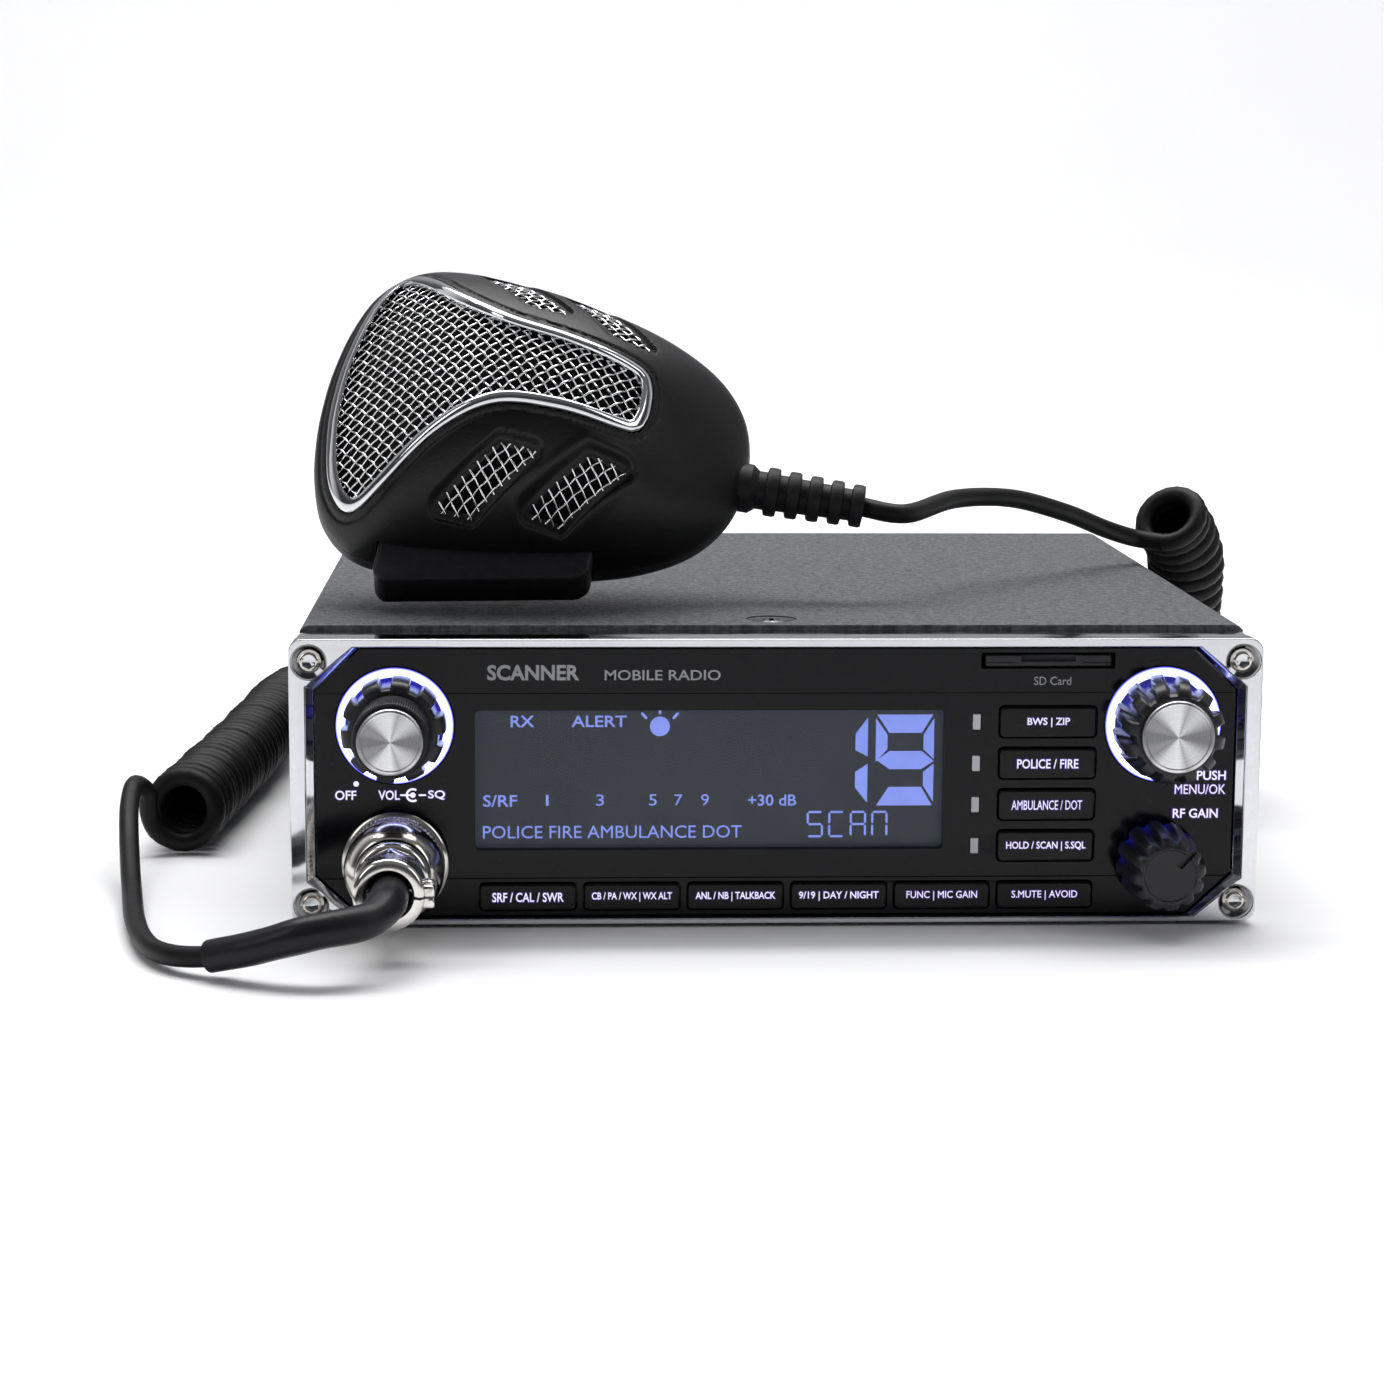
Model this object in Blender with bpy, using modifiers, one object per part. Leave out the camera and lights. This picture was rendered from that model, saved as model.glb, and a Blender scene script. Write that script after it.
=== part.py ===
"""Mobile police scanner with a hand microphone on a curly cord.

X runs to the right, Y to the back and Z up.  The origin is the middle of the
case's underside, so the case rests on the plane Z = 0 and its front faces -Y.
All lengths are in metres.
"""

import math

import bmesh
import bpy
from mathutils import Matrix, Vector

MM = 0.001
GAP = 0.3 * MM  # clearance between pieces that meet
RUNNING = 0.1 * MM  # clearance round a shaft in its bush

# Radio case
CASE_WIDTH = 183.0 * MM
CASE_HEIGHT = 56.5 * MM
CASE_DEPTH = 165.0 * MM
SHEET = 1.2 * MM
CASE_FRONT = -CASE_DEPTH / 2
CASE_BACK = CASE_DEPTH / 2
COVER_SPLIT = 27.0 * MM
COVER_CORNER = 2.0 * MM
COVER_SCREW = (0.0, CASE_FRONT + 9.0 * MM)
SPEAKER_Y = 41.0 * MM
SPEAKER_SLOT_REACH = 26.0 * MM
SPEAKER_SLOT_WIDTH = 3.0 * MM
SPEAKER_SLOT_PITCH = 7.0 * MM
BOARD_LOW = 24.0 * MM

# Heat sink on the back, and the sockets in it: X from the middle, Z from the ground
SINK_ROOT = 3.0 * MM
SINK_TIP = 12.0 * MM
SINK_MARGIN = 3.0 * MM
FIN_WIDTH = 2.2 * MM
FIN_PITCH = 6.4 * MM
FINS_A_SIDE = 8
SINK_FACE = CASE_BACK + GAP + SINK_ROOT
ANTENNA_AT = (-24.0 * MM, 34.0 * MM)
SCANNER_AT = (24.0 * MM, 34.0 * MM)
JACKS_AT = ((-26.0 * MM, 12.0 * MM), (-13.0 * MM, 12.0 * MM), (0.0, 12.0 * MM))
POWER_AT = (22.0 * MM, 12.0 * MM)

# Front bezel
BEZEL_WIDTH = CASE_WIDTH + 2.0 * MM
BEZEL_BASE = 0.6 * MM
BEZEL_HEIGHT = CASE_HEIGHT - 1.5 * MM
BEZEL_DEPTH = 12.5 * MM
BEZEL_FRONT = CASE_FRONT - BEZEL_DEPTH - GAP
BEZEL_CORNER = 2.5 * MM
BAND = 4.5 * MM  # width of the bezel's side bands
RAIL = 1.2 * MM  # height of its top rail
CUT_X = 8.6 * MM  # corner gussets
CUT_Z = 8.0 * MM
GUSSET_SCREW_IN = 3.8 * MM
SCREW_HEAD_RADIUS = 2.3 * MM
SCREW_RECESS_RADIUS = 3.2 * MM

# Depths behind the bezel's front plane
PANEL_FACE = 1.5 * MM
PANEL_BACK = 4.0 * MM
BOARD_FACE = 7.3 * MM
BOARD_BACK = 8.9 * MM
KEY_FACE = 0.7 * MM
KEY_TRAVEL = 0.6 * MM
KEY_FLANGE = 0.8 * MM

# Front panel layout: X from the middle, Z above the bezel's foot
LEFT_KNOB = (-72.7 * MM, 38.3 * MM)
RIGHT_KNOB = (73.8 * MM, 38.3 * MM)
GAIN_KNOB = (73.3 * MM, 11.7 * MM)
MIC_SOCKET = (-72.7 * MM, 12.0 * MM)
WINDOW_X = (-57.3 * MM, 31.6 * MM)
WINDOW_Z = (14.4 * MM, 40.8 * MM)
FOOT_KEY_SIZE = (18.25 * MM, 5.1 * MM)
FOOT_KEY_X = -47.6 * MM
FOOT_KEY_PITCH = 19.85 * MM
FOOT_KEY_Z = 5.1 * MM
SIDE_KEY_SIZE = (18.5 * MM, 5.9 * MM)
SIDE_KEY_X = 51.7 * MM
SIDE_KEY_Z = 38.8 * MM
SIDE_KEY_PITCH = 8.03 * MM
LAMP_SIZE = (1.5 * MM, 3.0 * MM)
LAMP_X = 38.0 * MM
SLOT_X = 51.5 * MM
SLOT_Z = 50.6 * MM
SLOT_SIZE = (25.7 * MM, 3.1 * MM)
CARD_SIZE = (24.0 * MM, 32.0 * MM, 2.1 * MM)

# Knobs: distances are forward of the bezel's front plane
LIGHT_RING_OUTER = 11.1 * MM
LIGHT_RING_INNER = 9.3 * MM
LIGHT_RING_FACE = -0.9 * MM
KNOB_BACK = -0.1 * MM
SQUELCH_FRONT = 7.5 * MM
SQUELCH_RADIUS = 9.95 * MM
VOLUME_FRONT = 16.0 * MM
VOLUME_RADIUS = 7.3 * MM
VOLUME_CAP_RADIUS = 6.2 * MM
CHANNEL_FRONT = 12.4 * MM
CHANNEL_RADIUS = 10.0 * MM
CHANNEL_CAP_RADIUS = 6.9 * MM
CAP_THICKNESS = 1.3 * MM
GAIN_FRONT = 13.0 * MM
GAIN_RADIUS = 8.1 * MM
GAIN_FACE_RADIUS = 6.6 * MM
SHAFT_RADIUS = 1.4 * MM
HUB_RADIUS = 2.6 * MM
BUSH_RADIUS = 3.9 * MM
PUSH_TRAVEL = 0.5 * MM

# Plug on the radio's microphone socket, forward of the bezel's front plane
PLUG_RING_RADIUS = 10.1 * MM
PLUG_RING_FRONT = 12.0 * MM
SOCKET_RADIUS = 7.8 * MM
SOCKET_WALL = 1.4 * MM
SOCKET_FRONT = 6.0 * MM
RING_LIP = 0.6 * MM  # how far the ring's front lip reaches in over the socket's rim
RING_LIP_BACK = 9.0 * MM
PLUG_FRONT = 28.0 * MM
PIN_RADIUS = 0.8 * MM
PIN_ARM = 3.2 * MM
PIN_CIRCLE = [
    (PIN_ARM * math.cos(angle), PIN_ARM * math.sin(angle))
    for angle in (math.radians(45.0 + 90.0 * index) for index in range(4))
]

# Microphone
MIC_SLOPE = math.radians(10.5)
MIC_LEAN = math.radians(36.0)
MIC_X = -42.5 * MM
MIC_DEPTH = 57.0 * MM  # behind the bezel's front plane
MIC_WALL = 2.0 * MM
MIC_SEAM = 0.15 * MM
MESH_DEPTH = MIC_WALL + 3 * GAP  # how far the woven mesh lies inside the shell
MIC_FRONT_RISE = 31.0 * MM
MIC_BACK_RISE = 13.5 * MM
MIC_FRONT_POWER = 1.8  # how square the domes are; 2 is round
MIC_BACK_POWER = 3.2
MIC_HALF_WIDTHS = (
    (-48.0, 0.0), (-47.6, 8.3), (-46.0, 17.8), (-42.6, 26.8), (-36.5, 32.4), (-28.0, 33.8),
    (-14.0, 32.6), (0.0, 30.6), (12.0, 28.2), (22.0, 25.4), (30.5, 21.0), (36.0, 15.4),
    (39.2, 8.6), (40.4, 0.0),
)
GRILLE_HALF_WIDTHS = (
    (-45.4, 0.0), (-44.8, 9.0), (-42.4, 20.0), (-38.6, 26.6), (-34.6, 28.0), (-30.0, 25.0),
    (-20.5, 16.2), (-10.0, 10.4), (2.0, 8.8), (14.0, 8.0), (18.0, 6.6), (19.4, 3.4), (19.7, 0.0),
)
SIDE_SLOT = ((-18.0, 27.2), (-11.5, 27.2), (-1.0, 16.7), (-7.5, 16.7))
SIDE_SLOT_PITCH = 17.5
SIDE_SLOT_TAPER = 0.12  # how far each slot steps in for its distance along the body
TRIM_WIDTH = 2.2 * MM
TRIM_PROUD = 0.4 * MM
TRIM_THICKNESS = 1.6 * MM
PTT_X = (-29.5 * MM, 13.0 * MM)
PTT_FACE_Y = (-40.8 * MM, -33.2 * MM)
PTT_INNER_Y = -25.0 * MM
PTT_Z = (-4.0 * MM, 6.0 * MM)
PTT_TRAVEL = 2.0 * MM
RELIEF_LENGTH = 24.0 * MM
RELIEF_RADII = (5.0 * MM, 4.2 * MM)
STUD_X = -15.0 * MM
RELIEF_AT = (-2.5 * MM, -1.0 * MM)  # off the microphone's middle line

# Cord
WIRE_RADIUS = 2.0 * MM
SLEEVE_RADIUS = 3.3 * MM
COIL_RADIUS = 8.7 * MM
# Route of the curly stretch: millimetres in X, behind the bezel's front plane, and up
COIL_ROUTE = (
    (-121.0, 67.0, 9.2), (-118.0, 105.0, 9.0), (-114.7, 144.0, 9.0), (-112.0, 185.0, 9.0),
    (-109.5, 215.0, 9.0), (-98.0, 238.0, 9.0), (-72.0, 247.0, 9.0), (-30.0, 243.0, 9.0),
    (15.0, 241.0, 9.0), (60.0, 245.0, 9.0), (92.0, 236.0, 9.0), (107.0, 212.0, 9.0),
    (108.5, 180.0, 12.0), (107.0, 155.0, 24.0), (105.5, 138.0, 42.0), (102.5, 125.0, 58.0),
    (96.7, 115.0, 67.0),
)

FRONTWARD = (math.radians(90.0), 0.0, 0.0)  # local X, Y, Z become X, Z, -Y
REARWARD = (math.radians(-90.0), 0.0, 0.0)  # local Z becomes +Y


def clear_scene():
    """Remove everything the new scene holds."""
    for obj in list(bpy.data.objects):
        bpy.data.objects.remove(obj)


def new_collection(name, hidden=False):
    """Make a collection in the scene."""
    collection = bpy.data.collections.new(name)
    collection.hide_render = hidden
    bpy.context.scene.collection.children.link(collection)
    return collection


clear_scene()
PARTS = new_collection("police_scanner")
CUTTERS = new_collection("police_scanner_cutters", hidden=True)


def material(name, colour, roughness, metallic=0.0, alpha=1.0):
    """Make a plain Principled material."""
    made = bpy.data.materials.new(name)
    made.use_nodes = True
    shader = made.node_tree.nodes["Principled BSDF"]
    shader.inputs["Base Color"].default_value = (*colour, 1.0)
    shader.inputs["Roughness"].default_value = roughness
    shader.inputs["Metallic"].default_value = metallic
    shader.inputs["Alpha"].default_value = alpha
    return made


def place(name, mesh, finish, location=(0, 0, 0), rotation=(0, 0, 0)):
    """Put a mesh into the scene as one named piece."""
    obj = bpy.data.objects.new(name, mesh)
    obj.location = location
    obj.rotation_euler = rotation
    PARTS.objects.link(obj)
    mesh.materials.clear()
    mesh.materials.append(material(name, *finish))
    return obj


def hide_as_tool(obj):
    """Turn a piece into a cutter that is never drawn."""
    PARTS.objects.unlink(obj)
    CUTTERS.objects.link(obj)
    obj.hide_render = True
    obj.display_type = "WIRE"
    return obj


def bmesh_to_mesh(name, shape):
    """Turn a bmesh into mesh data with outward normals."""
    bmesh.ops.recalc_face_normals(shape, faces=shape.faces)
    mesh = bpy.data.meshes.new(name)
    shape.to_mesh(mesh)
    shape.free()
    return mesh


def add_block(shape, low, high):
    """Add a box between two corners to a bmesh."""
    size = [b - a for a, b in zip(low, high)]
    middle = [(a + b) / 2 for a, b in zip(low, high)]
    matrix = Matrix.Translation(middle) @ Matrix.Diagonal((*size, 1.0))
    bmesh.ops.create_cube(shape, size=1.0, matrix=matrix)


def add_rod(shape, centre, low, high, radius, sides=24, tip_radius=None):
    """Add a round bar along local Z to a bmesh."""
    matrix = Matrix.Translation((centre[0], centre[1], (low + high) / 2))
    end = radius if tip_radius is None else tip_radius
    bmesh.ops.create_cone(
        shape, cap_ends=True, segments=sides, radius1=radius, radius2=end,
        depth=high - low, matrix=matrix,
    )


def blocks(name, corner_pairs, finish, location=(0, 0, 0), rotation=(0, 0, 0)):
    """A piece made of separate boxes, each given by two corners."""
    shape = bmesh.new()
    for low, high in corner_pairs:
        add_block(shape, low, high)
    return place(name, bmesh_to_mesh(name, shape), finish, location, rotation)


def rods(name, bars, finish, location=(0, 0, 0), rotation=(0, 0, 0)):
    """A piece made of separate round bars: (centre, low, high, radius, sides)."""
    shape = bmesh.new()
    for bar in bars:
        add_rod(shape, *bar)
    return place(name, bmesh_to_mesh(name, shape), finish, location, rotation)


def turned(name, profile, finish, location, rotation, steps=24, ring=False):
    """Turn a profile of (radius, height) points round local Z."""
    mesh = bpy.data.meshes.new(name)
    points = [(radius, 0.0, height) for radius, height in profile]
    edges = [(index, index + 1) for index in range(len(points) - 1)]
    if ring:
        edges.append((len(points) - 1, 0))
    mesh.from_pydata(points, edges, [])
    obj = place(name, mesh, finish, location, rotation)
    screw = obj.modifiers.new("turn", "SCREW")
    screw.steps = steps
    screw.render_steps = steps
    screw.use_merge_vertices = True
    screw.merge_threshold = 0.00005
    screw.use_smooth_shade = True
    return obj


def plate(name, outlines, low, high, finish, location=(0, 0, 0), rotation=(0, 0, 0)):
    """A flat piece cut from closed outlines in local X and Y, from low to high in local Z."""
    curve = bpy.data.curves.new(name, "CURVE")
    curve.dimensions = "2D"
    curve.fill_mode = "BOTH"
    curve.extrude = (high - low) / 2
    for outline in outlines:
        spline = curve.splines.new("POLY")
        spline.points.add(len(outline) - 1)
        for point, (x, y) in zip(spline.points, outline):
            point.co = (x, y, 0.0, 1.0)
        spline.use_cyclic_u = True
    holder = bpy.data.objects.new(name + "_outline", curve)
    PARTS.objects.link(holder)
    mesh = evaluated_mesh(holder, name, Matrix.Translation((0, 0, (low + high) / 2)))
    bpy.data.objects.remove(holder)
    return place(name, mesh, finish, location, rotation)


def evaluated_mesh(obj, name, matrix=None):
    """A welded copy of what an object's curve or modifiers make."""
    bpy.context.view_layer.update()
    graph = bpy.context.evaluated_depsgraph_get()
    mesh = bpy.data.meshes.new_from_object(obj.evaluated_get(graph))
    shape = bmesh.new()
    shape.from_mesh(mesh)
    if matrix is not None:
        shape.transform(matrix)
    bmesh.ops.remove_doubles(shape, verts=shape.verts, dist=1e-7)
    bmesh.ops.recalc_face_normals(shape, faces=shape.faces)
    shape.to_mesh(mesh)
    shape.free()
    mesh.name = name
    return mesh


def boolean(obj, tool, operation="DIFFERENCE"):
    """Cut a tool out of a piece, or join it on."""
    hide_as_tool(tool)
    modifier = obj.modifiers.new(operation.lower(), "BOOLEAN")
    modifier.operation = operation
    modifier.solver = "EXACT"
    modifier.object = tool
    return obj


def rounded(obj, width, segments=2, angle=40.0):
    """Round the sharp edges of a piece."""
    bevel = obj.modifiers.new("round", "BEVEL")
    bevel.width = width
    bevel.segments = segments
    bevel.limit_method = "ANGLE"
    bevel.angle_limit = math.radians(angle)
    return obj


def rectangle(x_range, y_range):
    """A rectangular outline."""
    (left, right), (low, high) = x_range, y_range
    return [(left, low), (right, low), (right, high), (left, high)]


def around(centre, size):
    """Ranges of a rectangle given by its middle and size."""
    return tuple((c - s / 2, c + s / 2) for c, s in zip(centre, size))


def circle(centre, radius, sides=24):
    """A round outline."""
    angles = [2 * math.pi * index / sides for index in range(sides)]
    return [
        (centre[0] + radius * math.cos(angle), centre[1] + radius * math.sin(angle))
        for angle in angles
    ]


def rounded_rectangle(x_range, y_range, radius, steps=4):
    """A rectangular outline with round corners."""
    (left, right), (low, high) = x_range, y_range
    corners = (
        (right - radius, low + radius, -90.0), (right - radius, high - radius, 0.0),
        (left + radius, high - radius, 90.0), (left + radius, low + radius, 180.0),
    )
    points = []
    for x, y, start in corners:
        for step in range(steps + 1):
            angle = math.radians(start + 90.0 * step / steps)
            points.append((x + radius * math.cos(angle), y + radius * math.sin(angle)))
    return points


def cut_corner_outline(inset=0.0):
    """The bezel's eight-sided opening, made smaller all round by an inset."""
    half = BEZEL_WIDTH / 2 - BAND - inset
    low = BEZEL_BASE + RAIL + inset
    high = BEZEL_BASE + BEZEL_HEIGHT - RAIL - 0.6 * MM - inset
    trim = inset * 0.42  # keeps the slanted sides inset by the same amount
    cut_x = CUT_X + trim
    cut_z = CUT_Z + trim
    return [
        (-half + cut_x, low), (half - cut_x, low), (half, low + cut_z), (half, high - cut_z),
        (half - cut_x, high), (-half + cut_x, high), (-half, high - cut_z), (-half, low + cut_z),
    ]


def front_place(x_z=(0.0, 0.0)):
    """Location on the bezel's front plane of a spot on the panel."""
    return (x_z[0], BEZEL_FRONT, x_z[1] + BEZEL_BASE)


def front_plate(name, outlines, near, far, finish):
    """A plate facing the front, between two depths behind the bezel's front plane."""
    return plate(name, outlines, -far, -near, finish, (0.0, BEZEL_FRONT, 0.0), FRONTWARD)


def above_foot(outline):
    """Shift an outline given above the bezel's foot to heights above the ground."""
    return [(x, z + BEZEL_BASE) for x, z in outline]


BLACK_GLOSS = ((0.010, 0.010, 0.012), 0.12)
BLACK_SATIN = ((0.018, 0.018, 0.020), 0.42)
RUBBER = ((0.020, 0.020, 0.022), 0.62)
CHROME = ((0.80, 0.81, 0.83), 0.08, 1.0)
NICKEL = ((0.66, 0.63, 0.58), 0.16, 1.0)
STEEL = ((0.55, 0.56, 0.58), 0.35, 1.0)
SPUN_ALUMINIUM = ((0.75, 0.75, 0.76), 0.25, 1.0)
PAINTED = ((0.085, 0.095, 0.110), 0.50)
CAST = ((0.12, 0.12, 0.13), 0.45, 0.6)
BOARD_GREEN = ((0.03, 0.16, 0.07), 0.45)
LIT_BLUE = ((0.35, 0.45, 1.0), 0.30)
LCD_DARK = ((0.05, 0.06, 0.08), 0.25)
CLEAR = ((0.60, 0.65, 0.70), 0.04, 0.0, 0.3)
PALE_LAMP = ((0.62, 0.64, 0.68), 0.30)
BRASS = ((0.75, 0.58, 0.28), 0.25, 1.0)
WHITE_PLASTIC = ((0.80, 0.80, 0.78), 0.40)


def u_profile(sign, split, top):
    """Section of a cover in X and Z: a sheet folded down at both sides."""
    half = CASE_WIDTH / 2
    fold = []  # from the side to the flat, at the right
    for step in range(4):
        angle = math.radians(30.0 * step)
        x = half - COVER_CORNER * (1.0 - math.cos(angle))
        fold.append((x, top - sign * COVER_CORNER * (1.0 - math.sin(angle))))
    left = [(-x, z) for x, z in fold]
    inner_half = half - SHEET
    inner_top = top - sign * SHEET
    inner = [
        (inner_half, split), (inner_half, inner_top), (-inner_half, inner_top), (-inner_half, split),
    ]
    return [(-half, split), *left, *reversed(fold), (half, split), *inner]


def build_covers():
    """The painted top and bottom covers."""
    top = plate(
        "top_cover", [u_profile(1, COVER_SPLIT + GAP, CASE_HEIGHT)],
        -CASE_BACK, -CASE_FRONT, PAINTED, (0, 0, 0), FRONTWARD,
    )
    hole = (COVER_SCREW, CASE_HEIGHT - 3 * SHEET, CASE_HEIGHT + SHEET, 5.0 * MM, 24)
    boolean(top, rods("top_cover_hole", [hole], PAINTED))
    bottom = plate(
        "bottom_cover", [u_profile(-1, COVER_SPLIT, 0.0)],
        -CASE_BACK, -CASE_FRONT, PAINTED, (0, 0, 0), FRONTWARD,
    )
    slots = []
    for index in range(-3, 4):
        x = index * SPEAKER_SLOT_PITCH
        reach = math.sqrt(SPEAKER_SLOT_REACH ** 2 - x ** 2)
        low = (x - SPEAKER_SLOT_WIDTH / 2, SPEAKER_Y - reach, -SHEET)
        slots.append((low, (x + SPEAKER_SLOT_WIDTH / 2, SPEAKER_Y + reach, 2 * SHEET)))
    boolean(bottom, blocks("speaker_slots", slots, PAINTED))


def build_chassis():
    """The folded tray inside the covers, with posts for the main board."""
    half = CASE_WIDTH / 2 - SHEET - GAP
    low = SHEET + GAP
    high = CASE_HEIGHT - SHEET - GAP
    front = CASE_FRONT + GAP
    back = CASE_BACK - GAP
    chassis = blocks("chassis", [((-half, front, low), (half, back, high))], STEEL)
    inner = half - SHEET
    hollow = ((-inner, front + SHEET, low + SHEET), (inner, back + SHEET, high - SHEET))
    boolean(chassis, blocks("chassis_hollow", [hollow], STEEL))
    lid = ((-inner, front + 18.0 * MM, BOARD_LOW), (inner, back - 9.0 * MM, high + SHEET))
    boolean(chassis, blocks("chassis_lid_opening", [lid], STEEL))
    mouth = ((-82.0 * MM, front - SHEET, 4.0 * MM), (82.0 * MM, front + 2 * SHEET, high - SHEET - 0.2 * MM))
    boolean(chassis, blocks("chassis_mouth", [mouth], STEEL))
    hole = (COVER_SCREW, high - 2 * SHEET, high + SHEET, 2.0 * MM, 16)
    boolean(chassis, rods("chassis_screw_hole", [hole], STEEL))
    sound_hole = [((0.0, SPEAKER_Y), 0.0, low + 2 * SHEET, 27.0 * MM, 32)]
    boolean(chassis, rods("chassis_sound_hole", sound_hole, STEEL))
    posts = [
        ((x, y), low + SHEET / 2, BOARD_LOW - GAP, 3.0 * MM, 12)
        for x in (-76.0 * MM, 76.0 * MM)
        for y in (-48.0 * MM, 68.0 * MM)
    ]
    boolean(chassis, rods("chassis_posts", posts, STEEL), "UNION")


def build_cover_screw():
    """Pan-head screw that holds the top cover, sunk in its dimple."""
    seat = CASE_HEIGHT - SHEET - GAP
    profile = [
        (0.0, 1.5 * MM), (1.9 * MM, 1.4 * MM), (3.0 * MM, 0.8 * MM), (3.0 * MM, GAP),
        (1.5 * MM, GAP), (1.5 * MM, -5.0 * MM), (0.0, -5.0 * MM),
    ]
    turned("cover_screw", profile, STEEL, (*COVER_SCREW, seat), (0, 0, 0), 16)


def build_heat_sink():
    """Finned plate that closes the back."""
    half = CASE_WIDTH / 2 - SINK_MARGIN / 2
    fins = []
    for index in range(FINS_A_SIDE):
        x = half - index * FIN_PITCH
        fins += [(x, SINK_ROOT), (x, SINK_TIP), (x - FIN_WIDTH, SINK_TIP), (x - FIN_WIDTH, SINK_ROOT)]
    left_fins = [(-x, y) for x, y in reversed(fins)]
    outline = [(-half, 0.0), (half, 0.0), *fins, *left_fins]
    low, high = SINK_MARGIN, CASE_HEIGHT - SINK_MARGIN
    plate("heat_sink", [outline], low, high, CAST, (0.0, CASE_BACK + GAP, 0.0))


def build_rear_sockets():
    """Antenna sockets, jacks and the power inlet on the back."""
    base = SINK_FACE + GAP
    threaded = [
        (0.0, 3.5 * MM), (1.6 * MM, 3.5 * MM), (1.6 * MM, 3.0 * MM), (6.6 * MM, 3.0 * MM),
        (6.6 * MM, 12.0 * MM), (7.9 * MM, 12.0 * MM), (7.9 * MM, 2.0 * MM), (12.0 * MM, 2.0 * MM),
        (12.0 * MM, 0.0), (0.0, 0.0),
    ]
    x, z = ANTENNA_AT
    turned("antenna_socket", threaded, NICKEL, (x, base, z), REARWARD)
    bayonet = [
        (0.0, 5.0 * MM), (0.7 * MM, 5.0 * MM), (0.7 * MM, 2.5 * MM), (3.9 * MM, 2.5 * MM),
        (3.9 * MM, 11.0 * MM), (4.8 * MM, 11.0 * MM), (4.8 * MM, 1.8 * MM), (7.2 * MM, 1.8 * MM),
        (7.2 * MM, 0.0), (0.0, 0.0),
    ]
    x, z = SCANNER_AT
    turned("scanner_antenna_socket", bayonet, NICKEL, (x, base, z), REARWARD, 24)
    x, z = POWER_AT
    back_plate = ((-32.0 * MM, base, z - 7 * MM), (x + 12 * MM, base + 1.0 * MM, z + 7 * MM))
    sockets = blocks("rear_jacks", [back_plate], BLACK_SATIN)
    body = ((x - 11 * MM, base + 0.5 * MM, z - 6 * MM), (x + 11 * MM, base + 9 * MM, z + 6 * MM))
    boolean(sockets, blocks("power_body", [body], BLACK_SATIN), "UNION")
    cavity = ((x - 9 * MM, base + 2 * MM, z - 4 * MM), (x + 9 * MM, base + 12 * MM, z + 4 * MM))
    boolean(sockets, blocks("power_cavity", [cavity], BLACK_SATIN))
    jack = [
        (0.0, 0.8 * MM), (1.8 * MM, 0.8 * MM), (1.8 * MM, 3.6 * MM), (3.6 * MM, 3.6 * MM),
        (3.6 * MM, 1.6 * MM), (4.8 * MM, 1.6 * MM), (4.8 * MM, 0.5 * MM), (0.0, 0.5 * MM),
    ]
    for index, (x, z) in enumerate(JACKS_AT):
        collar = turned(f"jack_{index}", jack, BLACK_SATIN, (x, base, z), REARWARD, 20)
        boolean(sockets, collar, "UNION")


def build_bezel():
    """The chrome frame round the panel, with a screw recess in each corner."""
    half = BEZEL_WIDTH / 2
    top = BEZEL_BASE + BEZEL_HEIGHT
    outer = rounded_rectangle((-half, half), (BEZEL_BASE, top), BEZEL_CORNER)
    bezel = front_plate("front_bezel", [outer, cut_corner_outline()], 0.0, BEZEL_DEPTH, CHROME)
    recesses = []
    shanks = []
    for x, z in gusset_screws():
        recesses.append(((x, z), -2.2 * MM, 2.0 * MM, SCREW_RECESS_RADIUS, 24))
        shanks.append(((x, z), -BEZEL_DEPTH - MM, -2.0 * MM, 1.8 * MM, 16))
    place_at = (0.0, BEZEL_FRONT, 0.0)
    boolean(bezel, rods("bezel_recesses", recesses, CHROME, place_at, FRONTWARD))
    boolean(bezel, rods("bezel_screw_holes", shanks, CHROME, place_at, FRONTWARD))
    build_bezel_screws()


def gusset_screws():
    """Middles of the four corner screws in X and Z."""
    x = BEZEL_WIDTH / 2 - GUSSET_SCREW_IN
    low = BEZEL_BASE + GUSSET_SCREW_IN
    high = BEZEL_BASE + BEZEL_HEIGHT - GUSSET_SCREW_IN - 0.6 * MM
    return [(-x, low), (x, low), (-x, high), (x, high)]


def build_bezel_screws():
    """Four button-head screws with a socket."""
    profile = [
        (0.0, -1.2 * MM), (1.2 * MM, -1.2 * MM), (1.2 * MM, -0.2 * MM), (1.7 * MM, -0.3 * MM),
        (SCREW_HEAD_RADIUS, -1.0 * MM), (SCREW_HEAD_RADIUS, -1.9 * MM), (1.5 * MM, -1.9 * MM),
        (1.5 * MM, -BEZEL_DEPTH + MM), (0.0, -BEZEL_DEPTH + MM),
    ]
    names = ("lower_left", "lower_right", "upper_left", "upper_right")
    for name, (x, z) in zip(names, gusset_screws()):
        turned("bezel_screw_" + name, profile, STEEL, (x, BEZEL_FRONT, z), FRONTWARD, 12)


def key_spots():
    """Name, middle and size of each key."""
    names = (
        "key_srf_cal_swr", "key_band_weather", "key_noise_talkback", "key_channel_day_night",
        "key_function_gain", "key_mute_avoid",
    )
    spots = [
        (name, (FOOT_KEY_X + index * FOOT_KEY_PITCH, FOOT_KEY_Z), FOOT_KEY_SIZE)
        for index, name in enumerate(names)
    ]
    names = ("key_search_zip", "key_police_fire", "key_ambulance_dot", "key_hold_scan")
    spots += [
        (name, (SIDE_KEY_X, SIDE_KEY_Z - index * SIDE_KEY_PITCH), SIDE_KEY_SIZE)
        for index, name in enumerate(names)
    ]
    return spots


def lamp_spots():
    """Middle of each indicator lamp, level with the keys beside it."""
    return [(LAMP_X, SIDE_KEY_Z - index * SIDE_KEY_PITCH) for index in range(4)]


def grown(size, amount):
    """A size made larger by an amount on every side."""
    return (size[0] + 2 * amount, size[1] + 2 * amount)


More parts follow.
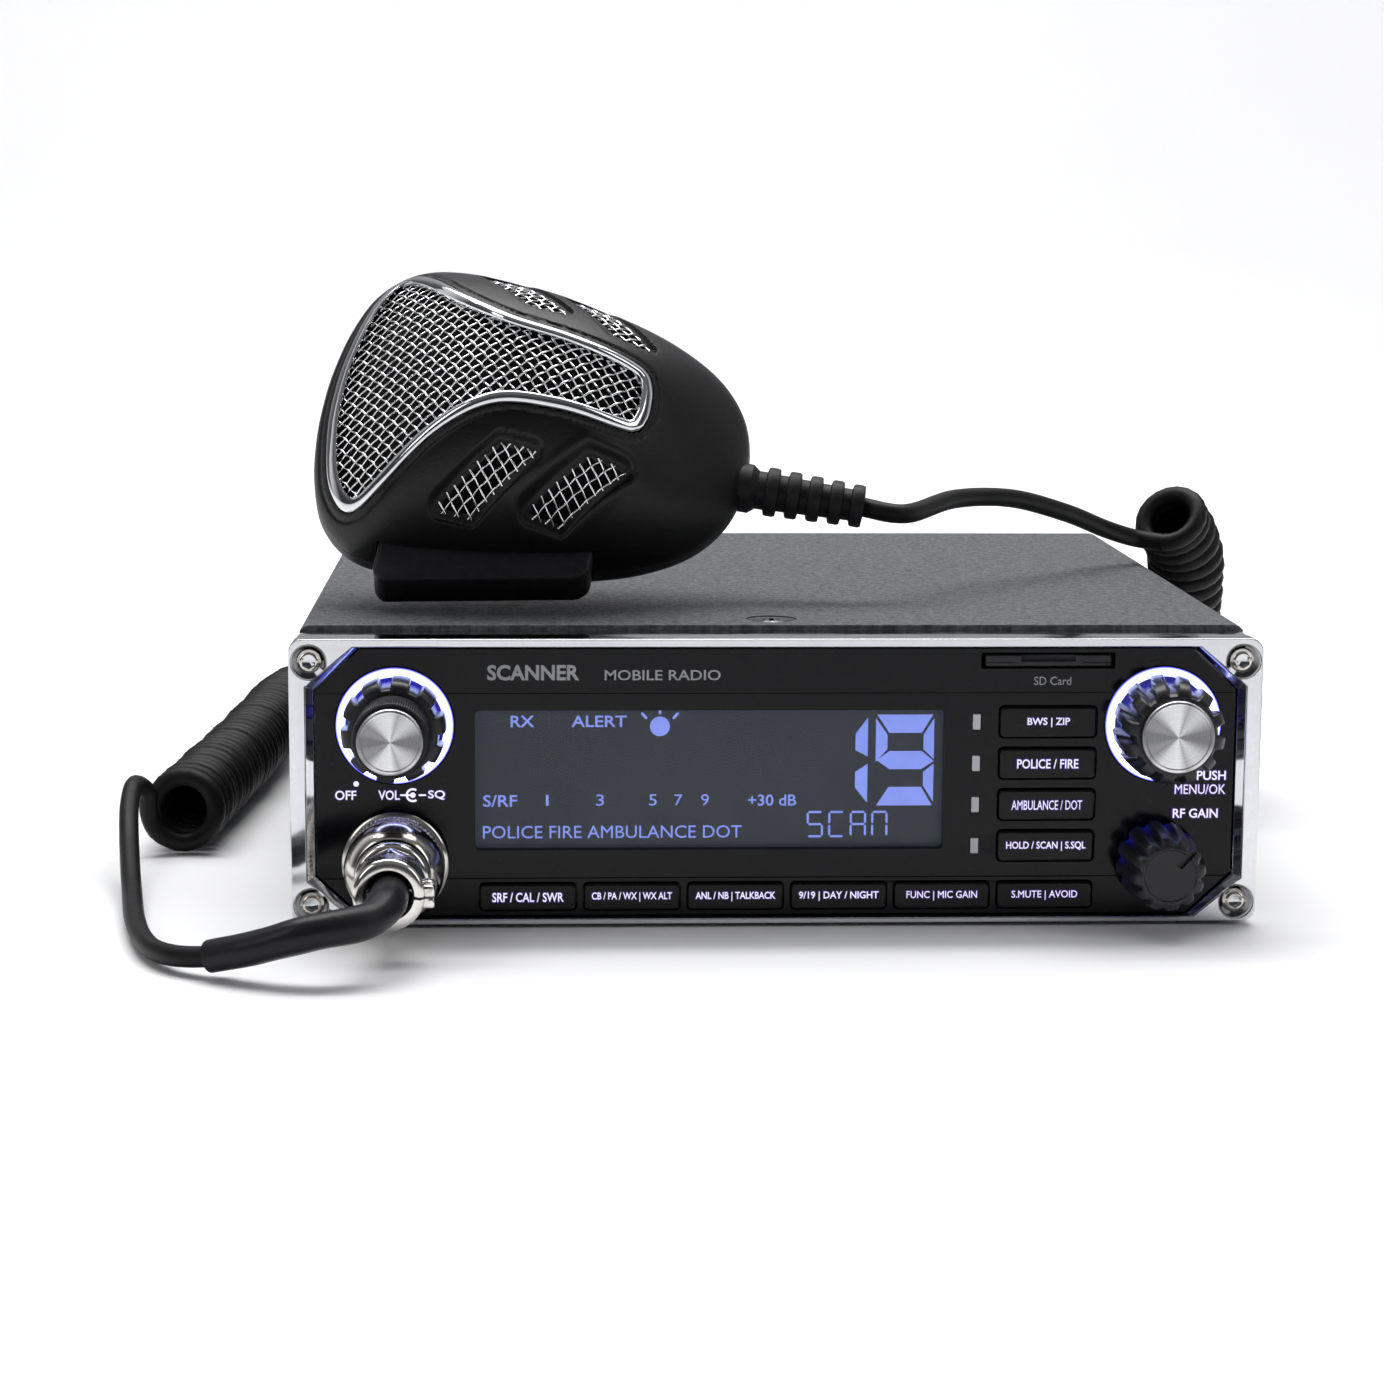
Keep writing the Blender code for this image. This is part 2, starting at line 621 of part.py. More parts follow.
def build_panel():
    """The gloss black panel with its openings, window and lamps."""
    holes = [rectangle((WINDOW_X[0] - GAP, WINDOW_X[1] + GAP), (WINDOW_Z[0] - GAP, WINDOW_Z[1] + GAP))]
    holes += [rectangle(*around(spot, grown(size, GAP))) for _, spot, size in key_spots()]
    holes += [rectangle(*around(spot, grown(LAMP_SIZE, GAP))) for spot in lamp_spots()]
    holes.append(rectangle(*around((SLOT_X, SLOT_Z), SLOT_SIZE)))
    holes += [circle(knob, LIGHT_RING_OUTER + GAP) for knob in (LEFT_KNOB, RIGHT_KNOB)]
    holes.append(circle(GAIN_KNOB, BUSH_RADIUS + GAP, 24))
    holes.append(circle(MIC_SOCKET, SOCKET_RADIUS + GAP))
    outlines = [cut_corner_outline(GAP)] + [above_foot(hole) for hole in holes]
    front_plate("front_panel", outlines, PANEL_FACE, PANEL_BACK, BLACK_GLOSS)
    pane = above_foot(rectangle(WINDOW_X, WINDOW_Z))
    front_plate("display_window", [pane], PANEL_FACE, PANEL_BACK - 0.1 * MM, CLEAR)
    module = rectangle(
        (WINDOW_X[0] - 2 * MM, WINDOW_X[1] + 2 * MM), (WINDOW_Z[0] - 2 * MM, WINDOW_Z[1] + 2 * MM)
    )
    front_plate("display_module", [above_foot(module)], PANEL_BACK + GAP, BOARD_FACE - GAP, LCD_DARK)
    low, high = -(BOARD_FACE - GAP), -(PANEL_FACE - 0.2 * MM)
    (left, right), _ = around((LAMP_X, 0.0), LAMP_SIZE)
    foot = lamp_spots()[-1][1] + BEZEL_BASE - LAMP_SIZE[1] / 2
    head = lamp_spots()[0][1] + BEZEL_BASE + LAMP_SIZE[1] / 2
    place_at = (0.0, BEZEL_FRONT, 0.0)
    pipe = ((left, foot, low), (right, head, -(PANEL_BACK + GAP)))
    lamps = blocks("indicator_lamps", [pipe], PALE_LAMP, place_at, FRONTWARD)
    tips = []
    for x, z in lamp_spots():
        (left, right), (foot, head) = around((x, z + BEZEL_BASE), LAMP_SIZE)
        tips.append(((left, foot, low + MM), (right, head, high)))
    boolean(lamps, blocks("lamp_tips", tips, PALE_LAMP, place_at, FRONTWARD), "UNION")


def build_boards():
    """The front board with the card socket, the key mat and the main board."""
    holes = [circle(spot, BUSH_RADIUS + GAP, 20) for spot in (LEFT_KNOB, RIGHT_KNOB, GAIN_KNOB)]
    holes.append(circle(MIC_SOCKET, SOCKET_RADIUS + GAP, 24))
    holes.append(rectangle(*around((SLOT_X, SLOT_Z), grown((CARD_SIZE[0], CARD_SIZE[2]), GAP))))
    outlines = [cut_corner_outline(1.0 * MM)] + [above_foot(hole) for hole in holes]
    board = front_plate("front_board", outlines, BOARD_FACE, BOARD_BACK, BOARD_GREEN)
    socket = around((SLOT_X, SLOT_Z + BEZEL_BASE), grown((CARD_SIZE[0], CARD_SIZE[2]), GAP))
    shell = ((s[0] - 0.8 * MM, s[1] + 0.8 * MM) for s in socket)
    shell = tuple(shell)
    place_at = (0.0, BEZEL_FRONT, 0.0)
    case = plate(
        "card_socket", [rectangle(*shell), rectangle(*socket)], -30.0 * MM, -BOARD_BACK + 0.5 * MM,
        BOARD_GREEN, place_at, FRONTWARD,
    )
    boolean(board, case, "UNION")
    mat_near = PANEL_BACK + GAP + KEY_FLANGE + KEY_TRAVEL + GAP
    foot_left = FOOT_KEY_X - FOOT_KEY_SIZE[0] / 2
    side_left = SIDE_KEY_X - SIDE_KEY_SIZE[0] / 2
    right = SIDE_KEY_X + SIDE_KEY_SIZE[0] / 2
    mat = [
        (foot_left, 2.2 * MM), (right, 2.2 * MM), (right, SIDE_KEY_Z + 3 * MM),
        (side_left, SIDE_KEY_Z + 3 * MM), (side_left, 8.2 * MM), (foot_left, 8.2 * MM),
    ]
    front_plate("keypad_mat", [above_foot(mat)], mat_near, BOARD_FACE - GAP, RUBBER)
    top = BOARD_LOW + 1.6 * MM
    sheet = ((-82 * MM, -54 * MM, BOARD_LOW), (82 * MM, 74 * MM, top))
    board = blocks("main_board", [sheet], BOARD_GREEN)
    parts = (
        (-60, -30, 22, 16, 12), (-30, -34, 16, 16, 3), (0, -30, 24, 18, 4), (32, -34, 14, 20, 9),
        (60, -24, 18, 24, 14), (-62, 20, 20, 20, 10), (-30, 14, 14, 30, 5), (4, 10, 20, 14, 3),
        (34, 14, 12, 12, 11), (62, 28, 16, 30, 16), (-50, 56, 26, 12, 14), (0, 58, 30, 10, 16),
    )
    bodies = []
    for x, y, wide, deep, tall in parts:
        low = ((x - wide / 2) * MM, (y - deep / 2) * MM, top - 0.5 * MM)
        bodies.append((low, ((x + wide / 2) * MM, (y + deep / 2) * MM, top + tall * MM)))
    boolean(board, blocks("board_components", bodies, BLACK_SATIN), "UNION")


def build_speaker():
    """Loudspeaker that faces the slots in the underside."""
    base = 2 * SHEET + 2 * GAP
    profile = [
        (0.0, 17.0 * MM), (11.0 * MM, 17.0 * MM), (11.0 * MM, 9.0 * MM), (15.0 * MM, 8.0 * MM),
        (29.0 * MM, 2.0 * MM), (31.0 * MM, 2.0 * MM), (31.0 * MM, 0.0), (27.0 * MM, 0.0),
        (10.0 * MM, 6.0 * MM), (0.0, 7.0 * MM),
    ]
    turned("speaker", profile, BLACK_SATIN, (0.0, SPEAKER_Y, base), (0, 0, 0))


def build_controls():
    """The parts behind the knobs: pots, encoder and light rings."""
    web_back = -PANEL_BACK - 1.2 * MM
    web_front = -PANEL_BACK + 1.2 * MM
    ring = [
        (LIGHT_RING_OUTER, LIGHT_RING_FACE), (LIGHT_RING_OUTER, web_back),
        (BUSH_RADIUS + GAP, web_back), (BUSH_RADIUS + GAP, web_front),
        (LIGHT_RING_INNER, web_front), (LIGHT_RING_INNER, LIGHT_RING_FACE),
    ]
    z = LEFT_KNOB[1] + BEZEL_BASE + 5.7 * MM
    reach = 5.0 * MM
    bar = (
        (LEFT_KNOB[0] + reach, z, -(BOARD_FACE - GAP)),
        (RIGHT_KNOB[0] - reach, z + 2.0 * MM, -(PANEL_BACK + GAP)),
    )
    guide = blocks("knob_light_guide", [bar], LIT_BLUE, (0.0, BEZEL_FRONT, 0.0), FRONTWARD)
    for side, spot in (("left", LEFT_KNOB), ("right", RIGHT_KNOB)):
        tool = turned(side + "_ring", ring, LIT_BLUE, front_place(spot), FRONTWARD, 32, ring=True)
        boolean(guide, tool, "UNION")
    back = -BOARD_BACK - GAP
    bush_tip = -1.6 * MM
    hub_bore = HUB_RADIUS + RUNNING
    shaft_bore = SHAFT_RADIUS + RUNNING
    dual = [
        (BUSH_RADIUS, bush_tip), (BUSH_RADIUS, back), (8.0 * MM, back), (8.0 * MM, -20.0 * MM),
        (0.0, -20.0 * MM), (0.0, -18.5 * MM), (shaft_bore, -18.5 * MM), (shaft_bore, -14.0 * MM),
        (hub_bore, -14.0 * MM), (hub_bore, bush_tip),
    ]
    turned("dual_pot", dual, STEEL, front_place(LEFT_KNOB), FRONTWARD)
    close_profile("dual_pot")
    single = [
        (BUSH_RADIUS, bush_tip), (BUSH_RADIUS, back), (6.8 * MM, back), (6.8 * MM, -18.0 * MM),
        (0.0, -18.0 * MM), (0.0, -16.5 * MM), (hub_bore, -16.5 * MM), (hub_bore, bush_tip),
    ]
    turned("encoder", single, STEEL, front_place(RIGHT_KNOB), FRONTWARD)
    close_profile("encoder")
    gain = [
        (BUSH_RADIUS, bush_tip), (BUSH_RADIUS, back), (6.8 * MM, back), (6.8 * MM, -16.0 * MM),
        (0.0, -16.0 * MM), (0.0, -14.5 * MM), (shaft_bore, -14.5 * MM), (shaft_bore, bush_tip),
    ]
    turned("rf_gain_pot", gain, STEEL, front_place(GAIN_KNOB), FRONTWARD, 24)
    close_profile("rf_gain_pot")


def close_profile(name):
    """Join the last point of a turned piece's profile to its first."""
    mesh = bpy.data.objects[name].data
    count = len(mesh.vertices)
    mesh.edges.add(1)
    mesh.edges[-1].vertices = (count - 1, 0)


def lobed_ring(radius, root, lobes, flat, height):
    """Points of a scalloped outline: each lobe is a flat tip between two narrow valleys."""
    points = []
    for index in range(lobes):
        start = 2 * math.pi * index / lobes
        turn = 2 * math.pi / lobes
        for share, reach in ((0.0, radius), (flat, radius), (flat + 0.12, root), (0.88, root)):
            angle = start + turn * share
            points.append(Vector((reach * math.cos(angle), reach * math.sin(angle), height)))
    return points


def lobed_solid(name, sections, lobes, flat, finish, location):
    """Loft a scalloped knob through (height, tip radius, root radius) sections."""
    shape = bmesh.new()
    rings = []
    for height, radius, root in sections:
        ring = lobed_ring(radius, root, lobes, flat, height)
        rings.append([shape.verts.new(point) for point in ring])
    for low, high in zip(rings, rings[1:]):
        for index in range(len(low)):
            after = (index + 1) % len(low)
            shape.faces.new((low[index], low[after], high[after], high[index]))
    shape.faces.new(list(reversed(rings[0])))
    shape.faces.new(rings[-1])
    return place(name, bmesh_to_mesh(name, shape), finish, location, FRONTWARD)


def build_knobs():
    """The knobs, their caps and their shafts."""
    spot = front_place(LEFT_KNOB)
    sections = (
        (KNOB_BACK, SQUELCH_RADIUS, SQUELCH_RADIUS - 1.2 * MM),
        (SQUELCH_FRONT - 1.0 * MM, SQUELCH_RADIUS - 0.3 * MM, SQUELCH_RADIUS - 1.4 * MM),
        (SQUELCH_FRONT, SQUELCH_RADIUS - 1.3 * MM, SQUELCH_RADIUS - 1.9 * MM),
    )
    squelch = lobed_solid("squelch_ring", sections, 10, 0.52, BLACK_SATIN, spot)
    hub = [((0, 0), -12.0 * MM, 1.0 * MM, HUB_RADIUS, 24)]
    boolean(squelch, rods("squelch_hub", hub, BLACK_SATIN, spot, FRONTWARD), "UNION")
    bore = [((0, 0), -14.0 * MM, SQUELCH_FRONT + MM, SHAFT_RADIUS + RUNNING, 24)]
    boolean(squelch, rods("squelch_bore", bore, BLACK_SATIN, spot, FRONTWARD))
    shaft_hole = SHAFT_RADIUS + GAP
    knob = [
        (0.0, VOLUME_FRONT), (VOLUME_RADIUS - 0.6 * MM, VOLUME_FRONT),
        (VOLUME_RADIUS, VOLUME_FRONT - 0.6 * MM), (VOLUME_RADIUS, SQUELCH_FRONT + GAP),
        (shaft_hole, SQUELCH_FRONT + GAP), (shaft_hole, VOLUME_FRONT - 2.0 * MM),
        (0.0, VOLUME_FRONT - 2.0 * MM),
    ]
    turned("volume_knob", knob, BLACK_SATIN, spot, FRONTWARD)
    build_cap("volume_knob_cap", VOLUME_FRONT, VOLUME_CAP_RADIUS, spot)
    bar = [((0, 0), -18.0 * MM, VOLUME_FRONT - 2.5 * MM, SHAFT_RADIUS, 24)]
    rods("volume_shaft", bar, STEEL, spot, FRONTWARD)

    spot = front_place(RIGHT_KNOB)
    sections = (
        (KNOB_BACK, CHANNEL_RADIUS, CHANNEL_RADIUS - 1.5 * MM),
        (CHANNEL_FRONT - 1.6 * MM, CHANNEL_RADIUS - 1.0 * MM, CHANNEL_RADIUS - 2.0 * MM),
        (CHANNEL_FRONT, CHANNEL_RADIUS - 2.4 * MM, CHANNEL_RADIUS - 2.8 * MM),
    )
    channel = lobed_solid("channel_knob", sections, 12, 0.40, BLACK_SATIN, spot)
    bore = [((0, 0), KNOB_BACK - MM, CHANNEL_FRONT - 2.0 * MM, shaft_hole, 24)]
    boolean(channel, rods("channel_bore", bore, BLACK_SATIN, spot, FRONTWARD))
    build_cap("channel_knob_cap", CHANNEL_FRONT, CHANNEL_CAP_RADIUS, spot)
    bar = [((0, 0), -14.5 * MM, CHANNEL_FRONT - 2.5 * MM, SHAFT_RADIUS, 24)]
    rods("encoder_shaft", bar, STEEL, spot, FRONTWARD)
    sleeve = [
        (HUB_RADIUS, -5.0 * MM), (HUB_RADIUS, -15.0 * MM), (SHAFT_RADIUS + RUNNING, -15.0 * MM),
        (SHAFT_RADIUS + RUNNING, -5.0 * MM),
    ]
    turned("encoder_plunger", sleeve, WHITE_PLASTIC, spot, FRONTWARD, 24, ring=True)

    spot = front_place(GAIN_KNOB)
    sections = (
        (KNOB_BACK, GAIN_RADIUS, GAIN_RADIUS - 0.8 * MM),
        (5.0 * MM, GAIN_RADIUS - 0.2 * MM, GAIN_RADIUS - 1.0 * MM),
        (GAIN_FRONT - 1.0 * MM, GAIN_FACE_RADIUS + 0.4 * MM, GAIN_FACE_RADIUS - 0.4 * MM),
        (GAIN_FRONT, GAIN_FACE_RADIUS - 0.6 * MM, GAIN_FACE_RADIUS - 1.0 * MM),
    )
    gain = lobed_solid("rf_gain_knob", sections, 12, 0.50, BLACK_SATIN, spot)
    bar = [((0, 0), -14.0 * MM, 1.0 * MM, SHAFT_RADIUS, 24)]
    boolean(gain, rods("rf_gain_shaft", bar, BLACK_SATIN, spot, FRONTWARD), "UNION")


def build_cap(name, base, radius, spot):
    """Spun metal cap on the front of a knob."""
    low = base + GAP
    high = low + CAP_THICKNESS
    profile = [(0.0, high), (radius - 0.4 * MM, high), (radius, high - 0.4 * MM), (radius, low), (0.0, low)]
    turned(name, profile, SPUN_ALUMINIUM, spot, FRONTWARD)


def build_keys():
    """Ten keys, each with a flange that holds it behind the panel."""
    shared = {}
    for name, (x, z), size in key_spots():
        spot = (x, BEZEL_FRONT, z + BEZEL_BASE)
        if size not in shared:
            wide, tall = size[0] / 2, size[1] / 2
            lip = 0.6 * MM
            near = -(PANEL_BACK + GAP)
            cap = ((-wide, -tall, near - 0.2 * MM), (wide, tall, -KEY_FACE))
            key = rounded(blocks(name, [cap], BLACK_GLOSS, spot, FRONTWARD), 0.5 * MM)
            flange = ((-wide - lip, -tall - lip, near - KEY_FLANGE), (wide + lip, tall + lip, near))
            boolean(key, blocks(name + "_flange", [flange], BLACK_GLOSS, spot, FRONTWARD), "UNION")
            shared[size] = evaluated_mesh(key, name)
            bpy.data.objects.remove(key)
        place(name, shared[size].copy(), BLACK_GLOSS, spot, FRONTWARD)


def build_card():
    """Memory card in its slot."""
    wide, deep, thick = CARD_SIZE
    x, z = SLOT_X, SLOT_Z + BEZEL_BASE
    near = PANEL_FACE - 0.2 * MM
    location = (x, BEZEL_FRONT + near, z)
    card = blocks(
        "sd_card", [((-wide / 2, 0.0, -thick / 2), (wide / 2, deep, thick / 2))], BLACK_SATIN, location,
    )
    groove = ((-5.0 * MM, -MM, -0.3 * MM), (5.0 * MM, 0.8 * MM, thick))
    boolean(card, blocks("card_groove", [groove], BLACK_SATIN, location))


def build_mic_socket_and_plug():
    """Chassis socket, coupling ring and the plug's shell."""
    spot = front_place(MIC_SOCKET)
    bore = SOCKET_RADIUS - SOCKET_WALL
    lip = SOCKET_RADIUS - RING_LIP
    body = lip - GAP
    tongue = bore - GAP
    socket = [
        (SOCKET_RADIUS, SOCKET_FRONT), (SOCKET_RADIUS, -14.0 * MM), (0.0, -14.0 * MM),
        (0.0, -3.0 * MM), (bore, -3.0 * MM), (bore, SOCKET_FRONT),
    ]
    barrel = turned("mic_socket", socket, NICKEL, spot, FRONTWARD)
    close_profile("mic_socket")
    pins = [(centre, -3.5 * MM, 1.0 * MM, PIN_RADIUS, 8) for centre in PIN_CIRCLE]
    boolean(barrel, rods("socket_pins", pins, BRASS, spot, FRONTWARD), "UNION")
    ring_bore = SOCKET_RADIUS + GAP
    ring = [
        (PLUG_RING_RADIUS - 0.5 * MM, PLUG_RING_FRONT), (PLUG_RING_RADIUS, PLUG_RING_FRONT - 0.5 * MM),
        (PLUG_RING_RADIUS, 0.6 * MM), (PLUG_RING_RADIUS - 0.5 * MM, 0.1 * MM), (ring_bore, 0.1 * MM),
        (ring_bore, RING_LIP_BACK), (lip, RING_LIP_BACK), (lip, PLUG_RING_FRONT),
    ]
    turned("coupling_ring", ring, NICKEL, spot, FRONTWARD, 32, ring=True)
    shell = [
        (0.0, PLUG_FRONT), (body - 1.9 * MM, PLUG_FRONT), (body - 1.5 * MM, 22.5 * MM),
        (body - 0.9 * MM, 22.0 * MM), (body - 0.3 * MM, 17.0 * MM), (body, 16.5 * MM),
        (body, RING_LIP_BACK - GAP), (SOCKET_RADIUS, RING_LIP_BACK - GAP),
        (SOCKET_RADIUS, SOCKET_FRONT + GAP), (tongue, SOCKET_FRONT + GAP), (tongue, -2.2 * MM),
        (0.0, -2.2 * MM),
    ]
    plug = turned("plug_shell", shell, NICKEL, spot, FRONTWARD)
    bores = [(centre, -4.0 * MM, 1.6 * MM, PIN_RADIUS + GAP, 8) for centre in PIN_CIRCLE]
    boolean(plug, rods("plug_pin_bores", bores, NICKEL, spot, FRONTWARD))


def mic_matrix():
    """Where the microphone stands: its bar on the case, its face leaning back."""
    up = Vector((0.0, math.sin(MIC_LEAN), math.cos(MIC_LEAN)))
    along = Vector((math.cos(MIC_SLOPE), 0.0, 0.0)) - math.sin(MIC_SLOPE) * up
    normal = Vector((0.0, -math.cos(MIC_LEAN), math.sin(MIC_LEAN)))
    across = normal.cross(along)
    turn = Matrix((along, across, normal)).transposed()
    corners = [
        turn @ Vector((x, y, z)) for x, y in zip(PTT_X, PTT_FACE_Y) for z in PTT_Z
    ]
    lift = CASE_HEIGHT + GAP - min(corner.z for corner in corners)
    return Matrix.Translation((MIC_X, BEZEL_FRONT + MIC_DEPTH, lift)) @ turn.to_4x4()


MIC = mic_matrix()


def smooth_halves(half_widths, steps=2):
    """A closed symmetric outline through (x, half width) stations given in millimetres."""
    upper = [Vector((x * MM, y * MM, 0.0)) for x, y in half_widths]
    lower = [Vector((point.x, -point.y, 0.0)) for point in reversed(upper[1:-1])]
    knots = upper + lower
    points = []
    count = len(knots)
    for index in range(count):
        p0, p1, p2, p3 = (knots[(index + offset) % count] for offset in (-1, 0, 1, 2))
        for step in range(steps):
            t = step / steps
            points.append(catmull_rom(p0, p1, p2, p3, t))
    return [(point.x, point.y) for point in points]


def catmull_rom(p0, p1, p2, p3, t):
    """A point on the smooth curve between p1 and p2."""
    return 0.5 * (
        2 * p1 + (p2 - p0) * t + (2 * p0 - 5 * p1 + 4 * p2 - p3) * t * t
        + (3 * p1 - p0 - 3 * p2 + p3) * t * t * t
    )


def scaled_outline(outline, inset):
    """Move an outline towards its middle by a distance."""
    centre = Vector((-4.0 * MM, 0.0))
    moved = []
    for x, y in outline:
        arm = Vector((x, y)) - centre
        moved.append(centre + arm * max(1.0 - inset / max(arm.length, 1e-6), 0.0))
    return [(point.x, point.y) for point in moved]


def inset_outline(outline, distance):
    """Move an outline's edge inwards by the same distance all round."""
    moved = []
    for index, point in enumerate(outline):
        before = Vector(outline[index - 1])
        after = Vector(outline[(index + 1) % len(outline)])
        heading = (after - before).normalized()
        inward = Vector((heading.y, -heading.x))
        moved.append(Vector(point) + inward * distance)
    return [(point.x, point.y) for point in moved]


def dome_height(x, rise):
    """Height of the microphone's face along its length."""
    share = (x + 48.5 * MM) / (91.0 * MM)
    return rise * (0.62 + 0.62 * math.sin(math.pi * min(max(share, 0.0), 1.0) ** 0.85)) / 1.24


def dome_shell(name, outline, rise, wall, seam, finish, power=MIC_FRONT_POWER, start=1.0):
    """A hollow domed shell over an outline, rising to one side of the seam."""
    sign = 1.0 if rise > 0 else -1.0
    centre = Vector((-4.0 * MM, 0.0))
    shares = [start * math.cos(math.radians(angle)) for angle in (0, 14, 32, 52, 72)]
    shape = bmesh.new()
    skins = []
    inner_outline = scaled_outline(outline, wall)
    for skin, height in ((outline, abs(rise)), (inner_outline, abs(rise) - wall)):
        rings = []
        for share in shares:
            level = (1.0 - share ** power) ** (1.0 / power)
            ring = []
            for x, y in skin:
                px = centre.x + (x - centre.x) * share
                py = centre.y + (y - centre.y) * share
                z = seam + sign * dome_height(px, height) * level
                ring.append(shape.verts.new((px, py, z)))
            rings.append(ring)
        top = shape.verts.new((centre.x, centre.y, seam + sign * dome_height(centre.x, height)))
        skins.append((rings, top))
    for rings, top in skins:
        for low, high in zip(rings, rings[1:]):
            for index in range(len(low)):
                after = (index + 1) % len(low)
                shape.faces.new((low[index], low[after], high[after], high[index]))
        for index in range(len(rings[-1])):
            after = (index + 1) % len(rings[-1])
            shape.faces.new((rings[-1][index], rings[-1][after], top))
    outer, inner = skins[0][0][0], skins[1][0][0]
    for index in range(len(outer)):
        after = (index + 1) % len(outer)
        shape.faces.new((outer[index], outer[after], inner[after], inner[index]))
    obj = place(name, bmesh_to_mesh(name, shape), finish)
    obj.matrix_world = MIC
    return obj


def mic_plate(name, outlines, low, high, finish):
    """A plate in the microphone's own frame."""
    obj = plate(name, outlines, low, high, finish)
    obj.matrix_world = MIC
    return obj


def side_slots():
    """The four slanted sound slots beside the grille."""
    slots = []
    for mirror in (1.0, -1.0):
        for shift in (0.0, SIDE_SLOT_PITCH):
            narrowing = SIDE_SLOT_TAPER * shift
            slots.append([((x + shift) * MM, mirror * (y - narrowing) * MM) for x, y in SIDE_SLOT])
    return slots


def build_mic():
    """The hand microphone, standing on the case."""
    outline = smooth_halves(MIC_HALF_WIDTHS)
    grille = smooth_halves(GRILLE_HALF_WIDTHS)
    tall = 40.0 * MM
    front = dome_shell("mic_front_shell", outline, MIC_FRONT_RISE, MIC_WALL, MIC_SEAM, BLACK_SATIN)
    boolean(front, mic_plate("grille_opening", [grille], 3.0 * MM, tall, BLACK_SATIN))
    for index, slot in enumerate(side_slots()):
        boolean(front, mic_plate(f"side_slot_{index}", [slot], 3.0 * MM, tall, BLACK_SATIN))
    back = dome_shell(
        "mic_back_shell", outline, -MIC_BACK_RISE, MIC_WALL, -MIC_SEAM, BLACK_SATIN, MIC_BACK_POWER,
    )
    pocket = rectangle(
        (PTT_X[0] - GAP, PTT_X[1] + GAP), (-50.0 * MM, PTT_INNER_Y + PTT_TRAVEL + GAP)
    )
    for shell in (front, back):
        low, high = PTT_Z[0] - GAP, PTT_Z[1] + GAP
        boolean(shell, mic_plate(f"pocket_{shell.name}", [pocket], low, high, BLACK_SATIN))
    coarse = smooth_halves(MIC_HALF_WIDTHS, 1)
    trim = dome_shell(
        "mic_grille_trim", scaled_outline(coarse, -GAP), MIC_FRONT_RISE + TRIM_PROUD,
        TRIM_THICKNESS, MIC_SEAM, CHROME,
    )
    rim = inset_outline(grille, GAP)
    frame = mic_plate("trim_shape", [rim, inset_outline(grille, TRIM_WIDTH)], 3.0 * MM, tall, CHROME)
    boolean(trim, frame, "INTERSECT")
    mesh = dome_shell(
        "mic_mesh", scaled_outline(coarse, MESH_DEPTH), MIC_FRONT_RISE - MESH_DEPTH,
        0.8 * MM, MIC_SEAM, STEEL, start=0.94,
    )
    boolean(mesh, mic_plate("mesh_pocket", [pocket], -5.0 * MM, PTT_Z[1] + GAP, STEEL))
    build_mic_inside()
    build_mic_bar()
    build_mic_relief()


def build_mic_bar():
    """The push-to-talk bar in the microphone's side."""
    (left, right), (deep_left, deep_right) = PTT_X, PTT_FACE_Y
    step = 2.0 * MM
    outline = [
        (left, PTT_INNER_Y), (left, deep_left + step), (left + step, deep_left),
        (right - step, deep_right), (right, deep_right + step), (right, PTT_INNER_Y),
    ]
    bar = mic_plate("ptt_button", [outline], PTT_Z[0], PTT_Z[1], BLACK_SATIN)
    rounded(bar, 0.8 * MM)


def build_mic_inside():
    """Insert board with its capsule, and the hanger stud."""
    sheet = ((-24 * MM, -18 * MM, -4.6 * MM), (24 * MM, 18 * MM, -3.0 * MM))
    insert = blocks("mic_insert", [sheet], BOARD_GREEN)
    insert.matrix_world = MIC
    capsule = rods("mic_capsule", [((-20 * MM, 0.0), -4.0 * MM, 6.0 * MM, 7.5 * MM, 20)], BOARD_GREEN)
    capsule.matrix_world = MIC
    boolean(insert, capsule, "UNION")
    crown = -MIC_BACK_RISE - GAP - MIC_SEAM
    profile = [
        (0.0, crown), (3.2 * MM, crown), (3.2 * MM, crown - 3.2 * MM), (5.8 * MM, crown - 3.2 * MM),
        (5.8 * MM, crown - 5.7 * MM), (0.0, crown - 5.7 * MM),
    ]
    turned("mic_hanger_stud", profile, STEEL, MIC @ Vector((STUD_X, 0.0, 0.0)), MIC.to_euler(), 24)


def build_mic_relief():
    """Tapered strain relief where the cord enters the microphone."""
    start = MIC_HALF_WIDTHS[-1][0] * MM + GAP
    wide, narrow = RELIEF_RADII
    profile = [(0.0, start + RELIEF_LENGTH)]
    ribs = 5
    pitch = (RELIEF_LENGTH - 2.0 * MM) / ribs
    for index in range(ribs):
        far = start + RELIEF_LENGTH - index * pitch
        radius = narrow + (wide - narrow) * index / ribs
        profile += [(radius, far), (radius, far - pitch * 0.6)]
        profile += [(radius - 1.0 * MM, far - pitch * 0.6), (radius - 1.0 * MM, far - pitch)]
    profile += [(wide, start + 2.0 * MM), (wide, start), (0.0, start)]
    relief = turned("mic_strain_relief", profile, RUBBER, (0, 0, 0), (0, 0, 0), 14)
    along = Matrix.Rotation(math.radians(90.0), 4, "Y")
    relief.matrix_world = MIC @ Matrix.Translation((0.0, *RELIEF_AT)) @ along


def relief_end():
    """Where the cord leaves the strain relief, and which way it points."""
    far = MIC_HALF_WIDTHS[-1][0] * MM + 3 * GAP + RELIEF_LENGTH
    return MIC @ Vector((far, *RELIEF_AT)), MIC.to_3x3() @ Vector((1.0, 0.0, 0.0))


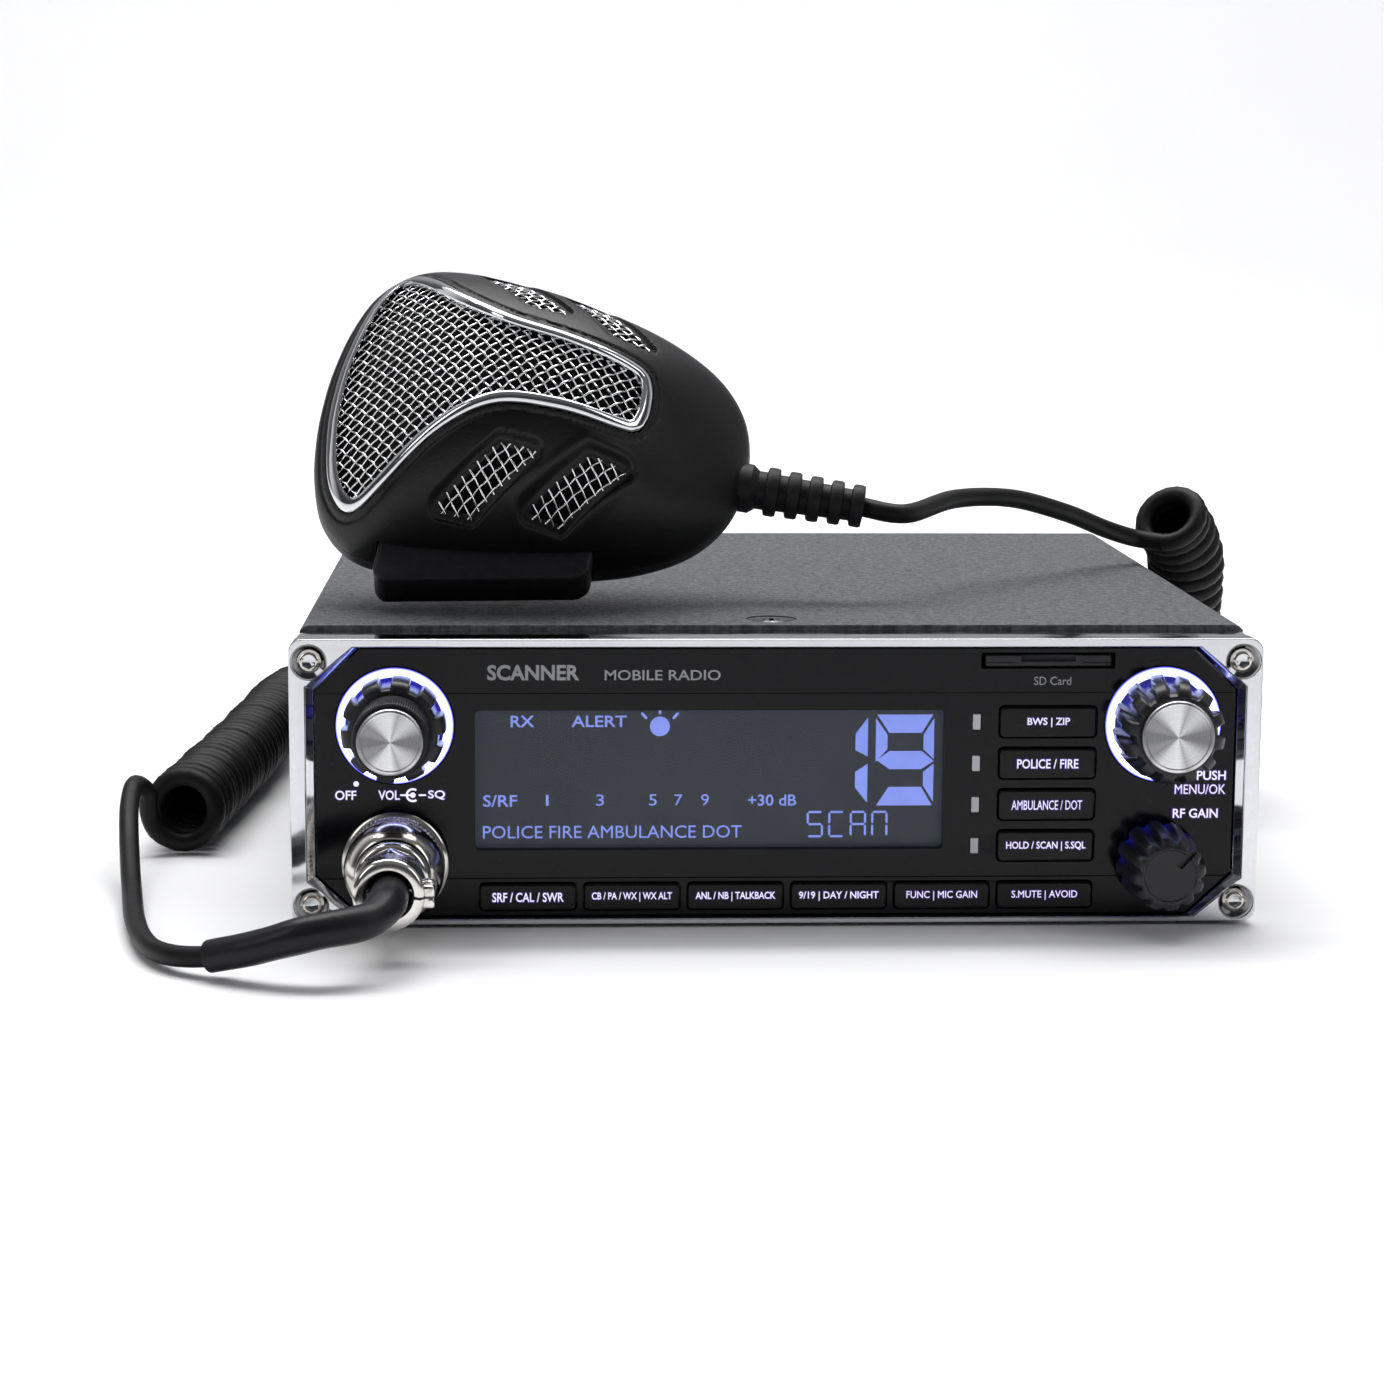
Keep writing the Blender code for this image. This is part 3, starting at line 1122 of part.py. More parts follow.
def smooth_route(knots, spacing):
    """Evenly spaced points on a smooth curve through the knots."""
    knots = [Vector(knot) for knot in knots]
    ends = [2 * knots[0] - knots[1], *knots, 2 * knots[-1] - knots[-2]]
    fine = []
    for index in range(1, len(ends) - 2):
        fine += [catmull_rom(*ends[index - 1:index + 3], step / 24) for step in range(24)]
    fine.append(knots[-1])
    lengths = [0.0]
    for before, after in zip(fine, fine[1:]):
        lengths.append(lengths[-1] + (after - before).length)
    count = max(int(round(lengths[-1] / spacing)), 2)
    points = []
    place_in = 0
    for index in range(count + 1):
        target = lengths[-1] * index / count
        while place_in < len(fine) - 2 and lengths[place_in + 1] < target:
            place_in += 1
        span = lengths[place_in + 1] - lengths[place_in]
        share = (target - lengths[place_in]) / span if span > 0 else 0.0
        points.append(fine[place_in].lerp(fine[place_in + 1], min(share, 1.0)))
    return points


def tube(name, knots, radius, spacing, resolution, finish):
    """A cord or sleeve swept along a smooth route."""
    points = smooth_route(knots, spacing)
    curve = bpy.data.curves.new(name, "CURVE")
    curve.dimensions = "3D"
    curve.bevel_depth = radius
    curve.bevel_resolution = resolution
    curve.use_fill_caps = True
    spline = curve.splines.new("POLY")
    spline.points.add(len(points) - 1)
    for point, where in zip(spline.points, points):
        point.co = (*where, 1.0)
    curve.materials.append(material(name, *finish))
    obj = bpy.data.objects.new(name, curve)
    PARTS.objects.link(obj)
    return obj


def behind_front(x, depth, z):
    """A point given in millimetres, its depth behind the bezel's front plane."""
    return (x * MM, BEZEL_FRONT + depth * MM, z * MM)


def build_cord():
    """The cord from the plug round the back of the radio to the microphone."""
    x, z = MIC_SOCKET
    start = Vector((x, BEZEL_FRONT - PLUG_FRONT - GAP, z + BEZEL_BASE))
    sleeve = [
        start, start + Vector((0.0, -5.0 * MM, 0.0)), behind_front(-76.0, -41.0, 11.0),
        behind_front(-86.0, -43.5, 9.4), behind_front(-96.0, -41.0, 6.2),
        behind_front(-104.0, -37.0, 3.8),
    ]
    tube("cord_sleeve", sleeve, SLEEVE_RADIUS, 4.0 * MM, 3, RUBBER)
    heading = (Vector(sleeve[-1]) - Vector(sleeve[-2])).normalized()
    plug_lead = [
        Vector(sleeve[-1]) + heading * GAP * 2, behind_front(-111.5, -32.0, 2.8),
        behind_front(-117.0, -22.0, 2.3), behind_front(-121.0, -4.0, 2.3),
        behind_front(-123.5, 18.0, 3.0), behind_front(-125.0, 40.0, 8.0),
        behind_front(-124.5, 57.0, 13.0),
    ]
    tube("cord_plug_lead", plug_lead, WIRE_RADIUS, 5.0 * MM, 2, RUBBER)
    coil = [behind_front(*spot) for spot in COIL_ROUTE]
    tube("cord_coil", coil, COIL_RADIUS, 13.0 * MM, 4, RUBBER)
    leave, heading = relief_end()
    mic_lead = [
        leave, leave + heading * 8.0 * MM, behind_front(42.0, 70.0, 75.4),
        behind_front(56.0, 84.0, 74.2), behind_front(71.0, 97.0, 69.8),
        behind_front(84.0, 106.0, 63.6), behind_front(93.0, 107.5, 61.0),
    ]
    tube("cord_mic_lead", mic_lead, WIRE_RADIUS, 5.0 * MM, 2, RUBBER)


build_chassis()
build_covers()
build_cover_screw()
build_heat_sink()
build_rear_sockets()
build_bezel()
build_panel()
build_boards()
build_speaker()
build_controls()
build_knobs()
build_keys()
build_card()
build_mic_socket_and_plug()
build_mic()
build_cord()
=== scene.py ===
"""Mobile police scanner with a hand microphone on a curly cord, finished for display.

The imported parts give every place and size, in metres: X runs to the right, Y to
the back and Z up, and the case stands on the plane Z = 0 with its front facing -Y.
Each sub-assembly is a class that builds its pieces and dresses them in a finish.
"""

import logging
import math
from collections.abc import Callable, Iterable, Sequence
from dataclasses import dataclass
from enum import Enum

import bmesh
import bpy
import numpy as np
from bmesh.types import BMesh
from bpy.types import ID, Material, Mesh, Node, NodeOutputs, NodeSocket, NodeTree, Object
from mathutils import Matrix, Vector


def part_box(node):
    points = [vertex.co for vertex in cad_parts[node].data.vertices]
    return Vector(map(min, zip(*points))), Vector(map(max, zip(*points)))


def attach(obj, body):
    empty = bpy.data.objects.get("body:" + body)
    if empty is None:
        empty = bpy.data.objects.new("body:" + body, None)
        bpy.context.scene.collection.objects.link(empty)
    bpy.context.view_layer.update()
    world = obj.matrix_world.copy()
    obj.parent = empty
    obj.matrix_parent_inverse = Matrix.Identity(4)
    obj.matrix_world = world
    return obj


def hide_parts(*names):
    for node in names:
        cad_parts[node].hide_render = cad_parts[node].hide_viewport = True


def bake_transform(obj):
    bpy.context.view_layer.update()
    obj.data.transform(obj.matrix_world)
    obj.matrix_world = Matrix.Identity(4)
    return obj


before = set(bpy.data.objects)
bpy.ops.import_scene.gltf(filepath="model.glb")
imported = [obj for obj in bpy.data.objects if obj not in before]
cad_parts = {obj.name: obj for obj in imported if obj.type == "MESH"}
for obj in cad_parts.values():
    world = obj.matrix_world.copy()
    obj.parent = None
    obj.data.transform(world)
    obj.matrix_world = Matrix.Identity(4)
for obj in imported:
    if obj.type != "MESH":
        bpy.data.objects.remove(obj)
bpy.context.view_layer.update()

LOG = logging.getLogger("police_scanner")
MM = 0.001
MANY_CORNERS = 12  # a face with more corners than this is a flat one
WIDE_FACE = 2.0e-5  # square metres

Point2 = tuple[float, float]
Outline = list[Point2]
Path = list[Vector]

BEZEL_LOW, BEZEL_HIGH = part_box("front_bezel")
FRONT = BEZEL_LOW.y  # the bezel's front plane
FOOT = BEZEL_LOW.z


# ---------------------------------------------------------------- shapes


def millimetres(points: Iterable[Sequence[float]]) -> list[tuple[float, ...]]:
    """Turn points given in millimetres into metres."""
    return [tuple(value * MM for value in point) for point in points]


def circle(centre: Point2, radius: float, sides: int = 64) -> Outline:
    """Give a round outline.

    Args:
        centre: Its middle.
        radius: Its radius.
        sides: How many points it has.

    Returns:
        The points in order.
    """
    turns = [math.tau * index / sides for index in range(sides)]
    return [(centre[0] + radius * math.cos(a), centre[1] + radius * math.sin(a)) for a in turns]


def rounded_box(centre: Point2, size: Point2, radius: float, steps: int = 6) -> Outline:
    """Give a rectangle with round corners.

    Args:
        centre: Its middle.
        size: Its width and height.
        radius: The corner radius.
        steps: Straight pieces in each corner.

    Returns:
        The points in order.
    """
    across, up = size[0] / 2 - radius, size[1] / 2 - radius
    points = []
    for x, z, start in ((across, -up, -90.0), (across, up, 0.0), (-across, up, 90.0), (-across, -up, 180.0)):
        for step in range(steps + 1):
            angle = math.radians(start + 90.0 * step / steps)
            points.append(
                (centre[0] + x + radius * math.cos(angle), centre[1] + z + radius * math.sin(angle))
            )
    return points


def grown(size: Point2, more: float) -> Point2:
    """Give a width and a height that are both greater by an amount."""
    return size[0] + more, size[1] + more


def above_foot(centre: Point2, size: Point2) -> tuple[Point2, Point2]:
    """Turn a middle in millimetres above the bezel's foot, and a size, into metres."""
    return (centre[0] * MM, centre[1] * MM + FOOT), (size[0] * MM, size[1] * MM)


def turned(outline: Outline, spot: Point2, degrees: float) -> Outline:
    """Turn an outline about its own origin and set that origin at a spot."""
    c, s = math.cos(math.radians(degrees)), math.sin(math.radians(degrees))
    return [(spot[0] + x * c - z * s, spot[1] + x * s + z * c) for x, z in outline]


def between(low: Vector, high: Vector) -> tuple[Point2, Point2]:
    """Give the middle and the size in X and Z of a box."""
    return ((low.x + high.x) / 2, (low.z + high.z) / 2), (high.x - low.x, high.z - low.z)


def catmull_rom(p0: Vector, p1: Vector, p2: Vector, p3: Vector, t: float) -> Vector:
    """Give a point on the smooth curve between p1 and p2."""
    return 0.5 * (
        2 * p1 + (p2 - p0) * t + (2 * p0 - 5 * p1 + 4 * p2 - p3) * t * t
        + (3 * p1 - p0 - 3 * p2 + p3) * t * t * t
    )


def smooth_route(knots: Sequence[Vector], spacing: float) -> Path:
    """Give evenly spaced points on a smooth curve.

    Args:
        knots: Points that the curve goes through.
        spacing: About how far apart the new points lie.

    Returns:
        The new points, ends included.
    """
    ends = [2 * knots[0] - knots[1], *knots, 2 * knots[-1] - knots[-2]]
    fine = []
    for index in range(1, len(ends) - 2):
        fine += [catmull_rom(*ends[index - 1:index + 3], step / 24) for step in range(24)]
    fine.append(knots[-1])
    lengths = np.concatenate([[0.0], np.cumsum([(b - a).length for a, b in zip(fine, fine[1:])])])
    count = max(int(round(lengths[-1] / spacing)), 2)
    wanted = np.linspace(0.0, lengths[-1], count + 1)
    table = np.array([tuple(point) for point in fine])
    columns = [np.interp(wanted, lengths, table[:, axis]) for axis in range(3)]
    return [Vector(point) for point in zip(*columns)]


def bend_frames(path: Sequence[Vector]) -> list[tuple[Vector, Vector]]:
    """Give two sideways directions at each point of a path that don't twist about it."""
    tangents = []
    for index in range(len(path)):
        ahead = path[min(index + 1, len(path) - 1)]
        behind = path[max(index - 1, 0)]
        tangents.append((ahead - behind).normalized())
    side = tangents[0].orthogonal().normalized()
    frames = []
    for tangent in tangents:
        side = (side - tangent * side.dot(tangent)).normalized()
        frames.append((side, tangent.cross(side)))
    return frames


def loft(rings: Sequence[Sequence[Vector]], closed_ends: bool = True) -> BMesh:
    """Skin a row of rings that have equally many points.

    Args:
        rings: The rings in order.
        closed_ends: Whether the two ends are capped; if not, the last ring joins the first.

    Returns:
        The new shape.
    """
    shape = bmesh.new()
    made = [[shape.verts.new(point) for point in ring] for ring in rings]
    pairs = list(zip(made, made[1:]))
    if not closed_ends:
        pairs.append((made[-1], made[0]))
    for low, high in pairs:
        for index in range(len(low)):
            after = (index + 1) % len(low)
            shape.faces.new((low[index], low[after], high[after], high[index]))
    if closed_ends:
        shape.faces.new(list(reversed(made[0])))
        shape.faces.new(made[-1])
    bmesh.ops.recalc_face_normals(shape, faces=shape.faces)
    return shape


def shaded(mesh: Mesh, sharp: float = 35.0) -> Mesh:
    """Shade a mesh smooth, with its corners sharp and its wide flat faces flat.

    Args:
        mesh: The mesh.
        sharp: The angle in degrees past which an edge stays sharp.

    Returns:
        The same mesh.
    """
    mesh.shade_smooth()
    mesh.set_sharp_from_angle(angle=math.radians(sharp))
    for face in mesh.polygons:
        if len(face.vertices) > MANY_CORNERS or face.area > WIDE_FACE:
            face.use_smooth = False
    return mesh


def to_mesh(name: str, shape: BMesh, sharp: float = 35.0) -> Mesh:
    """Turn a shape into a smooth mesh whose corners stay sharp.

    Args:
        name: The mesh's name.
        shape: The shape, which is used up.
        sharp: The angle in degrees past which an edge stays sharp.

    Returns:
        The mesh.
    """
    mesh = bpy.data.meshes.new(name)
    shape.to_mesh(mesh)
    shape.free()
    return shaded(mesh, sharp)


def tube(name: str, path: Sequence[Vector], radii: Sequence[float], sides: int = 12) -> Mesh:
    """Sweep a round section along a path and round off its ends.

    Args:
        name: The mesh's name.
        path: The centreline.
        radii: The radius at each point, or one radius for all.
        sides: Points round the section.

    Returns:
        The closed tube.
    """
    sizes = list(radii) * len(path) if len(radii) == 1 else list(radii)
    turns = [math.tau * index / sides for index in range(sides)]
    rings = []
    for centre, (side, up), radius in zip(path, bend_frames(path), sizes):
        rings.append([centre + (side * math.cos(a) + up * math.sin(a)) * radius for a in turns])
    return to_mesh(name, loft(rings), 60.0)


def lathe(
    name: str, profile: Sequence[Point2], spot: Point2, steps: int = 96, sign: float = -1.0, base: float = FRONT
) -> Mesh:
    """Turn a profile about an axis that runs along Y.

    Args:
        name: The mesh's name.
        profile: Radius and distance out of the base plane, in a closed loop.
        spot: X and Z of the axis.
        steps: Sides of the turned shape.
        sign: -1 when distances run to the front, 1 when they run to the back.
        base: Y of the base plane.

    Returns:
        The closed shape.
    """
    rings = []
    for index in range(steps):
        angle = math.tau * index / steps
        c, s = math.cos(angle), math.sin(angle)
        rings.append([Vector((spot[0] + r * c, base + sign * out, spot[1] + r * s)) for r, out in profile])
    shape = loft(rings, closed_ends=False)
    bmesh.ops.remove_doubles(shape, verts=shape.verts, dist=1e-7)
    bmesh.ops.recalc_face_normals(shape, faces=shape.faces)
    return to_mesh(name, shape)


def baked(obj: Object) -> Mesh:
    """Give the plain mesh that an object's curve or modifiers make, and remove the object."""
    bpy.context.view_layer.update()
    graph = bpy.context.evaluated_depsgraph_get()
    mesh = bpy.data.meshes.new_from_object(obj.evaluated_get(graph))
    mesh.name = obj.name
    bpy.data.objects.remove(obj)
    return mesh


def helper(name: str, data: ID) -> Object:
    """Put data in the scene as an object that is only a step on the way to a piece."""
    obj = bpy.data.objects.new(name, data)
    bpy.context.scene.collection.objects.link(obj)
    return obj


def slab(
    name: str, outlines: Sequence[Outline], near: float, far: float, edge: float = 0.0
) -> Mesh:
    """Make a plate that faces the front from outlines in X and Z.

    Args:
        name: The mesh's name.
        outlines: The outer outline and any holes, Z measured from the ground.
        near: Depth of its face behind the bezel's front plane.
        far: Depth of its back.
        edge: Width of the rounding on its edges.

    Returns:
        The plate.
    """
    curve = bpy.data.curves.new(name, "CURVE")
    curve.dimensions = "2D"
    curve.fill_mode = "BOTH"
    curve.extrude = (far - near) / 2
    for outline in outlines:
        spline = curve.splines.new("POLY")
        spline.points.add(len(outline) - 1)
        for point, (x, z) in zip(spline.points, outline):
            point.co = (x, z, 0.0, 1.0)
        spline.use_cyclic_u = True
    flat = baked(helper(name, curve))
    shape = bmesh.new()
    shape.from_mesh(flat)
    bmesh.ops.remove_doubles(shape, verts=shape.verts, dist=1e-7)
    bmesh.ops.dissolve_limit(
        shape, angle_limit=math.radians(1.0), verts=shape.verts, edges=shape.edges
    )
    turn = Matrix.Rotation(math.radians(90.0), 4, "X")
    shape.transform(Matrix.Translation((0.0, FRONT + (near + far) / 2, 0.0)) @ turn)
    bmesh.ops.recalc_face_normals(shape, faces=shape.faces)
    mesh = to_mesh(name, shape)
    return rounded(mesh, edge) if edge > 0 else mesh


def rounded(mesh: Mesh, width: float, segments: int = 3, angle: float = 35.0) -> Mesh:
    """Round the sharp edges of a mesh.

    Args:
        mesh: The mesh, which is used up.
        width: How wide the rounding is.
        segments: Faces across it.
        angle: The angle in degrees past which an edge is rounded.

    Returns:
        The rounded mesh.
    """
    obj = helper(mesh.name, mesh)
    bevel = obj.modifiers.new("soft_edges", "BEVEL")
    bevel.width = width
    bevel.segments = segments
    bevel.limit_method = "ANGLE"
    bevel.angle_limit = math.radians(angle)
    bevel.harden_normals = True
    return baked(obj)


def block(name: str, low: Sequence[float], high: Sequence[float], edge: float = 0.0) -> Mesh:
    """Make a box between two corners.

    Args:
        name: The mesh's name.
        low: Its lowest corner.
        high: Its highest corner.
        edge: Width of the rounding on its edges.

    Returns:
        The box.
    """
    size = [b - a for a, b in zip(low, high)]
    middle = [(a + b) / 2 for a, b in zip(low, high)]
    shape = bmesh.new()
    matrix = Matrix.Translation(middle) @ Matrix.Diagonal((*size, 1.0))
    bmesh.ops.create_cube(shape, size=1.0, matrix=matrix)
    mesh = to_mesh(name, shape)
    return rounded(mesh, edge) if edge > 0 else mesh


def carved(mesh: Mesh, *tools: Mesh, operation: str = "DIFFERENCE") -> Mesh:
    """Cut tools out of a mesh, or join them on.

    Args:
        mesh: The mesh, which is used up.
        tools: The meshes that cut, which are used up too.
        operation: The Boolean operation.

    Returns:
        The carved mesh.
    """
    for tool in tools:
        obj, cutter = helper(mesh.name, mesh), helper("cutter", tool)
        cut = obj.modifiers.new("cut", "BOOLEAN")
        cut.operation = operation
        cut.solver = "EXACT"
        cut.object = cutter
        mesh = baked(obj)
        bpy.data.objects.remove(cutter)
    return shaded(mesh)


def gathered(name: str, parts: Sequence[tuple[Mesh, Material]]) -> Mesh:
    """Join meshes into one, each with its own material.

    Args:
        name: The joined mesh's name.
        parts: Meshes and the materials they wear.

    Returns:
        The joined mesh.
    """
    shape = bmesh.new()
    materials: list[Material] = []
    for mesh, finish in parts:
        if finish not in materials:
            materials.append(finish)
        first = len(shape.faces)
        shape.from_mesh(mesh)
        shape.faces.ensure_lookup_table()
        for face in shape.faces[first:]:
            face.material_index = materials.index(finish)
    mesh = to_mesh(name, shape, 32.0)
    for finish in materials:
        mesh.materials.append(finish)
    return mesh


# ---------------------------------------------------------------- node trees


def opaque(colour: Sequence[float], share: float = 1.0) -> tuple[float, ...]:
    """Give a colour, or a share of it, as a node socket takes it, with full alpha."""
    return (*(share * value for value in colour), 1.0)


class Wiring:
    """Adds nodes to one node tree and joins their sockets."""

    def __init__(self, tree: NodeTree) -> None:
        """Keep the tree that the nodes go into."""
        self.tree = tree

    def add(self, kind: str, inputs: dict | None = None, **settings: object) -> Node:
        """Add a node.

        Args:
            kind: The node's type.
            inputs: What its sockets get: a value, or another node's socket.
            settings: The node's own properties.

        Returns:
            The new node.
        """
        node = self.tree.nodes.new(kind)
        for key, value in settings.items():
            setattr(node, key, value)
        for key, value in (inputs or {}).items():
            self.feed(node.inputs[key], value)
        return node

    def feed(self, socket: NodeSocket, value: object) -> None:
        """Give a socket a value, or join another node's socket to it."""
        if isinstance(value, NodeSocket):
            self.tree.links.new(value, socket)
        else:
            socket.default_value = value

    def reckon(self, operation: str, first: object, second: object = 0.0) -> NodeSocket:
        """Add a Math node and give its result."""
        node = self.add("ShaderNodeMath", {0: first, 1: second}, operation=operation)
        return node.outputs[0]

    def spread(self, value: object, low: float, high: float, to_low: float, to_high: float) -> NodeSocket:
        """Stretch a value from one range to another, with its ends held."""
        node = self.add(
            "ShaderNodeMapRange",
            {"Value": value, "From Min": low, "From Max": high, "To Min": to_low, "To Max": to_high},
        )
        return node.outputs["Result"]

    def blend(self, share: object, first: object, second: object) -> NodeSocket:
        """Mix two colours by a share."""
        node = self.add("ShaderNodeMix", {"Factor": share, 6: first, 7: second}, data_type="RGBA")
        return node.outputs[2]

    def from_axis(self, where: object) -> tuple[NodeOutputs, NodeSocket]:
        """Give a point's coordinates and its distance from the Y axis."""
        at = self.add("ShaderNodeSeparateXYZ", {"Vector": where}).outputs
        across, up = (self.reckon("MULTIPLY", at[axis], at[axis]) for axis in "XZ")
        return at, self.reckon("SQRT", self.reckon("ADD", across, up))

    def noise(self, where: object, scale: object, detail: float = 3.0) -> NodeSocket:
        """Add a noise texture and give its value."""
        node = self.add("ShaderNodeTexNoise", {"Vector": where, "Scale": scale, "Detail": detail})
        return node.outputs["Fac"]


def shader_group(
    name: str,
    inputs: dict[str, float],
    outputs: Sequence[str],
    wire: Callable[[Wiring, NodeOutputs], Sequence[NodeSocket]],
) -> NodeTree:
    """Build a shader node group once, or give the one that is there.

    Args:
        name: The group's name.
        inputs: Its number inputs and their usual values; it also gets a Vector input.
        outputs: Names of its value outputs.
        wire: Adds the nodes and gives what feeds the outputs, in order.

    Returns:
        The group.
    """
    if name in bpy.data.node_groups:
        return bpy.data.node_groups[name]
    tree = bpy.data.node_groups.new(name, "ShaderNodeTree")
    tree.interface.new_socket("Vector", in_out="INPUT", socket_type="NodeSocketVector")
    for key, value in inputs.items():
        socket = tree.interface.new_socket(key, in_out="INPUT", socket_type="NodeSocketFloat")
        socket.default_value = value
    for key in outputs:
        tree.interface.new_socket(key, in_out="OUTPUT", socket_type="NodeSocketFloat")
    wiring = Wiring(tree)
    given = wiring.add("NodeGroupInput").outputs
    results = wiring.add("NodeGroupOutput")
    for key, socket in zip(outputs, wire(wiring, given)):
        wiring.feed(results.inputs[key], socket)
    return tree


def wire_grain(w: Wiring, given: NodeOutputs) -> list[NodeSocket]:
    """Spark-eroded mould grain: small round pits of two sizes."""
    pits = w.add(
        "ShaderNodeTexVoronoi", {"Vector": given["Vector"], "Scale": given["Scale"]}, feature="SMOOTH_F1"
    )
    fine = w.noise(given["Vector"], w.reckon("MULTIPLY", given["Scale"], 2.3))
    height = w.reckon("ADD", w.reckon("MULTIPLY", pits.outputs["Distance"], 0.7), fine)
    return [w.reckon("MULTIPLY", height, given["Depth"]), fine]


def wire_smudges(w: Wiring, given: NodeOutputs) -> list[NodeSocket]:
    """Finger marks and dust that make a surface duller in soft patches."""
    patches = w.noise(given["Vector"], given["Scale"], 5.0)
    soft = w.spread(patches, 0.42, 0.75, 0.0, 1.0)
    specks = w.noise(given["Vector"], w.reckon("MULTIPLY", given["Scale"], 60.0), 1.0)
    dust = w.spread(specks, 0.70, 0.78, 0.0, 1.0)
    return [w.reckon("MULTIPLY", soft, given["Amount"]), dust]


def wire_flakes(w: Wiring, given: NodeOutputs) -> list[NodeSocket]:
    """Powder paint: a pebbled skin with bright flakes in it."""
    cells = w.add("ShaderNodeTexVoronoi", {"Vector": given["Vector"], "Scale": given["Scale"]})
    tone = w.add("ShaderNodeSeparateColor", {"Color": cells.outputs["Color"]}).outputs["Red"]
    bright = w.spread(tone, 0.55, 1.0, 0.0, 1.0)
    pebbles = w.noise(given["Vector"], w.reckon("MULTIPLY", given["Scale"], 0.6), 4.0)
    return [bright, pebbles]


def wire_wear(w: Wiring, given: NodeOutputs) -> list[NodeSocket]:
    """Edges that are rubbed a little brighter, broken up by noise."""
    point = w.add("ShaderNodeNewGeometry").outputs["Pointiness"]
    edge = w.spread(point, 0.515, 0.56, 0.0, 1.0)
    broken = w.spread(w.noise(given["Vector"], given["Scale"], 4.0), 0.35, 0.65, 0.3, 1.0)
    return [w.reckon("MULTIPLY", w.reckon("MULTIPLY", edge, broken), given["Amount"])]


def wire_turning_and_painted_lobes(w: Wiring, given: NodeOutputs) -> list[NodeSocket]:
    """Marks of a lathe tool: rings about the axis; and lobes by angle for a painted reflection on spun metal."""
    at, radius = w.from_axis(given["Vector"])
    rings = w.add("ShaderNodeCombineXYZ", {"X": w.reckon("MULTIPLY", radius, given["Scale"])}).outputs[0]
    lines = w.noise(rings, 1.0, 4.0)
    # Painted reflection: these lobes by angle feed painted bright and dark sectors, not a tool mark.
    angle = w.reckon("ARCTAN2", at["Z"], at["X"])
    painted_sector_lobes = w.reckon("ABSOLUTE", w.reckon("SINE", w.reckon("MULTIPLY", angle, given["Lobes"])))
    return [lines, painted_sector_lobes]


GROUPS: dict[str, tuple[dict[str, float], list[str], Callable]] = {
    "mould_grain": ({"Scale": 2500.0, "Depth": 1.0}, ["Height", "Tone"], wire_grain),
    "handling_smudges": ({"Scale": 40.0, "Amount": 0.1}, ["Dullness", "Dust"], wire_smudges),
    "paint_flakes": ({"Scale": 2600.0}, ["Bright", "Pebbles"], wire_flakes),
    "edge_wear": ({"Scale": 600.0, "Amount": 0.3}, ["Mask"], wire_wear),
    "turning_marks": ({"Scale": 6000.0, "Lobes": 2.0}, ["Rings", "Sweep"], wire_turning_and_painted_lobes),
}


class Paper:
    """One material's node tree, with its Principled shader and its Object coordinates."""

    def __init__(
        self, name: str, colour: Sequence[float], roughness: float, metallic: float = 0.0, specular: float = 0.5
    ) -> None:
        """Start a material with plain values.

        Args:
            name: The material's name.
            colour: Linear red, green and blue.
            roughness: The shader's roughness.
            metallic: The shader's metallic value.
            specular: How strongly the bare surface mirrors, 0.5 being usual.
        """
        self.material = bpy.data.materials.new(name)
        self.material.use_nodes = True
        tree = self.material.node_tree
        self.w = Wiring(tree)
        self.shader = tree.nodes["Principled BSDF"]
        self.set("Base Color", opaque(colour))
        self.set("Roughness", roughness)
        self.set("Metallic", metallic)
        self.set("Specular IOR Level", specular)
        self.where = self.w.add("ShaderNodeTexCoord").outputs["Object"]

    def set(self, socket: str, value: object) -> None:
        """Give one of the shader's sockets a value or join a socket to it."""
        self.w.feed(self.shader.inputs[socket], value)

    def group(self, name: str, vector: object = None, **values: float) -> NodeOutputs:
        """Place a shared group in this material and give its outputs."""
        numbers, outputs, wire = GROUPS[name]
        tree = shader_group(name, numbers, outputs, wire)
        node = self.w.add("ShaderNodeGroup", node_tree=tree)
        self.w.feed(node.inputs["Vector"], self.where if vector is None else vector)
        for key, value in values.items():
            self.w.feed(node.inputs[key.title()], value)
        return node.outputs

    def smudged(self, scale: float, amount: float, roughness: object) -> NodeOutputs:
        """Add handling smudges on top of a roughness and give their outputs."""
        smudges = self.group("handling_smudges", scale=scale, amount=amount)
        self.set("Roughness", self.w.reckon("ADD", smudges["Dullness"], roughness))
        return smudges

    def bump(self, height: object, strength: float, distance: float) -> None:
        """Feed a height to the shader's normal."""
        node = self.w.add("ShaderNodeBump", {"Height": height, "Strength": strength, "Distance": distance})
        self.set("Normal", node.outputs["Normal"])

    def centred(self, x: float, z: float) -> NodeSocket:
        """Give Object coordinates moved so that an axis along Y at X and Z is the middle."""
        return self.w.add(
            "ShaderNodeMapping", {"Vector": self.where, "Location": (-x, 0.0, -z)}
        ).outputs[0]


# ---------------------------------------------------------------- finishes


@dataclass(frozen=True)
class MouldedPlastic:
    """Black plastic with a mould grain, handled until its edges shine a little."""

    name: str
    colour: tuple[float, float, float] = (0.006, 0.006, 0.007)
    roughness: float = 0.40
    grain: float = 0.25
    grain_scale: float = 2600.0
    wear: float = 0.35

    def make(self) -> Material:
        """Build the material."""
        paper = Paper(self.name, self.colour, self.roughness, specular=0.25)
        grain = paper.group("mould_grain", scale=self.grain_scale)
        paper.smudged(55.0, 0.10, self.roughness)
        wear = paper.group("edge_wear", amount=self.wear)
        toned = paper.w.blend(grain["Tone"], opaque(self.colour), opaque(self.colour, 1.6))
        paper.set("Base Color", paper.w.blend(wear["Mask"], toned, (0.06, 0.06, 0.065, 1.0)))
        paper.bump(grain["Height"], self.grain, 0.00008)
        return paper.material


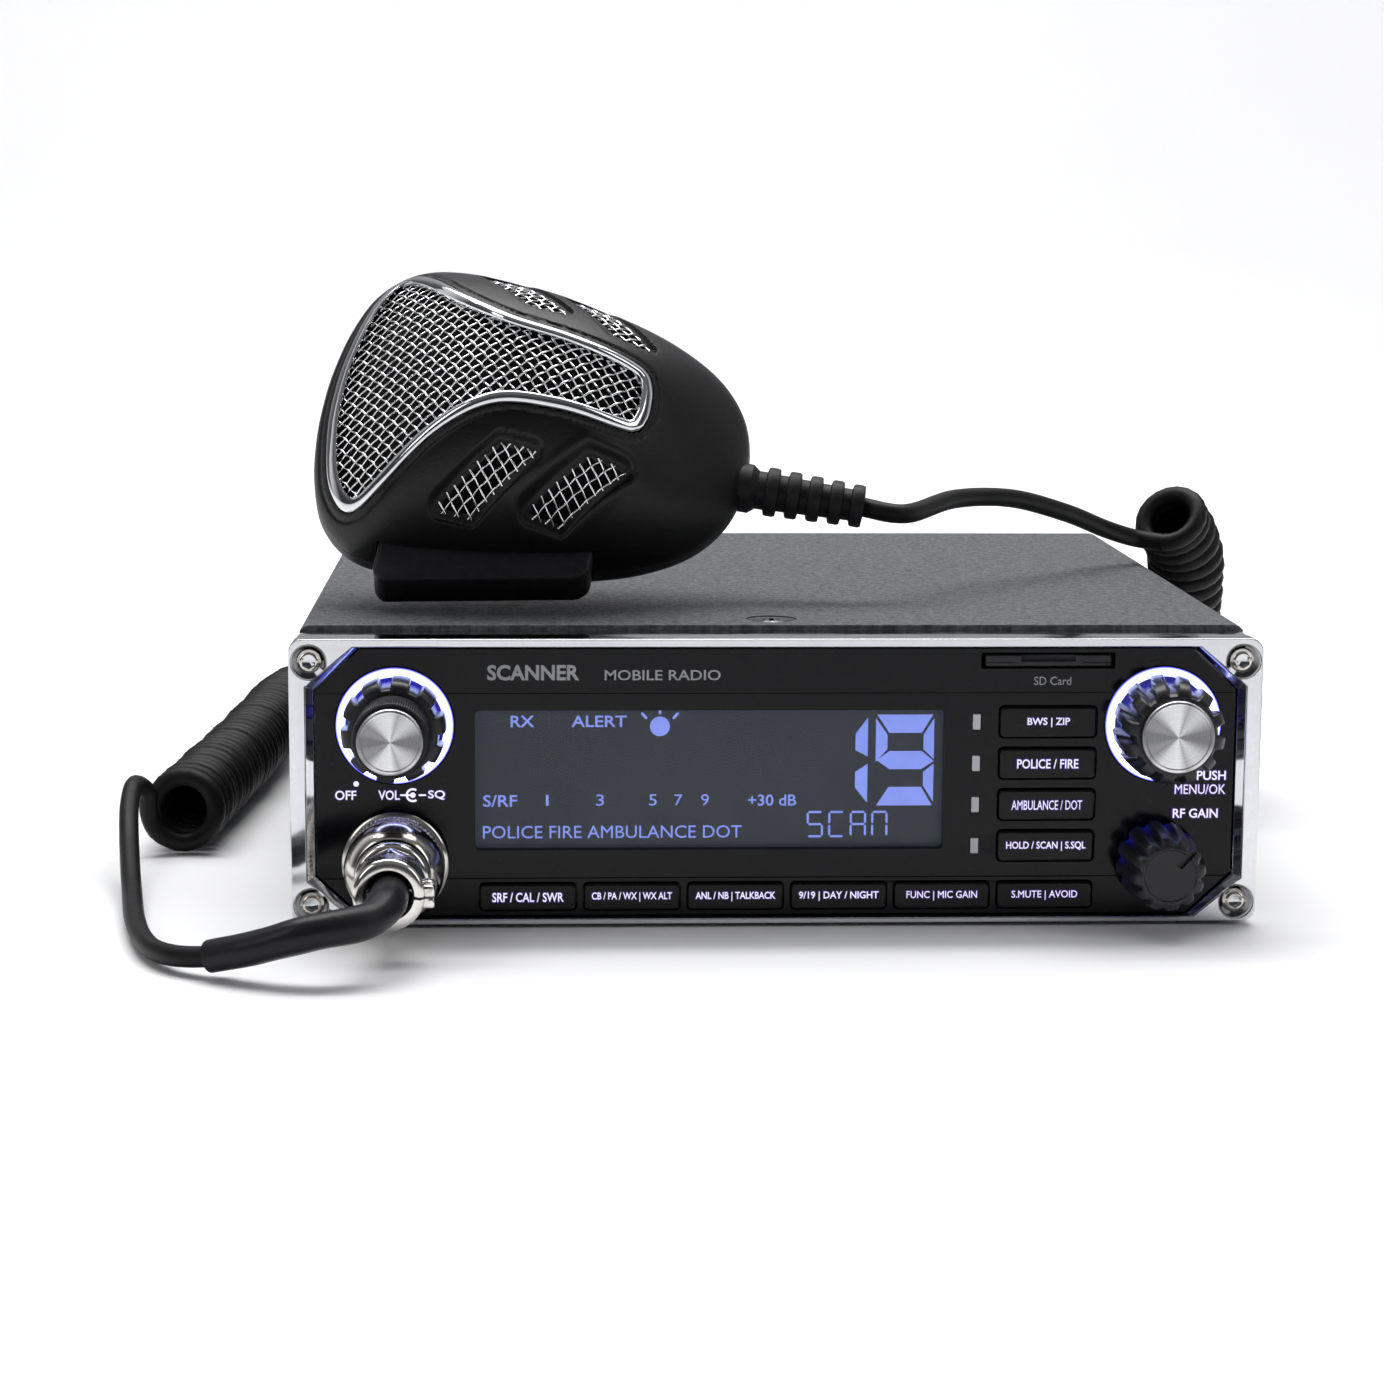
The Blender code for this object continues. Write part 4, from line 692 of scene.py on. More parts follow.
@dataclass(frozen=True)
class GlossPlastic:
    """Piano-black plastic with faint wipe marks and a few specks of dust."""

    name: str
    colour: tuple[float, float, float] = (0.0030, 0.0034, 0.0046)
    roughness: float = 0.10
    specular: float = 0.20

    def make(self) -> Material:
        """Build the material."""
        paper = Paper(self.name, self.colour, self.roughness, specular=self.specular)
        smudges = paper.smudged(32.0, 0.10, self.roughness)
        faint = paper.w.reckon("MULTIPLY", smudges["Dust"], 0.35)
        paper.set("Base Color", paper.w.blend(faint, opaque(self.colour), (0.05, 0.05, 0.055, 1.0)))
        paper.bump(paper.w.noise(paper.where, 260.0, 1.0), 0.05, 0.0003)
        return paper.material


@dataclass(frozen=True)
class PlatedMetal:
    """Bright plating over a polished casting, with soft ripples and wipe marks."""

    name: str
    colour: tuple[float, float, float] = (0.78, 0.79, 0.82)
    roughness: float = 0.06
    ripple: float = 0.08
    stain: float = 0.10

    def make(self) -> Material:
        """Build the material."""
        paper = Paper(self.name, self.colour, self.roughness, 1.0)
        smudges = paper.smudged(60.0, self.stain, self.roughness)
        wear = paper.group("edge_wear", amount=0.5, scale=900.0)
        shade = paper.w.blend(smudges["Dust"], opaque(self.colour), opaque(self.colour, 0.72))
        paper.set("Base Color", paper.w.blend(wear["Mask"], shade, (0.92, 0.92, 0.92, 1.0)))
        paper.bump(paper.w.noise(paper.where, 180.0, 2.0), self.ripple, 0.0004)
        return paper.material


@dataclass(frozen=True)
class SpunMetal:
    """Aluminium turned on a lathe: fine rings that spread each light into a fanned streak, with bright and dark
    sectors by angle painted into its colour as a painted reflection.
    """

    name: str
    x: float
    z: float
    colour: tuple[float, float, float] = (0.82, 0.82, 0.83)
    painted_fan_darkest: float = 0.75

    def make(self) -> Material:
        """Build the material."""
        paper = Paper(self.name, self.colour, 0.24, 1.0)
        centred = paper.centred(self.x, self.z)
        marks = paper.group("turning_marks", centred, scale=9000.0, lobes=1.0)
        finer_painted_lobes = paper.group("turning_marks", centred, scale=9000.0, lobes=2.5)
        shade = paper.w.spread(marks["Rings"], 0.3, 0.7, 0.0, 0.55)
        ringed = paper.w.blend(shade, opaque(self.colour), opaque(self.colour, 0.62))
        # Painted reflection: bright and dark sectors by angle are painted into the base colour, standing in for the
        # lights' fanned reflection.
        painted_sectors = paper.w.reckon("MULTIPLY", marks["Sweep"], paper.w.spread(finer_painted_lobes["Sweep"], 0.0, 1.0, 0.35, 1.0))
        painted_fan_shade = paper.w.spread(painted_sectors, 0.15, 0.75, self.painted_fan_darkest, 0.0)
        paper.set("Base Color", paper.w.blend(painted_fan_shade, ringed, (0.10, 0.10, 0.11, 1.0)))
        paper.set("Roughness", paper.w.spread(marks["Rings"], 0.3, 0.7, 0.20, 0.34))
        paper.set("Anisotropic", 0.85)
        tangent = paper.w.add("ShaderNodeTangent", direction_type="RADIAL", axis="Y")
        paper.set("Tangent", tangent.outputs[0])
        paper.bump(marks["Rings"], 0.12, 0.00004)
        return paper.material


@dataclass(frozen=True)
class PowderPaint:
    """Dark blue-grey powder paint with bright flakes."""

    name: str
    colour: tuple[float, float, float] = (0.013, 0.0145, 0.017)
    flake: tuple[float, float, float] = (0.055, 0.060, 0.066)

    def make(self) -> Material:
        """Build the material."""
        paper = Paper(self.name, self.colour, 0.5, specular=0.30)
        flakes = paper.group("paint_flakes", scale=2300.0)
        paper.smudged(18.0, 0.10, paper.w.spread(flakes["Bright"], 0.0, 1.0, 0.62, 0.42))
        wear = paper.group("edge_wear", amount=0.5)
        toned = paper.w.blend(flakes["Bright"], opaque(self.colour), opaque(self.flake))
        paper.set("Base Color", paper.w.blend(wear["Mask"], toned, (0.22, 0.23, 0.24, 1.0)))
        paper.bump(flakes["Pebbles"], 0.35, 0.00012)
        return paper.material


@dataclass(frozen=True)
class CordJacket:
    """Soft black jacket with a faint bloom, from handling and from the mould."""

    name: str
    colour: tuple[float, float, float] = (0.0045, 0.0045, 0.0052)
    roughness: float = 0.44
    creases: float = 0.12

    def make(self) -> Material:
        """Build the material."""
        paper = Paper(self.name, self.colour, self.roughness, specular=0.18)
        grain = paper.group("mould_grain", scale=1500.0)
        smudges = paper.smudged(90.0, 0.14, self.roughness)
        bloom = paper.w.reckon("MULTIPLY", smudges["Dullness"], 1.6)
        paper.set("Base Color", paper.w.blend(bloom, opaque(self.colour), (0.018, 0.0185, 0.021, 1.0)))
        folds = paper.w.noise(paper.where, 320.0, 3.0)
        height = paper.w.reckon("ADD", folds, paper.w.reckon("MULTIPLY", grain["Height"], 0.2))
        paper.bump(height, self.creases, 0.0004)
        return paper.material


@dataclass(frozen=True)
class Glow:
    """Lit ink, segment or light guide, or a painted glow of spilled light, a little uneven in brightness."""

    name: str
    colour: tuple[float, float, float]
    strength: float = 1.0
    uneven: float = 0.15

    def make(self) -> Material:
        """Build the material."""
        paper = Paper(self.name, tuple(0.2 * value for value in self.colour), 0.4)
        cloud = paper.w.noise(paper.where, 220.0, 2.0)
        share = paper.w.spread(cloud, 0.35, 0.65, 0.0, 1.0)
        dim = opaque(self.colour, 1.0 - self.uneven)
        paper.set("Emission Color", paper.w.blend(share, opaque(self.colour), dim))
        paper.set("Emission Strength", self.strength)
        return paper.material


@dataclass(frozen=True)
class RingLight:
    """Light guide round a knob: blue at both rims and almost white between them."""

    name: str
    spots: tuple[Point2, Point2]
    inner: float
    outer: float
    strength: float = 4.4

    def make(self) -> Material:
        """Build the material."""
        paper = Paper(self.name, (0.3, 0.35, 0.8), 0.3)
        radius = paper.w.reckon("MINIMUM", *(paper.w.from_axis(paper.centred(*spot))[1] for spot in self.spots))
        rim = 0.5 * MM
        inside = paper.w.spread(radius, self.inner - rim, self.inner + rim, 0.0, 1.0)
        outside = paper.w.spread(radius, self.outer - 1.4 * rim, self.outer, 1.0, 0.0)
        core = paper.w.reckon("MULTIPLY", inside, outside)
        blue, white = (0.030, 0.022, 0.95, 1.0), (0.62, 0.70, 1.0, 1.0)
        paper.set("Emission Color", paper.w.blend(core, blue, white))
        normal = paper.w.add("ShaderNodeNewGeometry").outputs["Normal"]
        forward = paper.w.add("ShaderNodeSeparateXYZ", {"Vector": normal}).outputs["Y"]
        paper.set("Emission Strength", paper.w.spread(forward, -0.90, -0.30, self.strength, 0.0))
        return paper.material


@dataclass(frozen=True)
class PaintedGlowKnobPlastic:
    """Knob plastic with the light ring's blue flood painted on as a glow near the panel, strongest in its valleys and
    on its upper side.
    """

    name: str
    spot: Point2
    valley: float
    reach: float
    strength: float = 0.8

    def make(self) -> Material:
        """Build the material."""
        plain = (0.013, 0.013, 0.015)
        paper = Paper(self.name, plain, 0.36, specular=0.4)
        grain = paper.group("mould_grain", scale=2800.0)
        wear = paper.group("edge_wear", amount=0.3)
        paper.set("Base Color", paper.w.blend(wear["Mask"], opaque(plain), (0.06, 0.06, 0.07, 1.0)))
        # Painted light: blue emission on the knob plastic, strongest in its valleys, near the panel and on its upper
        # side, stands in for the ring's light.
        at, radius = paper.w.from_axis(paper.centred(*self.spot))
        low = paper.w.spread(radius, self.valley - 0.1 * MM, self.valley + 0.6 * MM, 1.0, 0.06)
        above = paper.w.reckon("POWER", paper.w.spread(at["Y"], FRONT - self.reach, FRONT, 0.0, 1.0), 2.0)
        upper = paper.w.spread(at["Z"], -0.004, 0.005, 0.25, 1.0)
        share = paper.w.reckon("MULTIPLY", paper.w.reckon("MULTIPLY", low, above), upper)
        glow = paper.w.blend(share, (0.0, 0.0, 0.0, 1.0), (0.022, 0.018, 0.85, 1.0))
        paper.set("Emission Color", glow)
        paper.set("Emission Strength", self.strength)
        paper.bump(grain["Height"], 0.2, 0.00006)
        return paper.material


@dataclass(frozen=True)
class DisplayGlass:
    """Clear window with a faint tint and wipe marks."""

    name: str

    def make(self) -> Material:
        """Build the material."""
        paper = Paper(self.name, (0.010, 0.012, 0.016), 0.03)
        paper.smudged(36.0, 0.05, 0.03)
        paper.set("Alpha", 0.10)
        return paper.material


@dataclass(frozen=True)
class DisplayFace:
    """Backlit dark slate of the liquid crystal, brighter towards its middle."""

    name: str
    centre: Point2
    colour: tuple[float, float, float] = (0.021, 0.026, 0.036)

    def make(self) -> Material:
        """Build the material."""
        paper = Paper(self.name, (0.006, 0.007, 0.009), 0.35)
        at = paper.w.add("ShaderNodeSeparateXYZ", {"Vector": paper.centred(*self.centre)}).outputs
        away = paper.w.reckon("MULTIPLY", at["X"], at["X"])
        falloff = paper.w.spread(away, 0.0, 0.0024, 1.0, 0.72)
        cloud = paper.w.spread(paper.w.noise(paper.where, 70.0, 2.0), 0.3, 0.7, 0.92, 1.06)
        share = paper.w.reckon("MULTIPLY", falloff, cloud)
        paper.set("Emission Color", paper.w.blend(share, opaque(self.colour, 0.55), opaque(self.colour)))
        paper.set("Emission Strength", 1.0)
        return paper.material


@dataclass(frozen=True)
class MicShellPlastic:
    """The microphone's grained black plastic, darker where foam shows in its openings."""

    name: str

    def make(self) -> Material:
        """Build the material."""
        paper = Paper(self.name, (0.003, 0.003, 0.0035), 0.36, specular=0.28)
        grain = paper.group("mould_grain", scale=1900.0)
        smudges = paper.group("handling_smudges", scale=45.0, amount=0.10)
        well = paper.w.add("ShaderNodeAttribute", attribute_name="opening").outputs["Fac"]
        toned = paper.w.blend(grain["Tone"], (0.0022, 0.0022, 0.0026, 1.0), (0.0055, 0.0055, 0.0065, 1.0))
        paper.set("Base Color", paper.w.blend(well, toned, (0.003, 0.003, 0.0035, 1.0)))
        rough = paper.w.reckon("ADD", smudges["Dullness"], 0.32)
        paper.set("Roughness", paper.w.reckon("MAXIMUM", rough, well))
        paper.bump(grain["Height"], 0.5, 0.00010)
        return paper.material


@dataclass(frozen=True)
class CircuitBoard:
    """Green solder mask with copper tracks under it."""

    name: str

    def make(self) -> Material:
        """Build the material."""
        paper = Paper(self.name, (0.02, 0.13, 0.05), 0.38)
        cells = paper.w.add("ShaderNodeTexVoronoi", {"Vector": paper.where, "Scale": 420.0}, distance="CHEBYCHEV")
        tracks = paper.w.spread(cells.outputs["Distance"], 0.28, 0.34, 0.0, 1.0)
        shade = paper.w.blend(tracks, (0.03, 0.20, 0.08, 1.0), (0.012, 0.085, 0.035, 1.0))
        paper.set("Base Color", shade)
        paper.bump(tracks, 0.3, 0.00006)
        return paper.material


class Metals(Enum):
    """The bright metals on the radio and its plug."""

    CHROME = PlatedMetal("chrome_plate", (0.66, 0.67, 0.70))
    NICKEL = PlatedMetal("nickel_plate", (0.70, 0.67, 0.62), 0.14, 0.10, 0.14)
    STEEL = PlatedMetal("zinc_plated_steel", (0.60, 0.60, 0.62), 0.28, 0.20, 0.15)
    SCREW = PlatedMetal("screw_steel", (0.66, 0.63, 0.57), 0.16, 0.14, 0.16)
    WIRE = PlatedMetal("grille_wire", (0.86, 0.86, 0.87), 0.14, 0.04, 0.06)
    ANODISED = PlatedMetal("black_anodised", (0.045, 0.045, 0.050), 0.38, 0.30, 0.12)


class Plastics(Enum):
    """The dull plastics and rubbers."""

    SATIN = MouldedPlastic("satin_black")
    KNOB = MouldedPlastic("knob_black", (0.005, 0.005, 0.006), 0.36, 0.15)
    BAR = MouldedPlastic("talk_bar_black", (0.008, 0.008, 0.0095), 0.36, 0.5, 1900.0)
    RUBBER = MouldedPlastic("soft_rubber", (0.005, 0.005, 0.006), 0.50, 0.3, 1500.0, 0.1)
    CARD = MouldedPlastic("card_plastic", (0.020, 0.020, 0.022), 0.45, 0.2)
    NYLON = MouldedPlastic("white_nylon", (0.62, 0.62, 0.60), 0.45, 0.2, 1800.0, 0.0)
    LENS = MouldedPlastic("lamp_lens", (0.46, 0.47, 0.50), 0.30, 0.35, 2600.0, 0.0)
    PAPER_CONE = MouldedPlastic("speaker_cone", (0.02, 0.02, 0.02), 0.8, 0.6, 900.0, 0.0)


# ---------------------------------------------------------------- pieces


MADE: dict[object, Material] = {}


def dress(finish: object) -> Material:
    """Build a finish's material once and give it each time.

    Args:
        finish: One of the finish classes, or a member of Metals or Plastics.

    Returns:
        Its material.
    """
    if finish not in MADE:
        source = finish.value if isinstance(finish, Enum) else finish
        MADE[finish] = source.make()
    return MADE[finish]


def show(
    name: str, mesh: Mesh, body: str, finish: object = None, stands_for: Sequence[str] = ()
) -> Object:
    """Put a finished piece in the scene on its body.

    Args:
        name: The piece's name.
        mesh: Its mesh, in place.
        body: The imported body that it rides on, or nothing for a piece that bends between two.
        finish: Its finish, unless the mesh wears its materials already.
        stands_for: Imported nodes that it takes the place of.

    Returns:
        The piece.
    """
    mesh.name = name
    if finish is not None:
        mesh.materials.clear()
        mesh.materials.append(dress(finish))
    obj = helper(name, mesh)
    if body:
        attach(obj, body)
    if stands_for:
        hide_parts(*stands_for)
    LOG.info("%s: %d faces on %s", name, len(mesh.polygons), body or "two bodies")
    return obj


def refinish(node: str, finish: object) -> None:
    """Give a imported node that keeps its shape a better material."""
    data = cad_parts[node].data
    data.materials.clear()
    data.materials.append(dress(finish))
    LOG.info("%s: refinished", node)


def geometry_tree(name: str, inputs: dict[str, tuple[str, object]]) -> tuple[NodeTree, Wiring, Node]:
    """Start a Geometry Nodes tree.

    Args:
        name: The tree's name.
        inputs: Socket type and usual value of each named input, besides Geometry.

    Returns:
        The tree, its wiring and its input node.
    """
    tree = bpy.data.node_groups.new(name, "GeometryNodeTree")
    tree.interface.new_socket("Geometry", in_out="INPUT", socket_type="NodeSocketGeometry")
    for key, (kind, value) in inputs.items():
        socket = tree.interface.new_socket(key, in_out="INPUT", socket_type=kind)
        if value is not None:
            socket.default_value = value
    tree.interface.new_socket("Geometry", in_out="OUTPUT", socket_type="NodeSocketGeometry")
    wiring = Wiring(tree)
    return tree, wiring, wiring.add("NodeGroupInput")


def grown_by(tree: NodeTree, base: Mesh, values: dict[str, object]) -> Mesh:
    """Run a Geometry Nodes tree on a mesh.

    Args:
        tree: The tree.
        base: The mesh that it starts from.
        values: Values for its named inputs.

    Returns:
        The plain mesh that it makes.
    """
    obj = helper(base.name, base)
    modifier = obj.modifiers.new("grow", "NODES")
    modifier.node_group = tree
    for item in tree.interface.items_tree:
        if item.in_out == "INPUT" and item.name in values:
            modifier[item.identifier] = values[item.name]
    return baked(obj)


def finish_tree(w: Wiring, geometry: NodeSocket, material: NodeSocket) -> None:
    """End a Geometry Nodes tree with Realize Instances and Set Material."""
    real = w.add("GeometryNodeRealizeInstances", {"Geometry": geometry})
    worn = w.add("GeometryNodeSetMaterial", {"Geometry": real.outputs[0], "Material": material})
    w.add("NodeGroupOutput", {"Geometry": worn.outputs[0]})


def wire_tree() -> NodeTree:
    """Give the tree that turns the edges of a mesh into round wires, built once."""
    if "round_wires" in bpy.data.node_groups:
        return bpy.data.node_groups["round_wires"]
    tree, w, given = geometry_tree("round_wires", {
        "Radius": ("NodeSocketFloat", 0.0003),
        "Sides": ("NodeSocketInt", 6),
        "Material": ("NodeSocketMaterial", None),
    })
    lines = w.add("GeometryNodeMeshToCurve", {"Mesh": given.outputs["Geometry"]})
    ring = w.add(
        "GeometryNodeCurvePrimitiveCircle",
        {"Resolution": given.outputs["Sides"], "Radius": given.outputs["Radius"]},
    )
    wires = w.add(
        "GeometryNodeCurveToMesh",
        {"Curve": lines.outputs[0], "Profile Curve": ring.outputs[0], "Fill Caps": True},
    )
    finish_tree(w, wires.outputs[0], given.outputs["Material"])
    return tree


def copies_tree() -> NodeTree:
    """Give the tree that puts a copy of an object on every point, turned to the point's normal, built once."""
    if "copies_on_points" in bpy.data.node_groups:
        return bpy.data.node_groups["copies_on_points"]
    tree, w, given = geometry_tree("copies_on_points", {
        "Pattern": ("NodeSocketObject", None),
        "Scale": ("NodeSocketFloat", 1.0),
        "Material": ("NodeSocketMaterial", None),
    })
    pattern = w.add("GeometryNodeObjectInfo", {"Object": given.outputs["Pattern"]})
    facing = w.add("GeometryNodeInputNamedAttribute", {"Name": "facing"}, data_type="FLOAT_VECTOR")
    turn = w.add("FunctionNodeAlignRotationToVector", {"Vector": facing.outputs[0]}, axis="Z")
    placed = w.add("GeometryNodeInstanceOnPoints", {
        "Points": given.outputs["Geometry"],
        "Instance": pattern.outputs["Geometry"],
        "Rotation": turn.outputs[0],
        "Scale": given.outputs["Scale"],
    })
    finish_tree(w, placed.outputs[0], given.outputs["Material"])
    return tree


def copies(
    name: str, pattern: Mesh, places: Sequence[Vector], facings: Sequence[Vector], finish: object
) -> Mesh:
    """Put a copy of a pattern at each place, its local Z turned to a direction.

    Args:
        name: The joined mesh's name.
        pattern: The mesh to repeat, which is used up.
        places: Where the copies go.
        facings: Where each copy's local Z points.
        finish: What they wear.

    Returns:
        One mesh with all the copies.
    """
    points = bpy.data.meshes.new(name)
    points.from_pydata([tuple(place) for place in places], [], [])
    directions = points.attributes.new("facing", "FLOAT_VECTOR", "POINT")
    directions.data.foreach_set("vector", [value for facing in facings for value in facing])
    original = helper(name + "_pattern", pattern)
    mesh = grown_by(copies_tree(), points, {"Pattern": original, "Material": dress(finish)})
    bpy.data.objects.remove(original)
    return mesh


# ---------------------------------------------------------------- lettering


LETTER_THICKNESS = 0.05 * MM


def lettering(words: str, centre: Point2, size: Point2, depth: float, bold: float = 0.012) -> Mesh:
    """Make words that stand a hair proud of a face.

    Args:
        words: What they say.
        centre: X and Z of their middle, Z from the ground.
        size: Their width and height.
        depth: Depth of their face behind the bezel's front plane.
        bold: How much the strokes are thickened.

    Returns:
        The words as a mesh.
    """
    curve = bpy.data.curves.new(words, "FONT")
    curve.body = words
    curve.resolution_u = 3
    curve.offset = bold
    curve.extrude = 0.02
    mesh = baked(helper("lettering", curve))
    spread = np.array([vertex.co[:] for vertex in mesh.vertices])
    low, high = spread.min(0), spread.max(0)
    scale = (size[0] / (high[0] - low[0]), size[1] / (high[1] - low[1]))
    middle = (low + high) / 2
    for vertex in mesh.vertices:
        x, y, z = vertex.co
        vertex.co = (
            centre[0] + (x - middle[0]) * scale[0],
            FRONT + depth - z / 0.02 * LETTER_THICKNESS / 2,
            centre[1] + (y - middle[1]) * scale[1],
        )
    shape = bmesh.new()
    shape.from_mesh(mesh)
    bmesh.ops.recalc_face_normals(shape, faces=shape.faces)
    return to_mesh("lettering", shape)


def inlay(outline: Outline, depth: float) -> Mesh:
    """Make a flat filled shape that stands a hair proud of a face."""
    return slab("inlay", [outline], depth - LETTER_THICKNESS, depth)


def stroke(start: Point2, end: Point2, width: float) -> Outline:
    """Give the outline of a straight bar with pointed ends."""
    a, b = Vector(start), Vector(end)
    along = (b - a).normalized()
    side = Vector((-along.y, along.x)) * width / 2
    tip = along * width / 2
    corners = [a - tip + side * 0.0, a + side, b + side, b + tip, b - side, a - side]
    return [tuple(corner) for corner in corners]


# ---------------------------------------------------------------- studio


@dataclass
class Studio:
    """A pale floor, soft lights and the camera."""

    camera_place: tuple[float, float, float] = (-0.0441, -0.6804, 0.1390)
    turned_right: float = 2.70
    tipped_down: float = 9.07
    rolled: float = 0.34
    lens: float = 81.53

    def set_camera(self) -> None:
        """Put the camera where the object is seen from."""
        yaw, pitch, roll = (math.radians(v) for v in (self.turned_right, self.tipped_down, self.rolled))
        ahead = Vector((math.sin(yaw) * math.cos(pitch), math.cos(yaw) * math.cos(pitch), -math.sin(pitch)))
        right = Vector((math.cos(yaw), -math.sin(yaw), 0.0))
        up = right.cross(ahead)
        across = math.cos(roll) * right + math.sin(roll) * up
        upward = -math.sin(roll) * right + math.cos(roll) * up
        data = bpy.data.cameras.new("camera")
        data.lens = self.lens
        data.sensor_width = 36.0
        data.clip_start = 0.01
        data.clip_end = 50.0
        camera = helper("camera", data)
        turn = Matrix((across, upward, -ahead)).transposed()
        camera.matrix_world = Matrix.Translation(self.camera_place) @ turn.to_4x4()
        bpy.context.scene.camera = camera

    def lay_floor(self) -> None:
        """Lay the floor, which curves up into a wall that shows only dimly in reflections."""
        bend, wall = 1.2, 3.5
        side = [(-2.5, 0.0), (2.0, 0.0)]
        for step in range(1, 17):
            angle = math.pi / 2 * step / 16
            side.append((2.0 + bend * math.sin(angle), bend * (1.0 - math.cos(angle))))
        side.append((2.0 + bend, wall))
        shape = bmesh.new()
        rows = [[shape.verts.new((x, y, z)) for y, z in side] for x in (-5.0, 5.0)]
        for index in range(len(side) - 1):
            shape.faces.new((rows[0][index], rows[1][index], rows[1][index + 1], rows[0][index + 1]))
        floor = helper("floor", to_mesh("floor", shape))
        floor.data.shade_smooth()
        paper = Paper("pale_floor", (0.86, 0.86, 0.87), 0.75)
        cloud = paper.w.noise(paper.where, 3.0, 2.0)
        pale = paper.w.blend(cloud, (0.85, 0.85, 0.86, 1.0), (0.89, 0.89, 0.90, 1.0))
        height = paper.w.add("ShaderNodeSeparateXYZ", {"Vector": paper.where}).outputs["Z"]
        mirrored = paper.w.add("ShaderNodeLightPath").outputs["Is Glossy Ray"]
        dimmed = paper.w.reckon("MULTIPLY", paper.w.spread(height, 0.02, 0.35, 0.0, 1.0), mirrored)
        paper.set("Base Color", paper.w.blend(dimmed, pale, (0.30, 0.30, 0.31, 1.0)))
        paper.set("Specular IOR Level", 0.1)
        floor.data.materials.append(paper.material)
        floor.location.z = -0.0002

    def add_light(
        self, name: str, place: Sequence[float], size: Point2, power: float,
        towards: Sequence[float] = (0.0, 0.0, 0.04),
    ) -> None:
        """Hang a rectangular soft light.

        Args:
            name: Its name.
            place: Where it hangs.
            size: Its width and height.
            power: Its power in watts.
            towards: What it faces.
        """
        data = bpy.data.lights.new(name, "AREA")
        data.shape = "RECTANGLE"
        data.size, data.size_y = size
        data.energy = power
        light = helper(name, data)
        light.location = place
        light.rotation_euler = (Vector(towards) - Vector(place)).to_track_quat("-Z", "Y").to_euler()

    def set_sky(self) -> None:
        """Make the room: bright behind and above, darker in front of the radio."""
        world = bpy.data.worlds.new("room")
        world.use_nodes = True
        bpy.context.scene.world = world
        w = Wiring(world.node_tree)
        at = w.add("ShaderNodeSeparateXYZ", {"Vector": w.add("ShaderNodeTexCoord").outputs["Generated"]})
        back = w.spread(at.outputs["Y"], 0.10, 0.60, 0.0, 1.0)
        above = w.spread(at.outputs["Z"], 0.35, 0.85, 0.0, 0.12)
        share = w.reckon("MAXIMUM", back, above)
        colour = w.blend(share, (0.05, 0.052, 0.058, 1.0), (1.0, 1.0, 1.0, 1.0))
        w.feed(world.node_tree.nodes["Background"].inputs["Color"], colour)
        w.feed(world.node_tree.nodes["Background"].inputs["Strength"], 1.0)

    def build(self) -> None:
        """Set up the whole studio."""
        self.set_camera()
        self.lay_floor()
        self.set_sky()
        self.add_light("overhead", (0.0, 0.35, 1.2), (1.4, 1.0), 13.0)
        self.add_light("left_front", (-1.2, -0.7, 0.9), (0.4, 0.9), 3.0)
        self.add_light("right_front", (1.2, -0.6, 0.8), (0.4, 0.9), 2.4)
        self.add_light("wall_wash", (0.0, 1.0, 3.2), (4.0, 1.0), 120.0, (0.0, 3.2, 0.8))
        scene = bpy.context.scene
        scene.view_settings.view_transform = "Standard"
        scene.view_settings.look = "None"
        LOG.info("studio ready")


# ---------------------------------------------------------------- radio case


